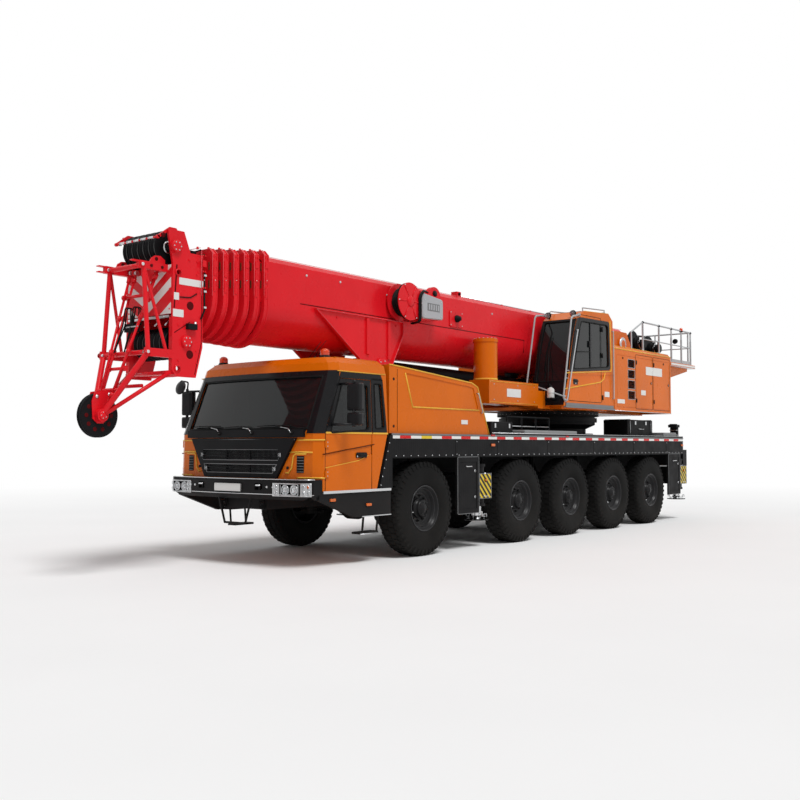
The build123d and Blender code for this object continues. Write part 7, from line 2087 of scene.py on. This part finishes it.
        work.tube([(4.16, -0.26, 2.30), (4.16, 0.26, 2.30)], 0.022, "boom_paint", 12)
        work.block((4.08, -0.10, 2.96), (4.16, 0.10, 3.06), "box_black")
        work.tube([(4.03, -0.22, 3.01), (4.20, 0.0, 3.01), (4.20, 0.22, 3.01)], 0.008, "zinc_steel", 8)
        work.done("section_6", "boom")

    def sheaves(self):
        """Ribs, hub rings and grease caps on the faces of the sheaves."""
        work = Workpiece("sheave_trim")
        for x, z, radius in ((3.83, 4.0, 0.21), (3.66, 2.85, 0.20)):
            for number in range(6):
                y = (number - 2.5) * 0.108
                for _ in work.both():
                    place = (x, y, z)
                    face = 0.044
                    work.turned(((radius - 0.010, face - 0.002), (radius - 0.002, face),
                                 (radius - 0.003, face + 0.003), (radius - 0.016, face + 0.003),
                                 (radius - 0.020, face - 0.002)), place, OUT, "sheave_nylon", sides=48)
                    work.turned(((0.080, face - 0.002), (0.080, face + 0.006), (0.056, face + 0.006)), place,
                                OUT, "plated_steel", sides=28)
                groove = radius - 0.026
                work.turned(((groove + 0.002, -0.010), (groove + 0.006, -0.004), (groove + 0.006, 0.004),
                             (groove + 0.002, 0.010)), (x, y, z), OUT, "rope_worn", sides=48)
        place = (4.59, 0, 1.94)
        for _ in work.both():
            work.turned(((0.250, 0.028), (0.257, 0.030), (0.256, 0.033), (0.240, 0.033), (0.236, 0.028)), place,
                        OUT, "sheave_nylon", sides=56)
            for t in turns(10):
                work.turned(((0.026, 0.029), (0.026, 0.032), (0.022, 0.0325), (TIP, 0.0325)),
                            (place[0] + 0.17 * cos(t), 0, place[2] + 0.17 * sin(t)), OUT, "boom_shadow",
                            sides=16)
        work.done("section_6", "sheave")


# Wheels
def wheel_work():
    """One wheel around the origin, its face towards +Y: tyre with tread, rim, nuts and hub."""
    size = sizes()
    work = Workpiece("road_wheel", start=0.0)
    low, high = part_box("wheel_l1")
    tyre_r = (high.x - low.x) / 2
    half_w = (high.y - low.y) / 2
    rim_r = 0.318
    carcass = tyre_r - size.tread
    wall = (
        (rim_r, -half_w + 0.045), (rim_r + 0.03, -half_w + 0.022), (rim_r + 0.10,
                                                                    -half_w + 0.004), (rim_r + 0.17, -half_w),
        (rim_r + 0.23, -half_w + 0.004), (rim_r + 0.29, -half_w + 0.018), (carcass - 0.022,
                                                                           -half_w + 0.030), (carcass,
                                                                                              -half_w + 0.052),
    )
    crown = tuple((carcass + 0.003 * (1 - (y / half_w) ** 2), y) for y in (-0.10, -0.05, 0, 0.05, 0.10))
    outline = wall + crown + tuple((r, -y) for r, y in wall[::-1])
    work.turned(outline, (0, 0, 0), OUT, "tyre_rubber", sides=96)
    for r in (rim_r + 0.055, rim_r + 0.215):
        for side in (-1, 1):
            edge = side * (half_w - 0.004 if r > rim_r + 0.1 else half_w - 0.014)
            work.turned(((r, edge - side * 0.006), (r + 0.004, edge), (r + 0.010, edge),
                         (r + 0.014, edge - side * 0.006)), (0, 0, 0), OUT, "tyre_rubber", sides=96)
    rows = ((-half_w + 0.035, -0.108, 0.0), (-0.100, -0.012, 0.5), (0.012, 0.100, 0.0),
            (0.108, half_w - 0.035, 0.5))
    pitch = 2 * pi / size.blocks
    for y_low, y_high, phase in rows:
        slant = 0.10 * pitch if y_high <= 0 else -0.10 * pitch
        for k in range(size.blocks):
            start = (k + phase) * pitch
            rings = []
            for r in (carcass - 0.010, tyre_r - 0.0005):
                taper = 0.03 if r > carcass else 0.0
                ring = []
                for y, turn in ((y_low, 0), (y_high, slant), (y_high, slant + 0.78 * pitch),
                                (y_low, 0.78 * pitch)):
                    inward = taper * (1 if y == y_low else -1) * 0.1
                    drop = 0.016 if abs(y) > half_w - 0.05 and r > carcass else 0.0
                    t = start + turn
                    ring.append(((r - drop) * cos(t), y + inward, (r - drop) * sin(t)))
                rings.append(ring)
            work.loops(rings, "tyre_rubber", smooth=False)
    for k in range(size.blocks):
        for side in (-1, 1):
            start = (k + (0.15 if side > 0 else 0.55)) * pitch
            rings = []
            for r, y, grow in ((carcass - 0.074, half_w - 0.0205, 0.60), (carcass - 0.070, half_w - 0.0075,
                                                                          0.50), (tyre_r - 0.026, half_w
                                                                                  - 0.0190, 0.46),
                               (tyre_r - 0.0105, half_w - 0.0390, 0.44), (carcass - 0.006, half_w - 0.060,
                                                                          0.44)):
                span = grow * pitch * (1.0 if k % 2 else 0.82)
                rings.append([(r * cos(start - span / 2), side * y, r * sin(start - span / 2)),
                              (r * cos(start + span / 2), side * y, r * sin(start + span / 2))])
            strip = [rings[0][0], rings[1][0], rings[2][0], rings[3][0], rings[4][0]]
            other = [rings[0][1], rings[1][1], rings[2][1], rings[3][1], rings[4][1]]
            work.loops([strip, other], "tyre_rubber", smooth=False)
    face = half_w - 0.030
    disc = 0.0225
    rim = (
        (rim_r - 0.02, -face), (rim_r + 0.012, -face - 0.006), (rim_r + 0.012,
                                                                -face + 0.014), (rim_r - 0.006, -face + 0.03),
        (rim_r - 0.006, face - 0.03), (rim_r + 0.012, face - 0.014), (rim_r + 0.012,
                                                                      face + 0.006), (rim_r - 0.006,
                                                                                      face + 0.004),
        (rim_r - 0.018, face - 0.025), (rim_r - 0.036, face - 0.04), (rim_r - 0.040,
                                                                      face - 0.09), (rim_r - 0.060,
                                                                                     disc + 0.07),
        (0.235, disc + 0.035), (0.215, disc + 0.028), (0.150, disc + 0.028),
    )
    work.turned(rim, (0, 0, 0), OUT, "rim_paint", sides=64)
    back = ((rim_r - 0.02, -face), (rim_r - 0.035, -face + 0.05), (rim_r - 0.045, disc - 0.02), (0.24, disc),
            (0.15, disc))
    work.turned(back, (0, 0, 0), OUT, "rim_paint", sides=48)
    for r, y in ((rim_r + 0.008, face + 0.0075), (rim_r - 0.030, face - 0.036), (0.218, disc + 0.034)):
        work.turned(((r - 0.004, y - 0.002), (r, y + 0.002), (r + 0.004, y - 0.002)), (0, 0, 0), OUT,
                    "rim_edge", sides=64)
    hub = (
        (0.150, disc - 0.02), (0.150, disc + 0.045), (0.138, disc + 0.055), (0.128,
                                                                             disc + 0.055), (0.125, disc
                                                                                             + 0.105),
        (0.112, disc + 0.125), (0.060, disc + 0.130), (0.055, disc + 0.140), (TIP, disc + 0.142),
    )
    work.turned(hub, (0, 0, 0), OUT, "rim_paint", sides=40)
    for t in turns(size.nuts):
        place = Vector((0.180 * cos(t), disc + 0.027, 0.180 * sin(t)))
        work.bolt(place, OUT, 0.019, "rim_paint")
        work.turned(((0.009, 0.012), (0.009, 0.034), (TIP, 0.034)), place, OUT, "rim_paint", sides=8)
        t += pi / size.nuts
        place = Vector((0.262 * cos(t), disc + 0.052, 0.262 * sin(t)))
        work.turned(((0.024, -0.004), (0.021, 0.003), (0.017, 0.003), (0.016, -0.012), (TIP, -0.012)), place,
                    (cos(t) * -0.35, 1, sin(t) * -0.35), "moulded_trim", sides=12)
    for t in turns(8):
        work.bolt((0.090 * cos(t), disc + 0.127, 0.090 * sin(t)), OUT, 0.009, "rim_paint")
    work.tube([(rim_r - 0.05, disc + 0.10, 0), (rim_r - 0.06, face - 0.05, 0.0), (rim_r - 0.075, face - 0.02,
                                                                                  0)], 0.006, "plated_steel", 6)
    return work


class CRANE_OT_wheels(bpy.types.Operator):
    """Put a treaded wheel in place of each plain one"""

    bl_idname = "crane.wheels"
    bl_label = "Wheels"

    def execute(self, context):
        for number in range(1, 6):
            for letter, side in (("l", 1), ("r", -1)):
                node = f"wheel_{letter}{number}"
                work = wheel_work()
                work.name = f"tyre_and_rim_{letter}{number}"
                spin = Matrix.Rotation(radians(11 * number), 4, "Y")
                turn = Matrix.Rotation(0 if side > 0 else pi, 4, "Z")
                work.mesh.transform(Matrix.Translation(middle(node)) @ turn @ spin)
                work.done(node, "tyre", replaces=(node,))
        return {"FINISHED"}


NODE_FINISHES = {
    "boom_paint": ["boom_base", "boom_head", "runner_nose"] + [f"boom_section_{k}" for k in range(1, 7)],
    "sheave_nylon": ["head_sheaves"],
    "body_paint": ["cab_shell", "door_left", "door_right", "engine_hood", "slew_frame", "operator_cab",
                   "side_cabinets"],
    "chassis_paint": ["chassis_frame", "axle_beams", "front_bumper", "front_grille", "slew_ring", "winches",
                      "luff_barrel"]
                     + [f"knuckle_{letter}{k}" for letter in "lr" for k in (1, 2, 4, 5)],
    "tread_plate": ["carrier_deck"],
    "skirt_paint": [f"beam_{name}" for name, _ in BEAMS],
    "rod_chrome": ["luff_rod"] + [f"jack_{name}" for name, _ in BEAMS],
    "zinc_steel": ["platform_rails"],
    "window_glass": ["cab_glass", "door_glass_left", "door_glass_right", "operator_glass"],
    "moulded_trim": ["cab_interior", "operator_seat"],
    "clear_lens": ["lamps"],
}


class CRANE_OT_finishes(bpy.types.Operator):
    """Give each solid of the frame its finish"""

    bl_idname = "crane.finishes"
    bl_label = "Finishes"

    def execute(self, context):
        for name, nodes in NODE_FINISHES.items():
            for node in nodes:
                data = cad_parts[node].data
                if not data.materials:
                    data.materials.append(None)
                for k in range(len(data.materials)):
                    data.materials[k] = finish(name)
        return {"FINISHED"}


class CRANE_OT_stage(bpy.types.Operator):
    """Set the floor, the light and the camera"""

    bl_idname = "crane.stage"
    bl_label = "Stage"

    def execute(self, context):
        stage = context.scene.crane_stage
        half = stage.floor
        floor = bpy.data.meshes.new("studio_floor")
        floor.from_pydata([(-half, -half, 0), (half, -half, 0), (half, half, 0), (-half, half, 0)], [],
                          [(0, 1, 2, 3)])
        piece = bpy.data.objects.new("studio_floor", floor)
        context.scene.collection.objects.link(piece)
        floor.materials.append(self.floor_finish())
        self.light_world(context, stage.sky)
        lamp = bpy.data.lights.new("key_light", "SUN")
        lamp.energy = stage.sun
        lamp.angle = radians(20)
        key = bpy.data.objects.new("key_light", lamp)
        key.rotation_euler = Vector((-0.18, -0.50, -0.85)).to_track_quat("-Z", "Y").to_euler()
        context.scene.collection.objects.link(key)
        camera_data = bpy.data.cameras.new("photo_camera")
        camera_data.lens = stage.lens
        camera_data.sensor_width = 36
        camera_data.clip_end = 400
        camera = bpy.data.objects.new("photo_camera", camera_data)
        camera.location = stage.place
        camera.rotation_euler = (pi / 2 + stage.rise, 0, stage.heading - pi / 2)
        context.scene.collection.objects.link(camera)
        context.scene.camera = camera
        context.scene.view_settings.view_transform = "Standard"
        return {"FINISHED"}

    def floor_finish(self):
        """Pale floor that keeps the shadow and runs into the white background far out."""
        material, tree, shader, place = new_finish("studio_floor")
        wire(tree, spread(tree, place, 0.4, 0.93, 0.95), shader.inputs["Base Color"])
        shader.inputs["Roughness"].default_value = 0.9
        shader.inputs["Specular IOR Level"].default_value = 0.1
        reach = add_node(tree, "ShaderNodeVectorMath", operation="LENGTH")
        wire(tree, place, reach.inputs[0])
        fade = add_node(tree, "ShaderNodeMapRange", **{"From Min": 11.0, "From Max": 26.0, "To Min": 0.0,
                                                       "To Max": 1.0})
        wire(tree, reach.outputs["Value"], fade.inputs["Value"])
        seen = self.seen_ray(tree)
        amount = add_node(tree, "ShaderNodeMath", operation="MULTIPLY")
        wire(tree, fade.outputs["Result"], amount.inputs[0])
        wire(tree, seen, amount.inputs[1])
        white = add_node(tree, "ShaderNodeEmission", Color=(1, 1, 1, 1), Strength=1.0)
        mix = add_node(tree, "ShaderNodeMixShader")
        wire(tree, amount.outputs["Value"], mix.inputs[0])
        wire(tree, shader.outputs["BSDF"], mix.inputs[1])
        wire(tree, white.outputs["Emission"], mix.inputs[2])
        wire(tree, mix.outputs["Shader"], tree.nodes["Material Output"].inputs["Surface"])
        return material

    def seen_ray(self, tree):
        """One for rays that the camera, metal or glass sends out."""
        path = add_node(tree, "ShaderNodeLightPath")
        total = path.outputs["Is Camera Ray"]
        for name in ("Is Glossy Ray", "Is Transmission Ray"):
            joined = add_node(tree, "ShaderNodeMath", operation="MAXIMUM")
            wire(tree, total, joined.inputs[0])
            wire(tree, path.outputs[name], joined.inputs[1])
            total = joined.outputs["Value"]
        return total

    def light_world(self, context, strength):
        """Even light, with white behind the crane."""
        world = bpy.data.worlds.new("studio_light")
        context.scene.world = world
        world.use_nodes = True
        tree = world.node_tree
        even = tree.nodes["Background"]
        even.inputs["Color"].default_value = (1, 1, 1, 1)
        even.inputs["Strength"].default_value = strength
        white = add_node(tree, "ShaderNodeBackground", Color=(1, 1, 1, 1), Strength=1.0)
        mix = add_node(tree, "ShaderNodeMixShader")
        wire(tree, self.seen_ray(tree), mix.inputs[0])
        wire(tree, even.outputs["Background"], mix.inputs[1])
        wire(tree, white.outputs["Background"], mix.inputs[2])
        wire(tree, mix.outputs["Shader"], tree.nodes["World Output"].inputs["Surface"])


class CRANE_PT_parts(bpy.types.Panel):
    """Steps that dress the crane"""

    bl_label = "Crane"
    bl_space_type = "VIEW_3D"
    bl_region_type = "UI"
    bl_category = "Crane"

    def draw(self, context):
        for operator in OPERATORS:
            self.layout.operator(operator.bl_idname)
        for group in (context.scene.crane_sizes, context.scene.crane_colours, context.scene.crane_stage):
            box = self.layout.box()
            for key in group.bl_rna.properties.keys():
                if key not in ("rna_type", "name"):
                    box.prop(group, key)


OPERATORS = (CRANE_OT_finishes, CRANE_OT_wheels, CRANE_OT_lamps, CRANE_OT_cab_front, CRANE_OT_cab_sides,
             CRANE_OT_cab_inside, CRANE_OT_deck, CRANE_OT_outriggers, CRANE_OT_underside, CRANE_OT_rear,
             CRANE_OT_slew_ring, CRANE_OT_operator_cab, CRANE_OT_upper_frame, CRANE_OT_boom, CRANE_OT_boom_head,
             CRANE_OT_stage)
GROUPS = (("crane_colours", CraneColours), ("crane_sizes", CraneSizes), ("crane_stage", CraneStage))


def register():
    for name, group in GROUPS:
        bpy.utils.register_class(group)
        setattr(bpy.types.Scene, name, PointerProperty(type=group))
    for operator in OPERATORS:
        bpy.utils.register_class(operator)
    bpy.utils.register_class(CRANE_PT_parts)


def unregister():
    bpy.utils.unregister_class(CRANE_PT_parts)
    for operator in reversed(OPERATORS):
        bpy.utils.unregister_class(operator)
    for name, group in reversed(GROUPS):
        delattr(bpy.types.Scene, name)
        bpy.utils.unregister_class(group)


def main():
    register()
    for operator in OPERATORS:
        group, name = operator.bl_idname.split(".")
        getattr(getattr(bpy.ops, group), name)()


if __name__ == "__main__":
    main()
